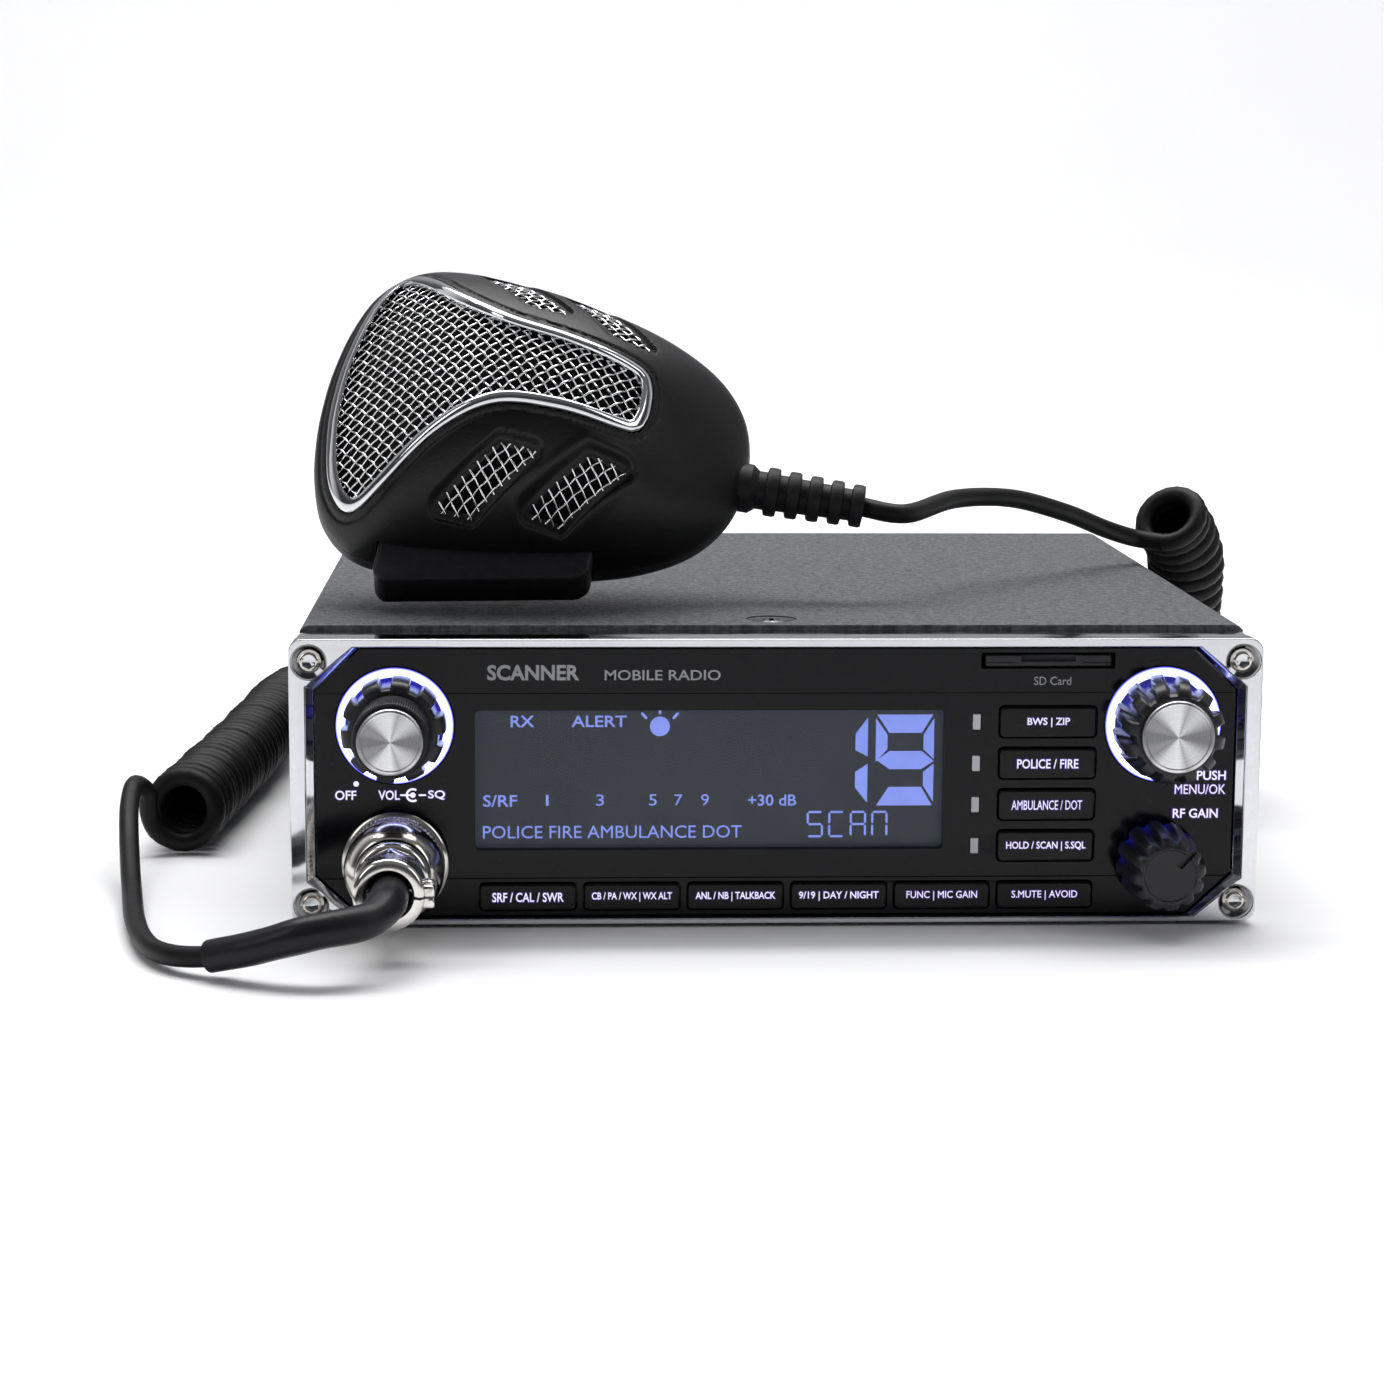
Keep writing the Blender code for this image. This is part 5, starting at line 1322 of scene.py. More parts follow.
@dataclass
class RadioCase:
    """Covers, chassis, heat sink and the sockets on the back."""

    fins: int = 27
    fin_thickness: float = 2.0 * MM
    sink_root: float = 3.0 * MM

    def build_covers(self) -> None:
        """Refinish the covers and what lies inside them."""
        for finish, nodes in (
            (PowderPaint("powder_paint"), ("top_cover", "bottom_cover")),
            (Metals.STEEL, ("chassis", "encoder_shaft", "volume_shaft", "dual_pot", "encoder", "rf_gain_pot")),
            (CircuitBoard("circuit_board"), ("main_board", "front_board", "mic_insert")),
            (Plastics.RUBBER, ("keypad_mat",)),
            (Plastics.NYLON, ("encoder_plunger",)),
            (Metals.NICKEL, ("mic_socket",)),
            (Plastics.PAPER_CONE, ("speaker",)),
        ):
            for node in nodes:
                refinish(node, finish)

    def build_cover_screw(self) -> None:
        """Make the screw and the dished washer that sit in the cover's hole."""
        low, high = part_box("cover_screw")
        centre = (low + high) / 2
        seat = high.z - 1.6 * MM
        dish = [(4.9, 1.35), (4.6, 1.25), (3.4, 0.15), (3.1, -0.1), (4.6, -0.1), (4.9, 0.2)]
        rings = []
        for index in range(64):
            angle = math.tau * index / 64
            rings.append([
                Vector((centre.x + r * MM * math.cos(angle), centre.y + r * MM * math.sin(angle), seat + h * MM))
                for r, h in dish
            ])
        dish_mesh = to_mesh("dish", loft(rings, closed_ends=False))
        head = cross_head(2.9 * MM, 1.5 * MM)
        head.transform(Matrix.Translation((centre.x, centre.y, seat + 0.1 * MM)))
        shank = block("shank", (centre.x - MM, centre.y - MM, low.z), (centre.x + MM, centre.y + MM, seat))
        paint, steel = dress(PowderPaint("powder_paint")), dress(Metals.ANODISED)
        mesh = gathered("cover_screw_set", [(dish_mesh, paint), (head, steel), (shank, steel)])
        show("cover_screw_set", mesh, "radio", None, ["cover_screw"])

    def build_heat_sink(self) -> None:
        """Make the finned plate: one plate, and copies of one tapered fin."""
        low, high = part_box("heat_sink")
        plate_back = low.y + self.sink_root
        plate = block("plate", low, (high.x, plate_back, high.z), 0.4 * MM)
        sections = []
        for reach, thick in ((-0.5 * MM, 1.0), (0.55, 0.86), (0.96, 0.7), (1.0, 0.45)):
            out = reach if reach < 0 else reach * (high.y - plate_back)
            half = self.fin_thickness * thick / 2
            tall = (high.z - low.z) / 2
            sections.append([
                Vector((-half, -tall, out)), Vector((half, -tall, out)), Vector((half, tall, out)),
                Vector((-half, tall, out)),
            ])
        fin = to_mesh("fin", loft(sections))
        middle = (low.z + high.z) / 2
        places = []
        clear = [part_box(node) for node in ("antenna_socket", "scanner_antenna_socket", "rear_jacks")]
        half_fin = self.fin_thickness / 2
        for index in range(self.fins):
            x = low.x + half_fin + (high.x - low.x - 2 * half_fin) * index / (self.fins - 1)
            if not any(a.x - 2 * MM < x < b.x + 2 * MM for a, b in clear):
                places.append(Vector((x, plate_back, middle)))
        fin.transform(Matrix.Rotation(math.radians(-90.0), 4, "X"))
        fins = copies("fins", fin, places, [Vector((0.0, 0.0, 1.0))] * len(places), Metals.ANODISED)
        metal = dress(Metals.ANODISED)
        mesh = gathered("finned_back", [(plate, metal), (fins, metal)])
        show("finned_back", mesh, "radio", None, ["heat_sink"])

    def build_rear_sockets(self) -> None:
        """Make the two antenna sockets and the jack plate."""
        low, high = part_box("antenna_socket")
        spot, size = between(low, high)
        big = size[0] / 2
        thread = []
        for index in range(12):
            out = (2.6 + 0.75 * index) * MM
            thread += [(7.9 * MM, out), (7.45 * MM, out + 0.38 * MM)]
        profile = [(0.0, 0.0), (big, 0.0), (big, 1.6 * MM), (big - 0.4 * MM, 2.0 * MM), (7.9 * MM, 2.0 * MM)]
        profile += thread + millimetres([
            (7.6, 12.0), (6.8, 12.0), (6.6, 11.8), (6.6, 3.0), (1.6, 3.0), (1.6, 3.5), (0.0, 3.5),
        ])
        socket = lathe("antenna_thread", profile, spot, 96, 1.0, low.y)
        show("antenna_thread", socket, "radio", Metals.NICKEL, ["antenna_socket"])
        low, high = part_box("scanner_antenna_socket")
        spot, size = between(low, high)
        wide = size[0] / 2
        profile = [(0.0, 0.0), (wide, 0.0), (wide, 1.5 * MM), (wide - 0.4 * MM, 1.8 * MM)]
        profile += millimetres([
            (4.8, 1.8), (4.8, 10.6), (4.6, 11.0), (4.1, 11.0), (3.9, 10.7), (3.9, 2.5), (0.7, 2.5), (0.7, 4.8),
            (0.4, 5.0), (0.0, 5.0),
        ])
        socket = lathe("bayonet_socket", profile, spot, 96, 1.0, low.y)
        show("bayonet_socket", socket, "radio", Metals.NICKEL, ["scanner_antenna_socket"])
        refinish("rear_jacks", Plastics.SATIN)

    def build(self) -> None:
        """Build and dress the whole case."""
        self.build_covers()
        self.build_cover_screw()
        self.build_heat_sink()
        self.build_rear_sockets()


def domed(radius: float, height: float, stations: Sequence[Point2]) -> Mesh:
    """Make a round head up local Z from the radius and the height of its rings, as shares of its own."""
    return to_mesh("head", loft([
        [Vector((x, y, up * height)) for x, y in circle((0.0, 0.0), radius * out, 48)] for out, up in stations
    ]))


def cross_head(radius: float, height: float) -> Mesh:
    """Make a domed screw head with a cross slot, standing up local Z.

    Args:
        radius: Its radius.
        height: Its height.

    Returns:
        The head.
    """
    stations = ((1.0, 0.0), (1.0, 0.35), (0.93, 0.62), (0.75, 0.85), (0.45, 0.97), (0.05, 1.0))
    head = domed(radius, height, stations)
    arm, deep = radius * 0.16, height * 0.45
    slots = [
        block("slot", (-radius * 0.6, -arm, deep), (radius * 0.6, arm, height * 2)),
        block("slot", (-arm, -radius * 0.6, deep), (arm, radius * 0.6, height * 2)),
    ]
    return carved(head, *slots)


def socket_head(radius: float, height: float, hexagon: float) -> Mesh:
    """Make a button-head screw with a hexagon socket, standing up local Z.

    Args:
        radius: The head's radius.
        height: Its height.
        hexagon: Distance from the middle to the socket's corners.

    Returns:
        The screw's head and the start of its shank.
    """
    head = domed(radius, height, (
        (0.55, -1.6), (0.55, 0.0), (1.0, 0.0), (1.0, 0.35), (0.95, 0.60), (0.83, 0.83), (0.70, 0.95), (0.62, 1.0),
    ))
    socket = bmesh.new()
    depth = height * 1.3
    matrix = Matrix.Translation((0.0, 0.0, height * 1.05 - depth / 2 + 0.1 * MM))
    bmesh.ops.create_cone(
        socket, cap_ends=True, segments=6, radius1=hexagon * 0.96, radius2=hexagon * 1.06, depth=depth, matrix=matrix
    )
    return carved(head, to_mesh("socket", socket))


# ---------------------------------------------------------------- front


@dataclass
class FrontLayout:
    """Sizes that the bezel, the panel and the keys share."""

    band: float = 4.5 * MM
    rail: float = 1.2 * MM
    top_lip: float = 0.6 * MM
    cut_x: float = 8.6 * MM
    cut_z: float = 8.0 * MM
    panel_face: float = 1.5 * MM
    panel_back: float = 4.0 * MM
    gap: float = 0.3 * MM

    def opening(self, out_x: float = 0.0, out_z: float = 0.0) -> Outline:
        """Give the bezel's eight-sided opening, moved outwards at its sides and at its rails."""
        half = (BEZEL_HIGH.x - BEZEL_LOW.x) / 2 - self.band + out_x
        low = FOOT + self.rail - out_z
        high = BEZEL_HIGH.z - self.rail - self.top_lip + out_z
        cut_x = self.cut_x + 0.35 * (out_x - out_z)
        cut_z = self.cut_z + 0.35 * (out_z - out_x)
        return [
            (-half + cut_x, low), (half - cut_x, low), (half, low + cut_z), (half, high - cut_z),
            (half - cut_x, high), (-half + cut_x, high), (-half, high - cut_z), (-half, low + cut_z),
        ]


LAYOUT = FrontLayout()


@dataclass
class Bezel:
    """The chrome frame with a screw in each corner."""

    corner: float = 2.5 * MM
    edge: float = 0.45 * MM
    strip_width: float = 1.5 * MM
    strip_drop: float = 1.1 * MM
    recess_radius: float = 3.2 * MM
    screw_names: tuple[str, ...] = ("lower_left", "lower_right", "upper_left", "upper_right")

    def screw_spots(self) -> list[Point2]:
        """Give the middles of the corner screws."""
        return [between(*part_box("bezel_screw_" + name))[0] for name in self.screw_names]

    def build_frame(self) -> Mesh:
        """Make the frame's outer body with its counterbores."""
        centre, size = between(BEZEL_LOW, BEZEL_HIGH)
        depth = BEZEL_HIGH.y - FRONT
        outer = rounded_box(centre, size, self.corner, 8)
        inner = LAYOUT.opening(self.strip_width, 0.25 * MM)
        body = slab("frame", [outer, inner], 0.0, depth, self.edge)
        tools = []
        for spot in self.screw_spots():
            bore = [
                (0.0, 1.0 * MM), (self.recess_radius + 1.3 * MM, 1.0 * MM), (self.recess_radius, -0.3 * MM),
                (self.recess_radius, -2.0 * MM), (0.0, -2.0 * MM),
            ]
            tools.append(lathe("bore", bore, spot, 48))
        return carved(body, *tools)

    def build_strip(self) -> Mesh:
        """Make the sloped strip between the frame's face and the panel."""
        wide, slim = LAYOUT.opening(self.strip_width, 0.25 * MM), LAYOUT.opening()
        sections = ((wide, 0.10 * MM), (slim, self.strip_drop), (slim, 4.2 * MM), (wide, 4.2 * MM))
        rings = [[Vector((x, FRONT + deep, z)) for x, z in outline] for outline, deep in sections]
        return rounded(to_mesh("strip", loft(rings, closed_ends=False)), 0.12 * MM, 2)

    def build_screws(self) -> None:
        """Put a socket screw in each corner."""
        head = socket_head(2.3 * MM, 1.5 * MM, 1.35 * MM)
        places = [Vector((x, FRONT + 1.95 * MM, z)) for x, z in self.screw_spots()]
        mesh = copies("corner_screws", head, places, [Vector((0.0, -1.0, 0.0))] * 4, Metals.SCREW)
        names = ["bezel_screw_" + name for name in self.screw_names]
        show("corner_screws", mesh, "radio", None, names)

    def build(self) -> None:
        """Build and dress the bezel."""
        chrome = dress(Metals.CHROME)
        mesh = gathered("chrome_bezel", [(self.build_frame(), chrome), (self.build_strip(), chrome)])
        show("chrome_bezel", mesh, "radio", None, ["front_bezel"])
        self.build_screws()


KEYS: dict[str, str] = {
    "key_srf_cal_swr": "SRF / CAL / SWR",
    "key_band_weather": "CB / PA / WX | WX ALT",
    "key_noise_talkback": "ANL / NB | TALKBACK",
    "key_channel_day_night": "9/19 | DAY / NIGHT",
    "key_function_gain": "FUNC | MIC GAIN",
    "key_mute_avoid": "S.MUTE | AVOID",
    "key_search_zip": "BWS | ZIP",
    "key_police_fire": "POLICE / FIRE",
    "key_ambulance_dot": "AMBULANCE / DOT",
    "key_hold_scan": "HOLD / SCAN | S.SQL",
}
KEY_FLANGE_LIP = 0.6 * MM


def key_cap(node: str) -> tuple[Point2, Point2]:
    """Give the middle and the size of a key's cap, without the flange behind the panel."""
    centre, size = between(*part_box(node))
    return centre, grown(size, -2 * KEY_FLANGE_LIP)


@dataclass
class Keys:
    """Ten keys with lit legends, each with a painted glow of light spilling round it."""

    face: float = 0.7 * MM
    corner: float = 0.9 * MM
    legend_height: float = 1.80 * MM
    letter_pitch: float = 0.905 * MM
    widest: float = 15.3 * MM
    ink: Glow = Glow("legend_ink", (0.80, 0.76, 1.0), 1.15)
    painted_halo: Glow = Glow("legend_halo", (0.10, 0.035, 0.42), 0.55)

    def build_key(self, node: str, words: str) -> None:
        """Make one key and its legend, on the key's own body."""
        centre, size = key_cap(node)
        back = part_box(node)[1].y - FRONT
        gloss = dress(GlossPlastic("key_gloss", (0.0035, 0.0035, 0.0045), 0.22, 0.22))
        cap = slab("cap", [rounded_box(centre, size, self.corner)], self.face, back, 0.45 * MM)
        outline = rounded_box(centre, grown(size, 2 * KEY_FLANGE_LIP), 0.3 * MM)
        rim = slab("flange", [outline], back - 0.8 * MM, back)
        box = (min(self.letter_pitch * len(words), self.widest), self.legend_height)
        front = self.face - 0.02 * MM
        legend = lettering(words, centre, box, front, 0.0 if "M" in words else 0.012)
        # Painted light: a slightly larger dim purple glowing copy behind the legend stands in for light spilling
        # round it.
        painted_halo = lettering(words, centre, grown(box, 0.30 * MM), front + 0.022 * MM, 0.045)
        parts = [(cap, gloss), (rim, gloss), (legend, dress(self.ink)), (painted_halo, dress(self.painted_halo))]
        mesh = gathered(node + "_cap", parts)
        show(node + "_cap", mesh, node, None, [node])

    def build(self) -> None:
        """Build and dress every key."""
        for node, words in KEYS.items():
            self.build_key(node, words)


@dataclass
class Panel:
    """The gloss panel with its openings, grooves, lamps and printed words."""

    grooves: tuple[float, float] = (44.5 * MM, 8.75 * MM)
    groove_width: float = 0.35 * MM
    ring_outer: float = 11.1 * MM
    bush: float = 4.2 * MM
    socket: float = 8.1 * MM
    slot_size: Point2 = (25.7 * MM, 3.1 * MM)

    def openings(self) -> list[Outline]:
        """Give the outlines of every hole in the panel."""
        centre, size = between(*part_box("display_window"))
        gap = LAYOUT.gap
        holes = [rounded_box(centre, grown(size, 2 * gap), 0.9 * MM)]
        for node in KEYS:
            middle, cap = key_cap(node)
            holes.append(rounded_box(middle, grown(cap, 2 * gap), 1.1 * MM))
        for spot in self.lamp_spots():
            holes.append(rounded_box(spot, grown((1.5 * MM, 3.0 * MM), gap), 0.2 * MM, 2))
        card_middle, _ = between(*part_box("sd_card"))
        holes.append(rounded_box(card_middle, self.slot_size, 0.25 * MM, 3))
        for node in ("squelch_ring", "channel_knob"):
            holes.append(circle(between(*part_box(node))[0], self.ring_outer + gap, 96))
        holes.append(circle(between(*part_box("rf_gain_knob"))[0], self.bush, 48))
        holes.append(circle(between(*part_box("coupling_ring"))[0], self.socket, 64))
        return holes

    def lamp_spots(self) -> list[Point2]:
        """Give the middles of the four lamps, level with the keys beside them."""
        low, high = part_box("indicator_lamps")
        side = ("key_search_zip", "key_police_fire", "key_ambulance_dot", "key_hold_scan")
        return [((low.x + high.x) / 2, key_cap(node)[0][1]) for node in side]

    def build_plate(self) -> None:
        """Make the panel's plate and cut its two long grooves."""
        outlines = [LAYOUT.opening(-LAYOUT.gap, -LAYOUT.gap), *self.openings()]
        plate = slab("plate", outlines, LAYOUT.panel_face, LAYOUT.panel_back, 0.18 * MM)
        low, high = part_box("front_panel")
        half = self.groove_width / 2
        tools = []
        for z in self.grooves:
            tools.append(block(
                "groove", (low.x - MM, FRONT, FOOT + z - half),
                (high.x + MM, FRONT + LAYOUT.panel_face + 0.45 * MM, FOOT + z + half),
            ))
        mesh = carved(plate, *tools)
        show("gloss_panel", mesh, "radio", GlossPlastic("panel_gloss"), ["front_panel"])

    def build_lamps(self) -> None:
        """Make the four lamp lenses."""
        lens = block("lens", (-0.75 * MM, -1.5 * MM, 0.0), (0.75 * MM, 1.5 * MM, 2.6 * MM), 0.15 * MM)
        lens.transform(Matrix.Rotation(math.radians(90.0), 4, "X"))
        places = [Vector((x, FRONT + 3.9 * MM, z)) for x, z in self.lamp_spots()]
        up = [Vector((0.0, 0.0, 1.0))] * len(places)
        mesh = copies("lamp_lenses", lens, places, up, Plastics.LENS)
        show("lamp_lenses", mesh, "radio", None, ["indicator_lamps"])

    def build_words(self) -> None:
        """Print the lit words and marks round the controls, each word with a painted glow of spilled light behind it.
        """
        depth = LAYOUT.panel_face - 0.02 * MM
        lit = (
            ("OFF", (-82.1, 24.9), (4.0, 1.8)), ("VOL", (-73.9, 24.9), (4.0, 1.8)), ("SQ", (-64.9, 24.9), (3.2, 1.8)),
            ("PUSH", (83.5, 28.3), (5.6, 1.8)), ("MENU/OK", (81.4, 25.6), (9.8, 1.85)),
            ("RF GAIN", (80.6, 20.9), (8.7, 1.8)),
        )
        ink, painted_halo = [], []
        for words, centre, size in lit:
            middle, box = above_foot(centre, size)
            ink.append(lettering(words, middle, box, depth, 0.0 if "M" in words else 0.014))
            # Painted light: a slightly larger dim purple glowing copy behind each word stands in for light spilling
            # round it.
            painted_halo.append(lettering(words, middle, grown(box, 0.3 * MM), depth + 0.022 * MM, 0.045))
        ink += self.volume_marks(depth)
        white, painted_halo_violet = dress(Keys.ink), dress(Keys.painted_halo)
        parts = [(mesh, white) for mesh in ink] + [(mesh, painted_halo_violet) for mesh in painted_halo]
        show("panel_words", gathered("panel_words", parts), "radio", None, [])
        grey = dress(MouldedPlastic("printed_grey", (0.30, 0.30, 0.31), 0.5, 0.1, 2600.0, 0.0))
        plain = (
            ("SD Card", (52.4, 46.7), (7.1, 1.6), 0.0), ("SCANNER", (-46.5, 48.4), (17.4, 3.0), 0.03),
            ("MOBILE RADIO", (-22.0, 47.9), (22.0, 2.0), 0.010),
        )
        parts = []
        for words, centre, size, bold in plain:
            parts.append((lettering(words, *above_foot(centre, size), depth, bold), grey))
        show("printed_words", gathered("printed_words", parts), "radio", None, [])

    def volume_marks(self, depth: float) -> list[Mesh]:
        """Make the off dot and the knob sign between the two words under the left knobs."""
        centre = (-69.4 * MM, 24.9 * MM + FOOT)
        marks = [inlay(circle((-80.1 * MM, 27.1 * MM + FOOT), 0.52 * MM, 24), depth)]
        marks.append(inlay(circle(centre, 0.52 * MM, 24), depth))
        arc = []
        for radius, order in ((1.35 * MM, 1), (0.95 * MM, -1)):
            turns = [math.radians(-125.0 + 250.0 * step / 24) for step in range(25)][::order]
            arc += [(centre[0] - radius * math.cos(a), centre[1] + radius * math.sin(a)) for a in turns]
        marks.append(inlay(arc, depth))
        for near, far in ((1.2, 2.4), (-2.3, -0.2)):
            start, end = centre[0] + near * MM, centre[0] + far * MM
            marks.append(inlay(stroke((start, centre[1]), (end, centre[1]), 0.34 * MM), depth))
        return marks

    def build(self) -> None:
        """Build and dress the panel."""
        self.build_plate()
        self.build_lamps()
        self.build_words()


SEGMENTS: dict[str, Outline] = {
    "top": [(0.02, 1.0), (0.98, 1.0), (0.79, 0.80), (0.23, 0.80)],
    "upper_left": [(0.0, 0.96), (0.20, 0.78), (0.20, 0.62), (0.0, 0.48)],
    "upper_right": [(1.0, 0.96), (0.82, 0.78), (0.82, 0.62), (1.0, 0.51)],
    "middle": [(0.02, 0.50), (0.24, 0.60), (0.79, 0.60), (1.0, 0.49), (0.79, 0.40), (0.24, 0.40)],
    "lower_right": [(1.0, 0.46), (0.82, 0.37), (0.82, 0.22), (1.0, 0.04)],
    "bottom": [(0.02, 0.0), (0.98, 0.0), (0.79, 0.205), (0.23, 0.205)],
}
HALF_ONE: list[Outline] = [
    [(0.0, 0.79), (0.95, 0.97), (0.95, 0.54), (0.0, 0.61)],
    [(0.0, 0.37), (0.95, 0.46), (0.95, 0.03), (0.0, 0.20)],
]
SMALL_LETTERS: dict[str, tuple[str, ...]] = {
    "S": ("top", "upper_left", "middle", "lower_right", "bottom"),
    "C": ("top", "upper_left", "lower_left", "bottom"),
    "A": ("top", "upper_left", "lower_left", "middle", "upper_right", "lower_right"),
    "N": ("top", "upper_left", "lower_left", "upper_right", "lower_right"),
}
SMALL_STROKES: dict[str, tuple[Point2, Point2]] = {
    "top": ((0.10, 1.0), (0.90, 1.0)),
    "middle": ((0.10, 0.5), (0.90, 0.5)),
    "bottom": ((0.10, 0.0), (0.90, 0.0)),
    "upper_left": ((0.0, 0.93), (0.0, 0.57)),
    "lower_left": ((0.0, 0.43), (0.0, 0.07)),
    "upper_right": ((1.0, 0.93), (1.0, 0.57)),
    "lower_right": ((1.0, 0.43), (1.0, 0.07)),
}


@dataclass
class Display:
    """The window and the lit liquid crystal behind it."""

    ink: Glow = Glow("segment_glow", (0.27, 0.36, 1.0), 1.0, 0.10)
    segment_depth: float = 4.15 * MM
    digit_low: Point2 = (19.0 * MM, 22.1 * MM)
    digit_size: Point2 = (11.2 * MM, 17.7 * MM)
    one_low: float = 15.1 * MM
    one_width: float = 2.5 * MM

    def cell(self, points: Outline, low: Point2, size: Point2) -> Outline:
        """Fit points of a unit cell into a cell of the display."""
        return [(low[0] + x * size[0], low[1] + z * size[1] + FOOT) for x, z in points]

    def build_digits(self) -> list[Mesh]:
        """Make the channel number from its segments."""
        low = (self.one_low, self.digit_low[1])
        size = (self.one_width, self.digit_size[1])
        cells = [self.cell(part, self.digit_low, self.digit_size) for part in SEGMENTS.values()]
        cells += [self.cell(part, low, size) for part in HALF_ONE]
        return [inlay(cell, self.segment_depth) for cell in cells]

    def build_small_word(self) -> list[Mesh]:
        """Make the small segmented word under the number."""
        made = []
        size = (2.75 * MM, 4.75 * MM)
        for index, letter in enumerate("SCAN"):
            low = (6.1 * MM + index * 4.15 * MM, 16.1 * MM)
            for key in SMALL_LETTERS[letter]:
                start, end = self.cell(list(SMALL_STROKES[key]), low, size)
                made.append(inlay(stroke(start, end, 0.42 * MM), self.segment_depth))
        return made

    def build_words(self) -> list[Mesh]:
        """Make the fixed words and the signal scale."""
        words = (
            ("RX", (-48.6, 38.6), (4.5, 2.2)), ("ALERT", (-34.0, 38.6), (10.5, 2.2)),
            ("S/RF", (-52.9, 23.2), (6.5, 2.3)), ("1", (-43.9, 23.3), (0.5, 2.1)), ("3", (-33.8, 23.3), (1.5, 2.2)),
            ("5", (-23.7, 23.3), (1.5, 2.2)), ("7", (-18.8, 23.3), (1.5, 2.1)), ("9", (-13.7, 23.3), (1.5, 2.2)),
            ("+30 dB", (-0.8, 23.2), (9.3, 2.2)), ("POLICE FIRE AMBULANCE DOT", (-31.4, 17.1), (49.6, 2.45)),
        )
        made = []
        for text, centre, size in words:
            bold = 0.0 if len(text) == 1 or "M" in text else 0.012
            made.append(lettering(text, *above_foot(centre, size), self.segment_depth, bold))
        made.append(inlay(circle((-22.4 * MM, 37.6 * MM + FOOT), 1.9 * MM, 40), self.segment_depth))
        for turn in (-1, 0, 1):
            at = (-22.4 * MM + turn * 2.6 * MM, 40.1 * MM + FOOT - abs(turn) * 0.9 * MM)
            start, end = (at[0], at[1]), (at[0] + turn * 0.8 * MM, at[1] + 0.9 * MM)
            made.append(inlay(stroke(start, end, 0.5 * MM), self.segment_depth))
        return made

    def build(self) -> None:
        """Build and dress the display."""
        centre, size = between(*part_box("display_window"))
        near, far = (corner.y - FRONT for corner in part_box("display_window"))
        pane = slab("pane", [rounded_box(centre, size, 0.8 * MM)], near + 0.3 * MM, far, 0.15 * MM)
        show("display_pane", pane, "radio", DisplayGlass("display_glass"), ["display_window"])
        low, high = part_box("display_module")
        module = block("module", low, high, 0.2 * MM)
        show("display_block", module, "radio", DisplayFace("display_slate", centre), ["display_module"])
        glow = dress(self.ink)
        lit = self.build_digits() + self.build_small_word() + self.build_words()
        mesh = gathered("display_segments", [(part, glow) for part in lit])
        show("display_segments", mesh, "radio", None, [])


# ---------------------------------------------------------------- controls


def polar(
    name: str, spot: Point2, outs: Sequence[float], reach: Callable[[float, int], float], sides: int = 288
) -> Mesh:
    """Loft rings about an axis along Y whose radius changes with the angle.

    Args:
        name: The mesh's name.
        spot: X and Z of the axis.
        outs: How far in front of the bezel's plane each ring lies.
        reach: Gives the radius for an angle and the number of a ring.
        sides: Points in each ring.

    Returns:
        The closed shape.
    """
    rings = []
    for row, out in enumerate(outs):
        ring = []
        for index in range(sides):
            angle = math.tau * index / sides
            radius = reach(angle, row)
            ring.append(Vector((
                spot[0] + radius * math.cos(angle), FRONT - out, spot[1] + radius * math.sin(angle)
            )))
        rings.append(ring)
    return to_mesh(name, loft(rings), 50.0)


def ease(value: float) -> float:
    """Give a smooth step from 0 to 1."""
    held = min(max(value, 0.0), 1.0)
    return held * held * (3.0 - 2.0 * held)


@dataclass(frozen=True)
class Lobes:
    """Teeth round a knob: flat tips with narrow valleys between them."""

    count: int
    flat: float
    ramp: float = 0.12
    start: float = 0.0
    slant: float = 0.0

    def valley(self, angle: float, out: float) -> float:
        """Give how far into a valley an angle lies: 0 on a tip and 1 at a valley's floor."""
        turn = (math.degrees(angle) - self.start - self.slant * out / MM) % (360.0 / self.count)
        share = turn * self.count / 360.0
        if share < self.flat:
            return 0.0
        return min(ease((share - self.flat) / self.ramp), ease((1.0 - share) / self.ramp))


def lobed_knob(
    name: str, spot: Point2, sections: Sequence[tuple[float, float, float]], lobes: Lobes, sides: int = 480
) -> Mesh:
    """Make a knob with teeth.

    Args:
        name: The mesh's name.
        spot: X and Z of its axis.
        sections: In millimetres, the place of each ring, its tip radius and its valley radius.
        lobes: The teeth.
        sides: Points in each ring.

    Returns:
        The knob.
    """
    outs = [out * MM for out, _, _ in sections]

    def reach(angle: float, row: int) -> float:
        """Give the radius for an angle on one ring."""
        _, tip, root = sections[row]
        return (tip - (tip - root) * lobes.valley(angle, outs[row])) * MM

    return polar(name, spot, outs, reach, sides)


def pin(spot: Point2, radius: float, back: float, front: float) -> Mesh:
    """Make a plain round rod along Y, for a shaft or to cut a bore, from sizes in millimetres."""
    return lathe("pin", millimetres([(0.0, back), (radius, back), (radius, front), (0.0, front)]), spot, 32)


def spun_cap(node: str) -> None:
    """Make the spun metal disc on a knob's front."""
    low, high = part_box(node)
    spot, size = between(low, high)
    radius, back, front = size[0] / 2, FRONT - high.y, FRONT - low.y
    rim = 0.45 * MM
    profile = [
        (0.0, back), (radius - 0.1 * MM, back), (radius, back + 0.1 * MM), (radius, front - rim),
        (radius - 0.25 * rim, front - 0.45 * rim), (radius - 0.75 * rim, front - 0.1 * rim),
        (radius - 1.2 * rim, front), (radius - 1.9 * rim, front - 0.05 * MM),
        (radius - 2.1 * rim, front - 0.16 * MM), (0.0, front - 0.16 * MM),
    ]
    body = {"volume_knob_cap": "volume", "channel_knob_cap": "channel"}[node]
    mesh = lathe(node + "_disc", profile, spot, 160)
    show(node + "_disc", mesh, body, SpunMetal(node + "_metal", *spot), [node])


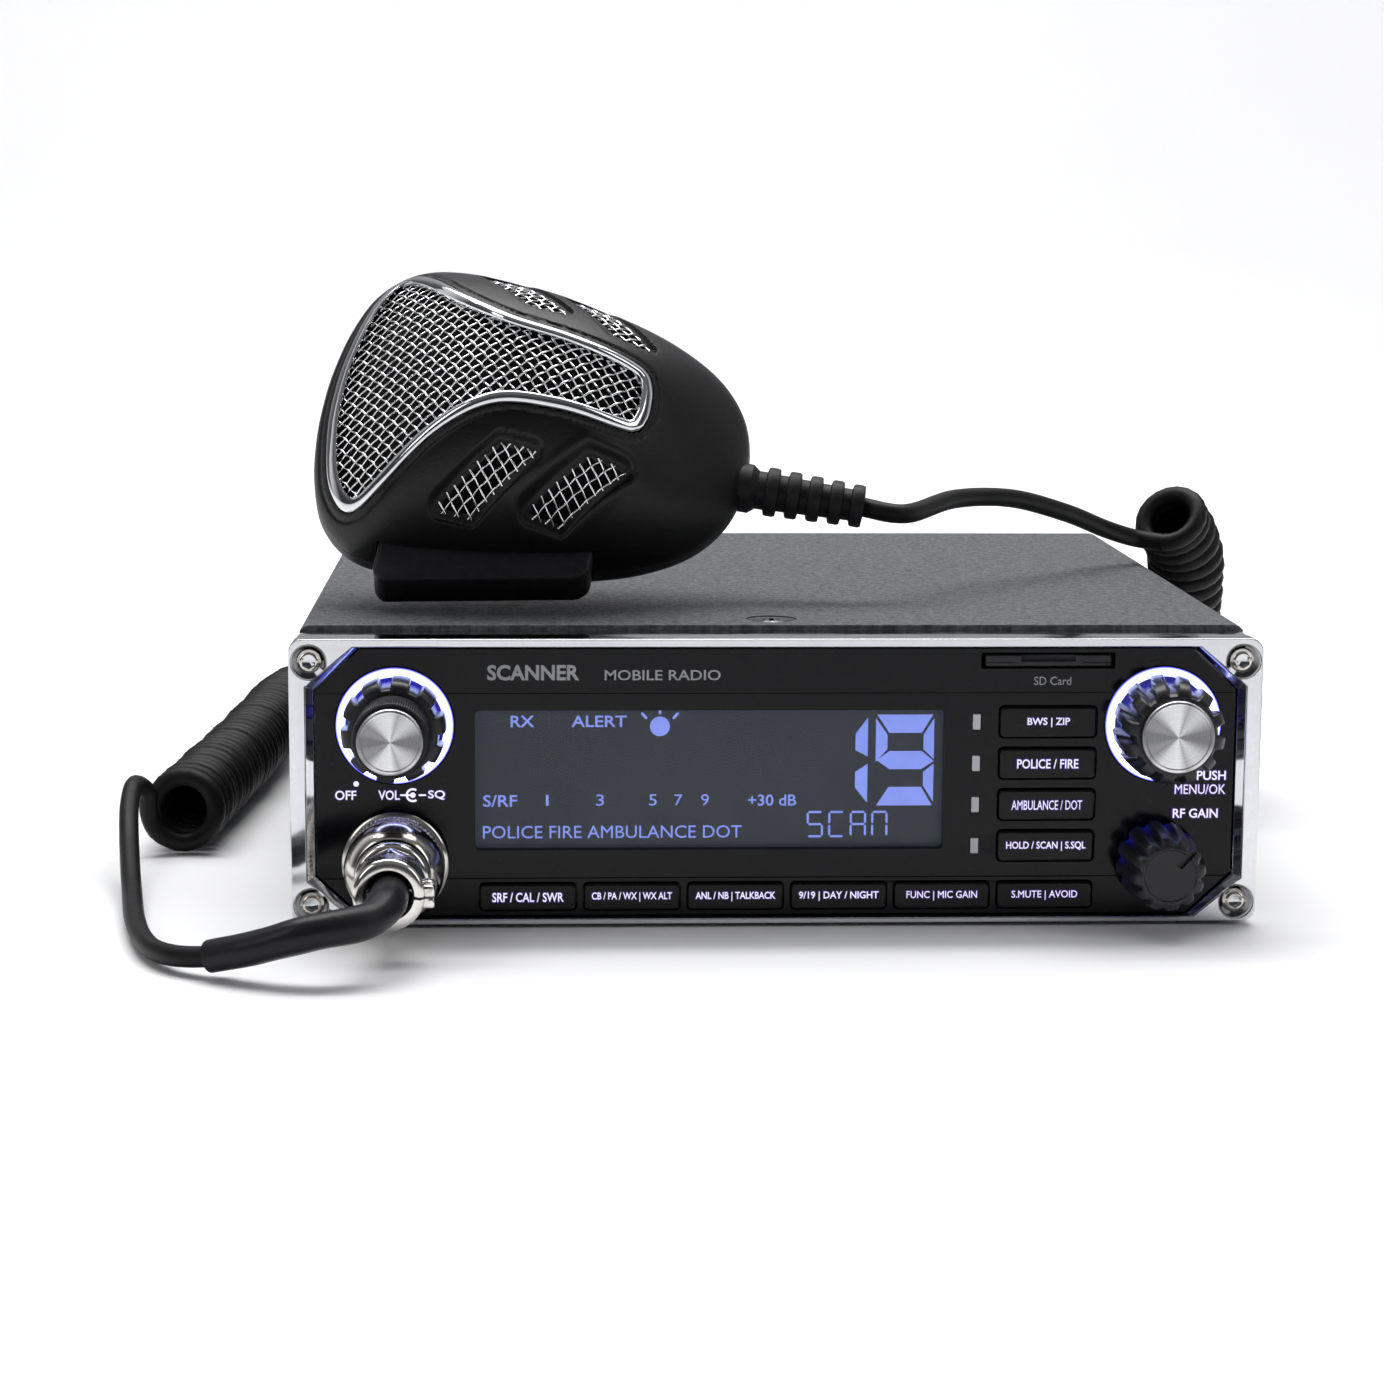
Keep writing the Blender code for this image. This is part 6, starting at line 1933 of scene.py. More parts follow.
@dataclass
class Knobs:
    """The volume, squelch, channel and gain knobs."""

    squelch_lobes: Lobes = Lobes(10, 0.52, 0.09, 8.6 - 9.36)
    channel_lobes: Lobes = Lobes(12, 0.42, 0.14, 4.0, 0.9)
    gain_lobes: Lobes = Lobes(12, 0.30, 0.35, 3.0)
    knurls: int = 96
    knurl_depth: float = 0.16 * MM
    volume_mark: float = 158.0  # degrees anticlockwise from the right
    gain_mark: float = 48.0

    def build_squelch(self) -> None:
        """Make the toothed outer ring on the left."""
        spot, _ = between(*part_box("squelch_ring"))
        sections = (
            (-0.1, 9.9, 8.6), (0.2, 9.95, 8.7), (5.9, 9.75, 8.5), (6.5, 9.55, 8.4), (7.1, 9.1, 8.25),
            (7.4, 8.7, 8.1), (7.5, 8.3, 7.9), (7.5, 7.7, 7.6),
        )
        ring = lobed_knob("teeth", spot, sections, self.squelch_lobes)
        finish = dress(PaintedGlowKnobPlastic("squelch_plastic", spot, 8.6 * MM, 6.0 * MM, 0.9))
        hub = pin(spot, 3.0, -12.0, 0.5)
        solid = carved(carved(ring, hub, operation="UNION"), pin(spot, 1.55, -14.0, 9.0))
        mesh = gathered("squelch_teeth", [(solid, finish)])
        show("squelch_teeth", mesh, "squelch", None, ["squelch_ring"])

    def build_volume(self) -> None:
        """Make the knurled volume knob."""
        low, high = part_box("volume_knob")
        spot, size = between(low, high)
        full = size[0] / 2
        back, front = FRONT - high.y, FRONT - low.y
        rings = (
            (back, full - 0.35 * MM, 0.0), (back + 0.25 * MM, full, 0.0), (back + 2.2 * MM, full, 0.0),
            (back + 2.5 * MM, full - 0.05 * MM, 1.0), (front - 0.75 * MM, full - 0.05 * MM, 1.0),
            (front - 0.35 * MM, full - 0.35 * MM, 0.5), (front - 0.1 * MM, full - 0.8 * MM, 0.0),
            (front, full - 1.1 * MM, 0.0),
        )

        def reach(angle: float, row: int) -> float:
            """Give the radius for an angle on one ring."""
            _, radius, share = rings[row]
            wave = 0.5 - 0.5 * math.cos(self.knurls * angle)
            return radius - share * self.knurl_depth * wave

        body = polar("knurled", spot, [out for out, _, _ in rings], reach, self.knurls * 6)
        mark = turned(rounded_box((6.9 * MM, 0.0), (2.6 * MM, 0.9 * MM), 0.35 * MM), spot, self.volume_mark)
        body = carved(body, slab("pointer", [mark], -17.0 * MM, -15.4 * MM))
        show("volume_grip", body, "volume", Plastics.KNOB, ["volume_knob"])
        spun_cap("volume_knob_cap")

    def build_channel(self) -> None:
        """Make the lobed channel knob."""
        spot, _ = between(*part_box("channel_knob"))
        sections = (
            (-0.1, 9.9, 8.3), (0.2, 10.0, 8.4), (4.0, 10.0, 8.3), (8.6, 9.9, 8.2), (10.2, 9.65, 8.1),
            (11.2, 9.2, 8.0), (11.9, 8.6, 7.8), (12.3, 7.95, 7.5), (12.4, 7.4, 7.2),
        )
        knob = lobed_knob("lobes", spot, sections, self.channel_lobes)
        bore = pin(spot, 1.7, -2.0, 10.4)
        finish = dress(PaintedGlowKnobPlastic("channel_plastic", spot, 8.4 * MM, 6.0 * MM, 0.6))
        mesh = gathered("channel_grip", [(carved(knob, bore), finish)])
        show("channel_grip", mesh, "channel", None, ["channel_knob"])
        spun_cap("channel_knob_cap")

    def build_gain(self) -> None:
        """Make the scalloped gain knob with its pointer notch."""
        spot, _ = between(*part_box("rf_gain_knob"))
        sections = (
            (-0.1, 8.1, 7.2), (4.0, 8.0, 7.05), (8.0, 7.6, 6.7), (11.0, 7.1, 6.2), (12.2, 6.75, 5.9),
            (12.8, 6.1, 5.6), (13.0, 5.5, 5.3), (13.0, 5.1, 5.05), (12.75, 4.85, 4.8),
        )
        knob = lobed_knob("scallops", spot, sections, self.gain_lobes)
        mark = turned(rounded_box((4.5 * MM, 0.0), (4.4 * MM, 1.5 * MM), 0.3 * MM, 3), spot, self.gain_mark)
        notch = slab("notch", [mark], -14.0 * MM, -11.8 * MM)
        knob = carved(carved(knob, notch), pin(spot, 1.4, -14.0, 0.5), operation="UNION")
        finish = dress(PaintedGlowKnobPlastic("gain_plastic", spot, 7.2 * MM, 8.0 * MM, 0.20))
        mesh = gathered("gain_grip", [(knob, finish)])
        show("gain_grip", mesh, "rf_gain", None, ["rf_gain_knob"])

    def build(self) -> None:
        """Build and dress every knob."""
        self.build_squelch()
        self.build_volume()
        self.build_channel()
        self.build_gain()


@dataclass
class LightGuide:
    """Light rings behind the two big knobs, and the bar that joins them."""

    inner: float = 9.3 * MM
    outer: float = 11.1 * MM
    face: float = -0.9 * MM
    web: tuple[float, float] = (-2.8 * MM, -5.2 * MM)
    bush: float = 4.5 * MM

    def build(self) -> None:
        """Build and dress the guide."""
        low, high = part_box("knob_light_guide")
        spots = tuple(between(*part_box(node))[0] for node in ("squelch_ring", "channel_knob"))
        glow = dress(RingLight("ring_light", spots, self.inner, self.outer))
        near, far = self.web
        edge = 0.2 * MM
        ring = [
            (self.outer, self.face - edge), (self.outer, near), (self.inner, near),
            (self.inner, self.face - edge), (self.inner + edge, self.face), (self.outer - edge, self.face),
        ]
        back = near - 0.02 * MM
        web = [(self.outer, back), (self.outer, far), (self.bush, far), (self.bush, back)]
        milky = dress(Plastics.LENS)
        parts = []
        for spot in spots:
            parts += [(lathe("ring", ring, spot, 160), glow), (lathe("web", web, spot, 96), milky)]
        height = spots[0][1] + 5.7 * MM
        bar = block(
            "bar", (spots[0][0] + self.outer, FRONT - near + 2 * MM, height),
            (spots[1][0] - self.outer, high.y, height + 2 * MM), 0.2 * MM,
        )
        parts.append((bar, milky))
        show("light_rings", gathered("light_rings", parts), "radio", None, ["knob_light_guide"])


@dataclass
class Plug:
    """The microphone plug: knurled coupling ring, stepped shell and cord clamp."""

    knurls: int = 64
    knurl_depth: float = 0.28 * MM

    def build_ring(self) -> None:
        """Make the coupling ring with its diamond knurl."""
        low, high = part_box("coupling_ring")
        spot, _ = between(low, high)
        band_back, band_front = 1.9, 6.1
        rows = 12
        steps = [band_back + (band_front - band_back) * row / rows for row in range(rows + 1)]
        sections = [(0.1, 9.7, 0.0), (0.35, 10.05, 0.0), (1.2, 10.1, 0.0), (1.5, 9.85, 0.0), (1.7, 9.3, 0.0)]
        sections += [(step, 9.45, 1.0) for step in steps]
        sections += [
            (6.3, 9.25, 0.0), (6.6, 9.45, 0.0), (7.6, 9.4, 0.0), (9.0, 9.1, 0.0), (10.2, 8.6, 0.0),
            (11.2, 8.0, 0.0), (11.8, 7.5, 0.0), (12.0, 7.25, 0.0),
        ]

        def reach(angle: float, row: int) -> float:
            """Give the radius for an angle on one ring."""
            out, radius, share = sections[row]
            lead = out * 8.2
            cross = abs(math.sin((self.knurls * angle + lead) / 2)) * abs(math.sin((self.knurls * angle - lead) / 2))
            return (radius * MM) - share * self.knurl_depth * (1.0 - min(cross * 2.2, 1.0))

        ring = polar("knurled", spot, [out * MM for out, _, _ in sections], reach, self.knurls * 8)
        bore = [(0.0, -1.0), (8.1, -1.0), (8.1, 9.0), (7.15, 9.0), (7.15, 14.0), (0.0, 14.0)]
        ring = carved(ring, lathe("bore", millimetres(bore), spot, 96))
        show("knurled_ring", ring, "coupling", Metals.NICKEL, ["coupling_ring"])

    def build_shell(self) -> None:
        """Make the stepped shell behind the coupling ring, and its clamp."""
        spot, _ = between(*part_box("plug_shell"))
        nickel = dress(Metals.NICKEL)
        shell = [
            (0.0, 6.3), (7.8, 6.3), (7.8, 8.7), (6.9, 8.7), (6.9, 12.4), (7.0, 12.6), (7.0, 14.9), (6.75, 15.4),
            (6.2, 15.7), (5.7, 15.8), (5.6, 16.4), (5.6, 17.2), (5.0, 17.2), (5.0, 22.2), (0.0, 22.2),
        ]
        body = lathe("body", millimetres(shell), spot, 96)
        nose = lathe("nose", millimetres([(0.0, -2.2), (6.1, -2.2), (6.1, 6.2), (0.0, 6.2)]), spot, 64)
        corners = 8

        def reach(angle: float, row: int) -> float:
            """Give the radius of the eight-sided collar."""
            flat = math.pi / corners
            inside = math.cos(flat) / math.cos((angle % (2 * flat)) - flat)
            return (6.5, 6.75, 6.75, 6.35, 5.6)[row] * MM * (inside if row < 4 else min(inside * 1.02, 1.0))

        collar = polar("collar", spot, [out * MM for out in (16.9, 17.2, 19.4, 20.6, 21.4)], reach, corners * 12)
        clamp_profile = [
            (4.3, 21.9), (6.3, 21.9), (6.6, 22.2), (6.6, 27.2), (6.3, 27.7), (5.6, 28.0), (4.7, 28.0), (4.3, 27.6),
        ]
        clamp = lathe("clamp", millimetres(clamp_profile), spot, 96)
        x, z = spot
        lug = block(
            "lug", (x + 4.9 * MM, FRONT - 27.0 * MM, z - 2.6 * MM), (x + 8.3 * MM, FRONT - 22.3 * MM, z + 1.6 * MM),
            0.5 * MM,
        )
        clamp = carved(clamp, lug, operation="UNION")
        slit = block(
            "slit", (x + 3.0 * MM, FRONT - 30.0 * MM, z - 0.75 * MM), (x + 10 * MM, FRONT - 21.0 * MM, z - 0.35 * MM)
        )
        clamp = rounded(carved(clamp, slit), 0.10 * MM, 2, 50.0)
        screw = cross_head(1.5 * MM, 0.9 * MM)
        screw.transform(Matrix.Translation((x + 6.9 * MM, FRONT - 24.7 * MM, z + 1.55 * MM)))
        parts = [(mesh, nickel) for mesh in (body, nose, collar, clamp)] + [(screw, dress(Metals.SCREW))]
        show("plug_body", gathered("plug_body", parts), "radio", None, ["plug_shell"])

    def build(self) -> None:
        """Build and dress the plug."""
        self.build_ring()
        self.build_shell()


@dataclass
class Card:
    """The memory card in its slot."""

    def build(self) -> None:
        """Build and dress the card."""
        low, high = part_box("sd_card")
        middle = (low.x + high.x) / 2
        body = block("card", low, high, 0.25 * MM)
        grip = block(
            "grip", (middle - 5.2 * MM, low.y - MM, low.z + 0.9 * MM),
            (middle + 5.2 * MM, low.y + 0.8 * MM, high.z + MM),
        )
        lines = [
            block("line", (left, low.y - MM, low.z + 0.62 * MM), (right, low.y + 0.3 * MM, low.z + 0.75 * MM))
            for left, right in ((low.x - MM, middle - 6.4 * MM), (middle + 6.4 * MM, high.x + MM))
        ]
        mesh = rounded(carved(body, grip, *lines), 0.06 * MM, 2)
        show("card_body", mesh, "card", Plastics.CARD, ["sd_card"])


# ---------------------------------------------------------------- microphone


def signed_distance(points: np.ndarray, outline: Sequence[Point2]) -> np.ndarray:
    """Give each point's distance to an outline, above zero inside it.

    Args:
        points: An array of X and Y.
        outline: The outline's corners in order.

    Returns:
        The distances.
    """
    corners = np.array(outline)
    after = np.roll(corners, -1, axis=0)
    nearest = np.full(len(points), np.inf)
    inside = np.zeros(len(points), bool)
    for a, b in zip(corners, after):
        edge = b - a
        share = np.clip(((points - a) @ edge) / max(edge @ edge, 1e-18), 0.0, 1.0)
        away = points - a - share[:, None] * edge
        nearest = np.minimum(nearest, np.hypot(away[:, 0], away[:, 1]))
        spans = (a[1] > points[:, 1]) != (b[1] > points[:, 1])
        rise = b[1] - a[1] if abs(b[1] - a[1]) > 1e-12 else 1e-12
        inside ^= spans & (points[:, 0] < (b[0] - a[0]) * (points[:, 1] - a[1]) / rise + a[0])
    return np.where(inside, nearest, -nearest)


def smooth_step(values: np.ndarray, low: float, high: float) -> np.ndarray:
    """Give a smooth rise from 0 at low to 1 at high."""
    share = np.clip((values - low) / (high - low), 0.0, 1.0)
    return share * share * (3.0 - 2.0 * share)


@dataclass
class MicForm:
    """The microphone's own frame, outlines and domed surface."""

    slope: float = math.radians(10.5)
    lean: float = math.radians(36.0)
    x: float = -42.5 * MM
    depth: float = 57.0 * MM
    front_rise: float = 31.0 * MM
    front_power: float = 1.8
    back_power: float = 3.2
    back_rise: float = 13.5 * MM
    seam: float = 0.15 * MM
    centre: Point2 = (-4.0 * MM, 0.0)
    body_stations: tuple[Point2, ...] = (
        (-48.0, 0.0), (-47.6, 8.3), (-46.0, 17.8), (-42.6, 26.8), (-36.5, 32.4), (-28.0, 33.8), (-14.0, 32.6),
        (0.0, 30.6), (12.0, 28.2), (22.0, 25.4), (30.5, 21.0), (36.0, 15.4), (39.2, 8.6), (40.4, 0.0),
    )
    grille_stations: tuple[Point2, ...] = (
        (-45.4, 0.0), (-44.8, 9.0), (-42.4, 20.0), (-38.6, 26.6), (-34.6, 28.0), (-30.0, 25.0), (-20.5, 16.2),
        (-10.0, 10.4), (2.0, 8.8), (14.0, 8.0), (18.0, 6.6), (19.4, 3.4), (19.7, 0.0),
    )

    def matrix(self) -> Matrix:
        """Give the microphone's place: X along it, Y across it and Z out of its face."""
        up = Vector((0.0, math.sin(self.lean), math.cos(self.lean)))
        along = Vector((math.cos(self.slope), 0.0, 0.0)) - math.sin(self.slope) * up
        normal = Vector((0.0, -math.cos(self.lean), math.sin(self.lean)))
        along.normalize()
        normal = (normal - along * normal.dot(along)).normalized()
        turn = Matrix((along, normal.cross(along), normal)).transposed()
        place = Vector((self.x, FRONT + self.depth, 0.0))
        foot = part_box("ptt_button")[0].z
        bar = [turn @ Vector(corner) for corner in MicBar().corners()]
        place.z = foot - min(corner.z for corner in bar)
        return Matrix.Translation(place) @ turn.to_4x4()

    def outline(self, stations: Sequence[Point2], steps: int = 24) -> Outline:
        """Give a closed symmetric outline through stations along the microphone."""
        upper = [Vector((x * MM, y * MM, 0.0)) for x, y in stations]
        knots = upper + [Vector((point.x, -point.y, 0.0)) for point in reversed(upper[1:-1])]
        count = len(knots)
        points = []
        for index in range(count):
            four = [knots[(index + offset) % count] for offset in (-1, 0, 1, 2)]
            points += [catmull_rom(*four, step / steps) for step in range(steps)]
        return [(point.x, point.y) for point in points]

    def slots(self) -> list[Outline]:
        """Give the four slanted sound slots."""
        corners = ((-18.0, 27.2), (-11.5, 27.2), (-1.0, 16.7), (-7.5, 16.7))
        made = []
        for mirror in (1.0, -1.0):
            for shift in (0.0, 17.5):
                made.append([((x + shift) * MM, mirror * (y - 0.12 * shift) * MM) for x, y in corners])
        return made

    def reach(self, angles: np.ndarray) -> np.ndarray:
        """Give how far the body's outline lies from the centre at some angles."""
        rim = np.array(self.outline(self.body_stations)) - np.array(self.centre)
        turns, far = np.arctan2(rim[:, 1], rim[:, 0]), np.hypot(rim[:, 0], rim[:, 1])
        order = np.argsort(turns)
        return np.interp(angles, turns[order], far[order], period=math.tau)

    def height(self, x: np.ndarray, y: np.ndarray, rise: float, power: float = 1.8) -> np.ndarray:
        """Give the height of the domed face over points of the microphone's plane.

        Args:
            x: Places along the microphone.
            y: Places across it.
            rise: The greatest height.
            power: How square the dome is; 2 is round.

        Returns:
            Heights above the seam.
        """
        dx, dy = x - self.centre[0], y - self.centre[1]
        share = np.clip(np.hypot(dx, dy) / self.reach(np.arctan2(dy, dx)), 0.0, 1.0)
        along = np.clip((x + 48.5 * MM) / (91.0 * MM), 0.0, 1.0)
        crest = rise * (0.62 + 0.62 * np.sin(math.pi * along ** 0.85)) / 1.24
        return crest * (1.0 - share ** power) ** (1.0 / power)


@dataclass
class MicBar:
    """Outline of the talk bar in the microphone's frame."""

    ends: Point2 = (-29.5 * MM, 13.0 * MM)
    faces: Point2 = (-40.8 * MM, -33.2 * MM)
    inside: float = -25.0 * MM
    low: float = -4.0 * MM
    high: float = 6.0 * MM

    def outline(self) -> Outline:
        """Give the bar's outline seen from the front."""
        (left, right), (deep_left, deep_right) = self.ends, self.faces
        step = 2.0 * MM
        return [
            (left, self.inside), (left, deep_left + step), (left + step, deep_left),
            (right - step, deep_right), (right, deep_right + step), (right, self.inside),
        ]

    def corners(self) -> list[tuple[float, float, float]]:
        """Give all its corners."""
        return [(x, y, z) for x, y in self.outline() for z in (self.low, self.high)]

    def solid(self, grow: float = 0.0, deeper: float = 0.0) -> Mesh:
        """Give the bar as a mesh, or its pocket when it is grown."""
        outline = self.outline()
        middle = sum(x for x, _ in outline) / len(outline)
        moved = []
        for x, y in outline:
            side = grow if x > middle else -grow
            moved.append((x + side, y + (deeper if y == self.inside else -20.0 * grow)))
        rings = [[Vector((x, y, z)) for x, y in moved] for z in (self.low - grow, self.high + grow)]
        return to_mesh("bar", loft(rings))


@dataclass
class Microphone:
    """The hand microphone: shells, grille, talk bar and strain relief."""

    form: MicForm
    across: int = 110
    round: int = 540
    lining: float = 4.6 * MM
    recess: float = 1.5 * MM
    trim_width: float = 2.3 * MM
    pitch: float = 1.85 * MM
    wire: float = 0.22 * MM
    wave: float = 0.23 * MM
    mesh_under: float = 1.5 * MM
    ribs: int = 5
    relief_at: Point2 = (-2.5 * MM, -1.0 * MM)
    relief_radii: Point2 = (5.0 * MM, 4.2 * MM)
    relief_length: float = 24.0 * MM

    def dome(self, name: str, rise: float, power: float, rings: int, sides: int) -> BMesh:
        """Make a smooth closed dome on the body's outline, its flat side at the seam."""
        sign = 1.0 if rise > 0 else -1.0
        angles = np.linspace(0.0, math.tau, sides, endpoint=False)
        far = self.form.reach(angles)
        shares = np.sin(np.linspace(math.pi / 2, 0.0, rings + 1)[:-1]) ** 0.9
        cx, cy = self.form.centre
        shape = bmesh.new()
        made = []
        for share in shares:
            x = cx + np.cos(angles) * far * share
            y = cy + np.sin(angles) * far * share
            z = sign * (self.form.seam + self.form.height(x, y, abs(rise), power))
            if share == shares[0]:
                z = np.full(sides, sign * self.form.seam)
            made.append([shape.verts.new(point) for point in zip(x, y, z)])
        crest = self.form.height(np.array([cx]), np.array([cy]), abs(rise), power)[0]
        top = shape.verts.new((cx, cy, sign * (self.form.seam + crest)))
        for low, high in zip(made, made[1:]):
            for index in range(sides):
                after = (index + 1) % sides
                shape.faces.new((low[index], low[after], high[after], high[index]))
        for index in range(sides):
            shape.faces.new((made[-1][index], made[-1][(index + 1) % sides], top))
        shape.faces.new(list(reversed(made[0])))
        bmesh.ops.recalc_face_normals(shape, faces=shape.faces)
        return shape

    def build_front(self) -> None:
        """Make the front shell with its wells for the grille and the slots."""
        shape = self.dome("front", self.form.front_rise, self.form.front_power, self.across, self.round)
        shape.verts.ensure_lookup_table()
        points = np.array([vertex.co[:] for vertex in shape.verts])
        flat = points[:, :2]
        high = points[:, 2] > self.form.seam + 0.3 * MM
        grille = signed_distance(flat, self.form.outline(self.form.grille_stations, 8))
        depth = smooth_step(grille, -0.2 * MM, 0.5 * MM) * self.lining
        opening = smooth_step(grille, 0.0, 0.6 * MM)
        depth += 0.45 * MM * np.exp(-((grille + 1.3 * MM) / (0.38 * MM)) ** 2)
        depth -= 0.35 * MM * np.exp(-((grille + 0.6 * MM) / (0.45 * MM)) ** 2)
        for slot in self.form.slots():
            near = signed_distance(flat, slot)
            rim = smooth_step(near, -2.3 * MM, -1.2 * MM)
            drop = smooth_step(near, -0.1 * MM, 0.55 * MM)
            depth = np.maximum(depth, self.recess * rim + (self.lining - self.recess) * drop)
            opening = np.maximum(opening, drop)
            ridge = np.exp(-((near + 2.9 * MM) / (0.8 * MM)) ** 2)
            depth -= 0.25 * MM * ridge
        depth *= high
        room = points[:, 2] - self.form.seam - 0.6 * MM
        depth = np.minimum(depth, np.maximum(room, 0.0))
        for vertex, sink in zip(shape.verts, depth):
            vertex.co.z -= sink
        mesh = to_mesh("front_shell", shape, 75.0)
        marks = mesh.attributes.new("opening", "FLOAT", "POINT")
        marks.data.foreach_set("value", opening * high)
        mesh = carved(mesh, MicBar().solid(0.3 * MM, 2.3 * MM))
        self.place("mic_front", mesh, "mic", MicShellPlastic("mic_plastic"), ["mic_front_shell"])

    def build_back(self) -> None:
        """Make the back shell."""
        shape = self.dome("back", -self.form.back_rise, self.form.back_power, 48, 300)
        mesh = carved(to_mesh("back_shell", shape, 75.0), MicBar().solid(0.3 * MM, 2.3 * MM))
        self.place("mic_back", mesh, "mic", MouldedPlastic("mic_back_plastic", grain=0.5), ["mic_back_shell"])

    def build_trim(self) -> None:
        """Make the bright strip round the grille."""
        outline = np.array(self.form.outline(self.form.grille_stations, 12))
        step = np.roll(outline, -1, axis=0) - np.roll(outline, 1, axis=0)
        inward = np.stack([-step[:, 1], step[:, 0]], axis=1)
        inward /= np.hypot(inward[:, 0], inward[:, 1])[:, None]
        middle = np.array(self.form.centre) - outline
        if (inward * middle).sum() < 0:
            inward = -inward
        wide = self.trim_width
        section = (
            (-0.05 * MM, -1.6 * MM), (-0.05 * MM, 0.15 * MM), (0.15 * MM, 0.42 * MM), (0.55 * MM, 0.62 * MM),
            (0.5 * wide, 0.66 * MM), (wide - 0.5 * MM, 0.45 * MM), (wide - 0.15 * MM, 0.12 * MM),
            (wide, -0.30 * MM), (wide, -2.2 * MM),
        )
        rows = []
        for inset, lift in section:
            spots = outline + inward * inset
            heights = self.form.height(spots[:, 0], spots[:, 1], self.form.front_rise) + self.form.seam + lift
            rows.append(np.column_stack([spots, heights]))
        rings = [[Vector(row[index]) for row in rows] for index in range(len(outline))]
        mesh = to_mesh("trim", loft(rings, closed_ends=False), 50.0)
        self.place("grille_trim", mesh, "mic", Metals.CHROME, ["mic_grille_trim"])

    def wire_lines(self, turn: float) -> list[np.ndarray]:
        """Give the centrelines of one family of wires, with their waves.

        Args:
            turn: Which way they run, in degrees from the microphone's length.

        Returns:
            Arrays of points in the microphone's frame.
        """
        along = np.array([math.cos(math.radians(turn)), math.sin(math.radians(turn))])
        aside = np.array([-along[1], along[0]])
        family = 0 if turn > 0 else 1
        windows = [(self.form.outline(self.form.grille_stations, 6), 0.0)]
        windows += [(slot, -0.7 * MM) for slot in self.form.slots()]
        places = np.arange(-70.0 * MM, 70.0 * MM, self.pitch / 7)
        lines = []
        for number in range(-32, 33):
            flat = places[:, None] * along + number * self.pitch * aside
            keep = np.zeros(len(flat), bool)
            for outline, inset in windows:
                keep |= signed_distance(flat, outline) > inset
            height = self.form.height(flat[:, 0], flat[:, 1], self.form.front_rise) + self.form.seam
            wave = self.wave * np.cos(math.pi * (places / self.pitch + number + family))
            points = np.column_stack([flat, height - self.mesh_under + wave])
            ends = np.flatnonzero(np.diff(np.concatenate([[0], keep.astype(int), [0]])))
            lines += [points[a:b] for a, b in zip(ends[::2], ends[1::2]) if b - a > 4]
        return lines

    def build_mesh(self) -> None:
        """Weave the wire cloth behind the grille and the slots."""
        points, edges = [], []
        for line in self.wire_lines(45.0) + self.wire_lines(-45.0):
            first = len(points)
            points += [tuple(point) for point in line]
            edges += [(index, index + 1) for index in range(first, len(points) - 1)]
        lines = bpy.data.meshes.new("wires")
        lines.from_pydata(points, edges, [])
        mesh = grown_by(wire_tree(), lines, {
            "Radius": self.wire, "Sides": 6, "Material": dress(Metals.WIRE),
        })
        self.place("wire_cloth", mesh, "mic", Metals.WIRE, ["mic_mesh"])

    def build_bar(self) -> None:
        """Make the talk bar."""
        mesh = rounded(MicBar().solid(), 1.1 * MM, 4, 30.0)
        self.place("talk_bar", mesh, "ptt", Plastics.BAR, ["ptt_button"])

    def build_relief(self) -> None:
        """Make the ribbed strain relief."""
        start = self.form.body_stations[-1][0] * MM + 0.3 * MM
        wide, narrow = self.relief_radii
        length = self.relief_length
        profile = [(0.0, start - 3.0 * MM), (wide, start - 3.0 * MM), (wide, start + 0.6 * MM)]
        pitch = (length - 2.0 * MM) / self.ribs
        for index in range(self.ribs):
            radius = wide - (wide - narrow) * index / self.ribs
            near = start + 2.0 * MM + index * pitch
            profile += [
                (radius - lower * MM, near + share * pitch) for lower, share in (
                    (1.1, 0.0), (1.1, 0.36), (0.2, 0.42), (0.0, 0.52), (0.0, 0.84), (0.2, 0.96),
                )
            ]
        profile += [(2.4 * MM, start + length), (0.0, start + length)]
        y, z = self.relief_at
        rings = []
        for index in range(48):
            angle = math.tau * index / 48
            rings.append([Vector((out, y + r * math.cos(angle), z + r * math.sin(angle))) for r, out in profile])
        shape = loft(rings, closed_ends=False)
        bmesh.ops.remove_doubles(shape, verts=shape.verts, dist=1e-7)
        bmesh.ops.recalc_face_normals(shape, faces=shape.faces)
        self.place("ribbed_relief", to_mesh("relief", shape), "mic", Plastics.RUBBER, ["mic_strain_relief"])

    def place(
        self, name: str, mesh: Mesh, body: str, finish: object, stands_for: Sequence[str]
    ) -> None:
        """Move a mesh from the microphone's frame to the radio's and show it."""
        mesh.transform(self.form.matrix())
        show(name, mesh, body, finish, stands_for)

    def build(self) -> None:
        """Build and dress the microphone."""
        self.build_front()
        self.build_back()
        self.build_trim()
        self.build_mesh()
        self.build_bar()
        self.build_relief()
        refinish("mic_hanger_stud", Metals.STEEL)


# ---------------------------------------------------------------- cords


def behind_front(x: float, depth: float, z: float) -> Vector:
    """Give a place in metres from millimetres: X, depth behind the bezel's front plane, and height."""
    return Vector((x * MM, FRONT + depth * MM, z * MM))


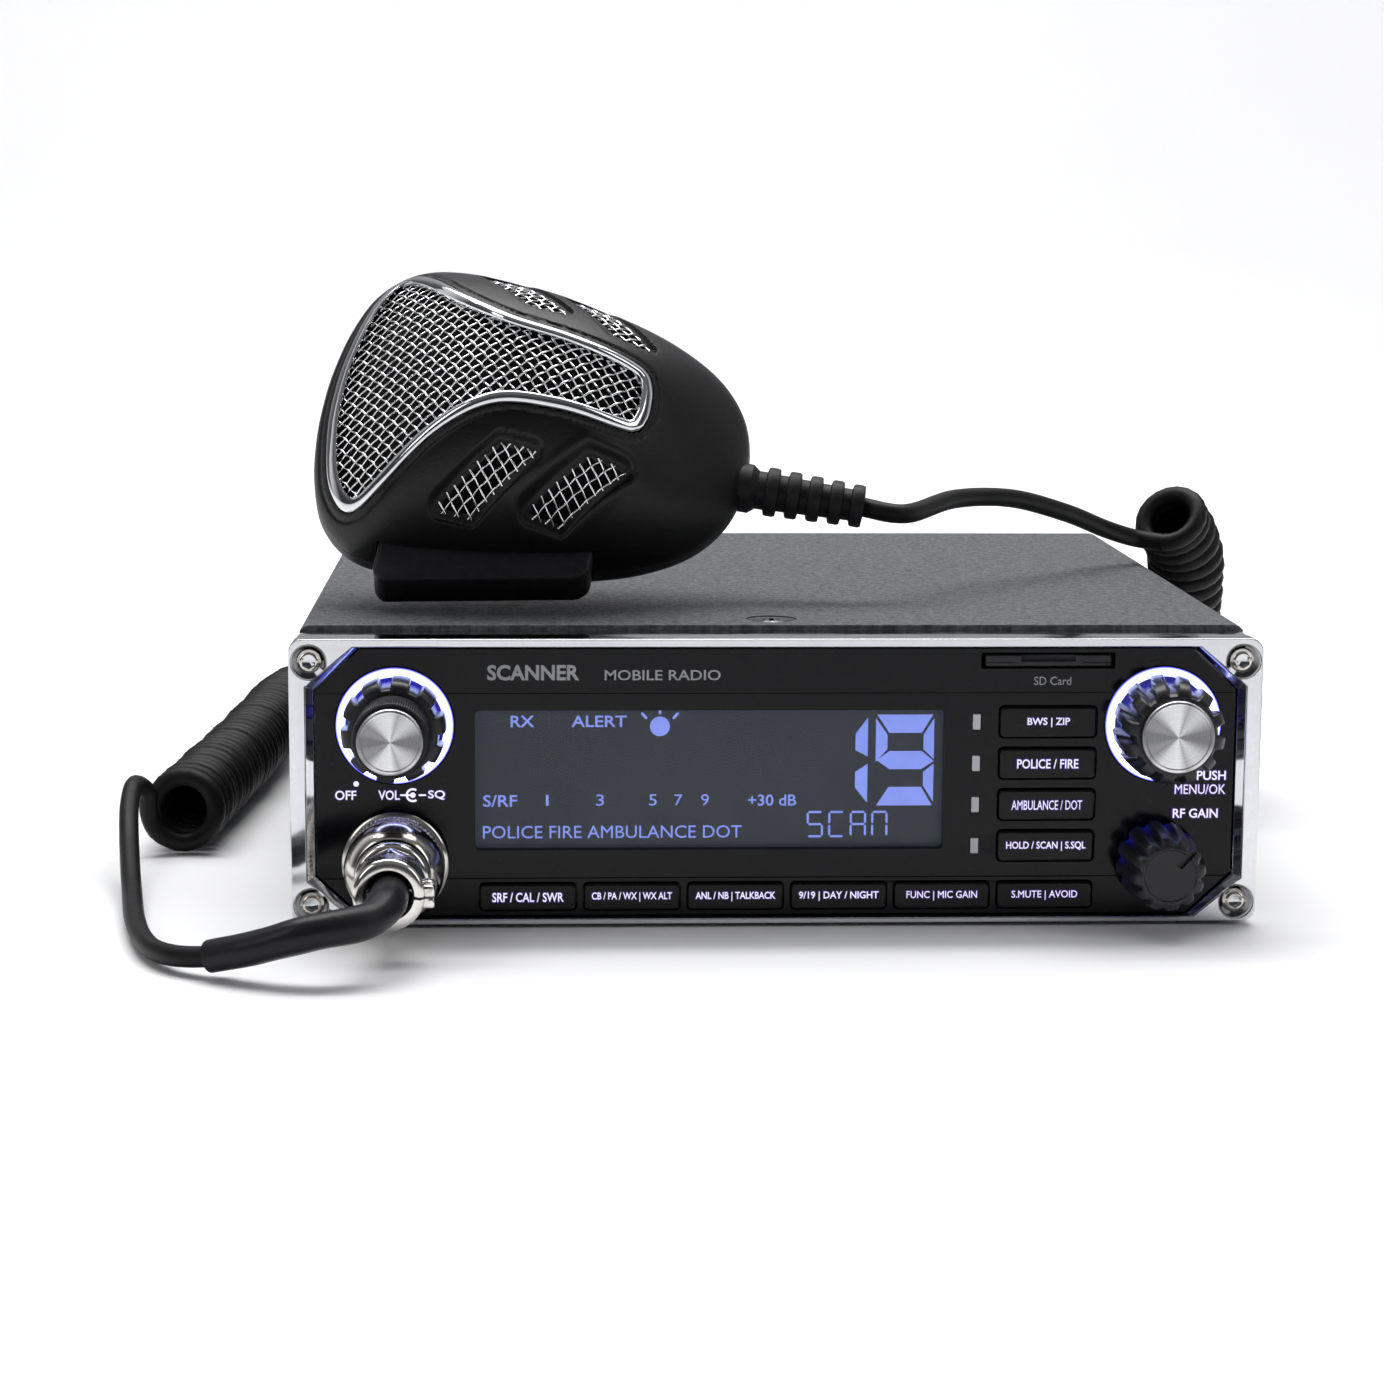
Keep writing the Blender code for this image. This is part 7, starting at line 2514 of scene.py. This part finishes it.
@dataclass
class Cords:
    """The curly cord from the plug to the microphone, and the shrink sleeve on it."""

    form: MicForm
    wire: float = 2.0 * MM
    sleeve: float = 3.3 * MM
    loop: float = 6.7 * MM
    pitch: float = 4.15 * MM
    steps: int = 20
    sleeve_route: tuple[tuple[float, float, float], ...] = (
        (-76.0, -41.0, 11.0), (-86.0, -43.5, 9.4), (-96.0, -41.0, 6.2), (-104.0, -37.0, 3.8),
    )
    plug_route: tuple[tuple[float, float, float], ...] = (
        (-111.5, -32.0, 2.8), (-117.0, -22.0, 2.3), (-121.5, -4.0, 2.3), (-125.0, 18.0, 3.2),
        (-128.0, 38.0, 8.0), (-129.6, 51.0, 13.4), (-129.6, 58.5, 16.4), (-129.0, 64.0, 15.6),
    )
    coil_route: tuple[tuple[float, float, float], ...] = (
        (-121.0, 67.0, 9.2), (-118.0, 105.0, 9.0), (-114.7, 144.0, 9.0), (-112.0, 185.0, 9.0),
        (-109.5, 215.0, 9.0), (-98.0, 238.0, 9.0), (-72.0, 247.0, 9.0), (-30.0, 243.0, 9.0),
        (15.0, 241.0, 9.0), (60.0, 245.0, 9.0), (92.0, 236.0, 9.0), (107.0, 212.0, 9.0),
        (108.5, 180.0, 12.0), (107.0, 155.0, 24.0), (105.5, 138.0, 42.0), (102.5, 125.0, 58.0),
        (96.7, 115.0, 67.0),
    )
    mic_route: tuple[tuple[float, float, float], ...] = (
        (42.0, 70.0, 75.4), (56.0, 84.0, 74.2), (70.0, 97.0, 69.8), (81.0, 108.5, 65.0), (88.5, 113.8, 62.4),
    )

    def start(self) -> Vector:
        """Give where the cord leaves the plug."""
        spot, _ = between(*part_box("plug_shell"))
        return Vector((spot[0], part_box("plug_shell")[0].y - 0.3 * MM, spot[1]))

    def helix(self) -> Path:
        """Give the coil's wire as it winds round the coil's own route."""
        middle = smooth_route([behind_front(*spot) for spot in self.coil_route], 0.5 * MM)
        lengths = np.concatenate([[0.0], np.cumsum([(b - a).length for a, b in zip(middle, middle[1:])])])
        total = lengths[-1]
        table = np.array([tuple(point) for point in middle])
        turns = round(total / self.pitch) + 0.25 + 1.0 / 12
        count = int(turns * self.steps)
        wound = np.linspace(0.0, turns, count + 1)
        spread = wound + 0.9 * (1.0 - np.exp(-wound / 1.2)) + 0.6 * (1.0 - np.exp(-(turns - wound) / 1.0))
        spread -= spread[0]
        along = spread / spread[-1] * total
        path = []
        for turn, place in zip(wound, along):
            centre = Vector([np.interp(place, lengths, table[:, axis]) for axis in range(3)])
            near = int(np.clip(np.searchsorted(lengths, place), 4, len(middle) - 5))
            ahead = (middle[near + 4] - middle[near - 4]).normalized()
            up = Vector((0.0, 0.0, 1.0))
            up = (up - ahead * up.dot(ahead)).normalized()
            side = ahead.cross(up)
            angle = -(math.radians(60.0) + math.tau * turn)
            wander = 1.0 + 0.022 * math.sin(0.9 * turn) + 0.014 * math.sin(2.3 * turn + 1.0)
            path.append(centre + (up * math.cos(angle) + side * math.sin(angle)) * self.loop * wander)
        return path

    def build_curly(self) -> None:
        """Make the cord from the plug to the far end of the coil, and its sleeve."""
        start = self.start()
        inside = [start + Vector((0.0, 1.5 * MM, 0.0)), start + Vector((0.0, -5.0 * MM, 0.0))]
        bend = [behind_front(*spot) for spot in self.sleeve_route]
        coil = self.helix()
        knots = inside + bend + [behind_front(*spot) for spot in self.plug_route]
        lead = smooth_route(knots + coil[:3], 1.6 * MM)
        joined = lead[:-4]
        path = joined + smooth_route([joined[-1], coil[2], coil[4], coil[6]], 1.6 * MM)[1:] + coil[7:]
        cord = tube("curly_cord", path, [self.wire], 12)
        obj = show(
            "curly_cord", cord, "radio", CordJacket("cord_jacket"),
            ["cord_plug_lead", "cord_coil"],
        )
        sleeve_path = smooth_route([start + Vector((0.0, 4.0 * MM, 0.0)), *inside[1:], *bend], 1.0 * MM)
        radii = []
        for index, _ in enumerate(sleeve_path):
            share = index / (len(sleeve_path) - 1)
            crease = 0.05 * math.sin(13.0 * share) + 0.035 * math.sin(31.0 * share + 1.0)
            radii.append(self.sleeve * (1.08 - 0.17 * share + crease * (1.0 - share)))
        sleeve = tube("shrink_sleeve", sleeve_path, radii, 40)
        jacket = CordJacket("sleeve_jacket", (0.013, 0.013, 0.0145), 0.30, 0.35)
        cover = show("shrink_sleeve", sleeve, "radio", jacket, ["cord_sleeve"])
        self.coil_end = path[-1]

    def build_mic_lead(self) -> None:
        """Make the cord from the coil to the microphone's strain relief."""
        matrix = self.form.matrix()
        relief = Microphone(self.form)
        far = self.form.body_stations[-1][0] * MM + 0.9 * MM + relief.relief_length
        leave = matrix @ Vector((far, *relief.relief_at))
        heading = matrix.to_3x3() @ Vector((1.0, 0.0, 0.0))
        knots = [leave - heading * 2 * MM, leave + heading * 8.0 * MM]
        knots += [behind_front(*spot) for spot in self.mic_route] + [self.coil_end]
        path = smooth_route(knots, 1.5 * MM)
        obj = show(
            "mic_lead", tube("mic_lead", path, [self.wire], 16), "", CordJacket("cord_jacket"),
            ["cord_mic_lead"],
        )
        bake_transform(obj)

    def build(self) -> None:
        """Build and dress the cords."""
        self.build_curly()
        self.build_mic_lead()


# ---------------------------------------------------------------- whole


def main() -> None:
    """Build and dress every sub-assembly in turn."""
    logging.basicConfig(level=logging.INFO, format="%(name)s: %(message)s")
    form = MicForm()
    for assembly in (
        Studio(), Cords(form), RadioCase(), Bezel(), Panel(), Display(), Keys(), LightGuide(), Knobs(), Plug(),
        Card(), Microphone(form),
    ):
        assembly.build()
        LOG.info("built %s", type(assembly).__name__)


if __name__ == "__main__":
    main()
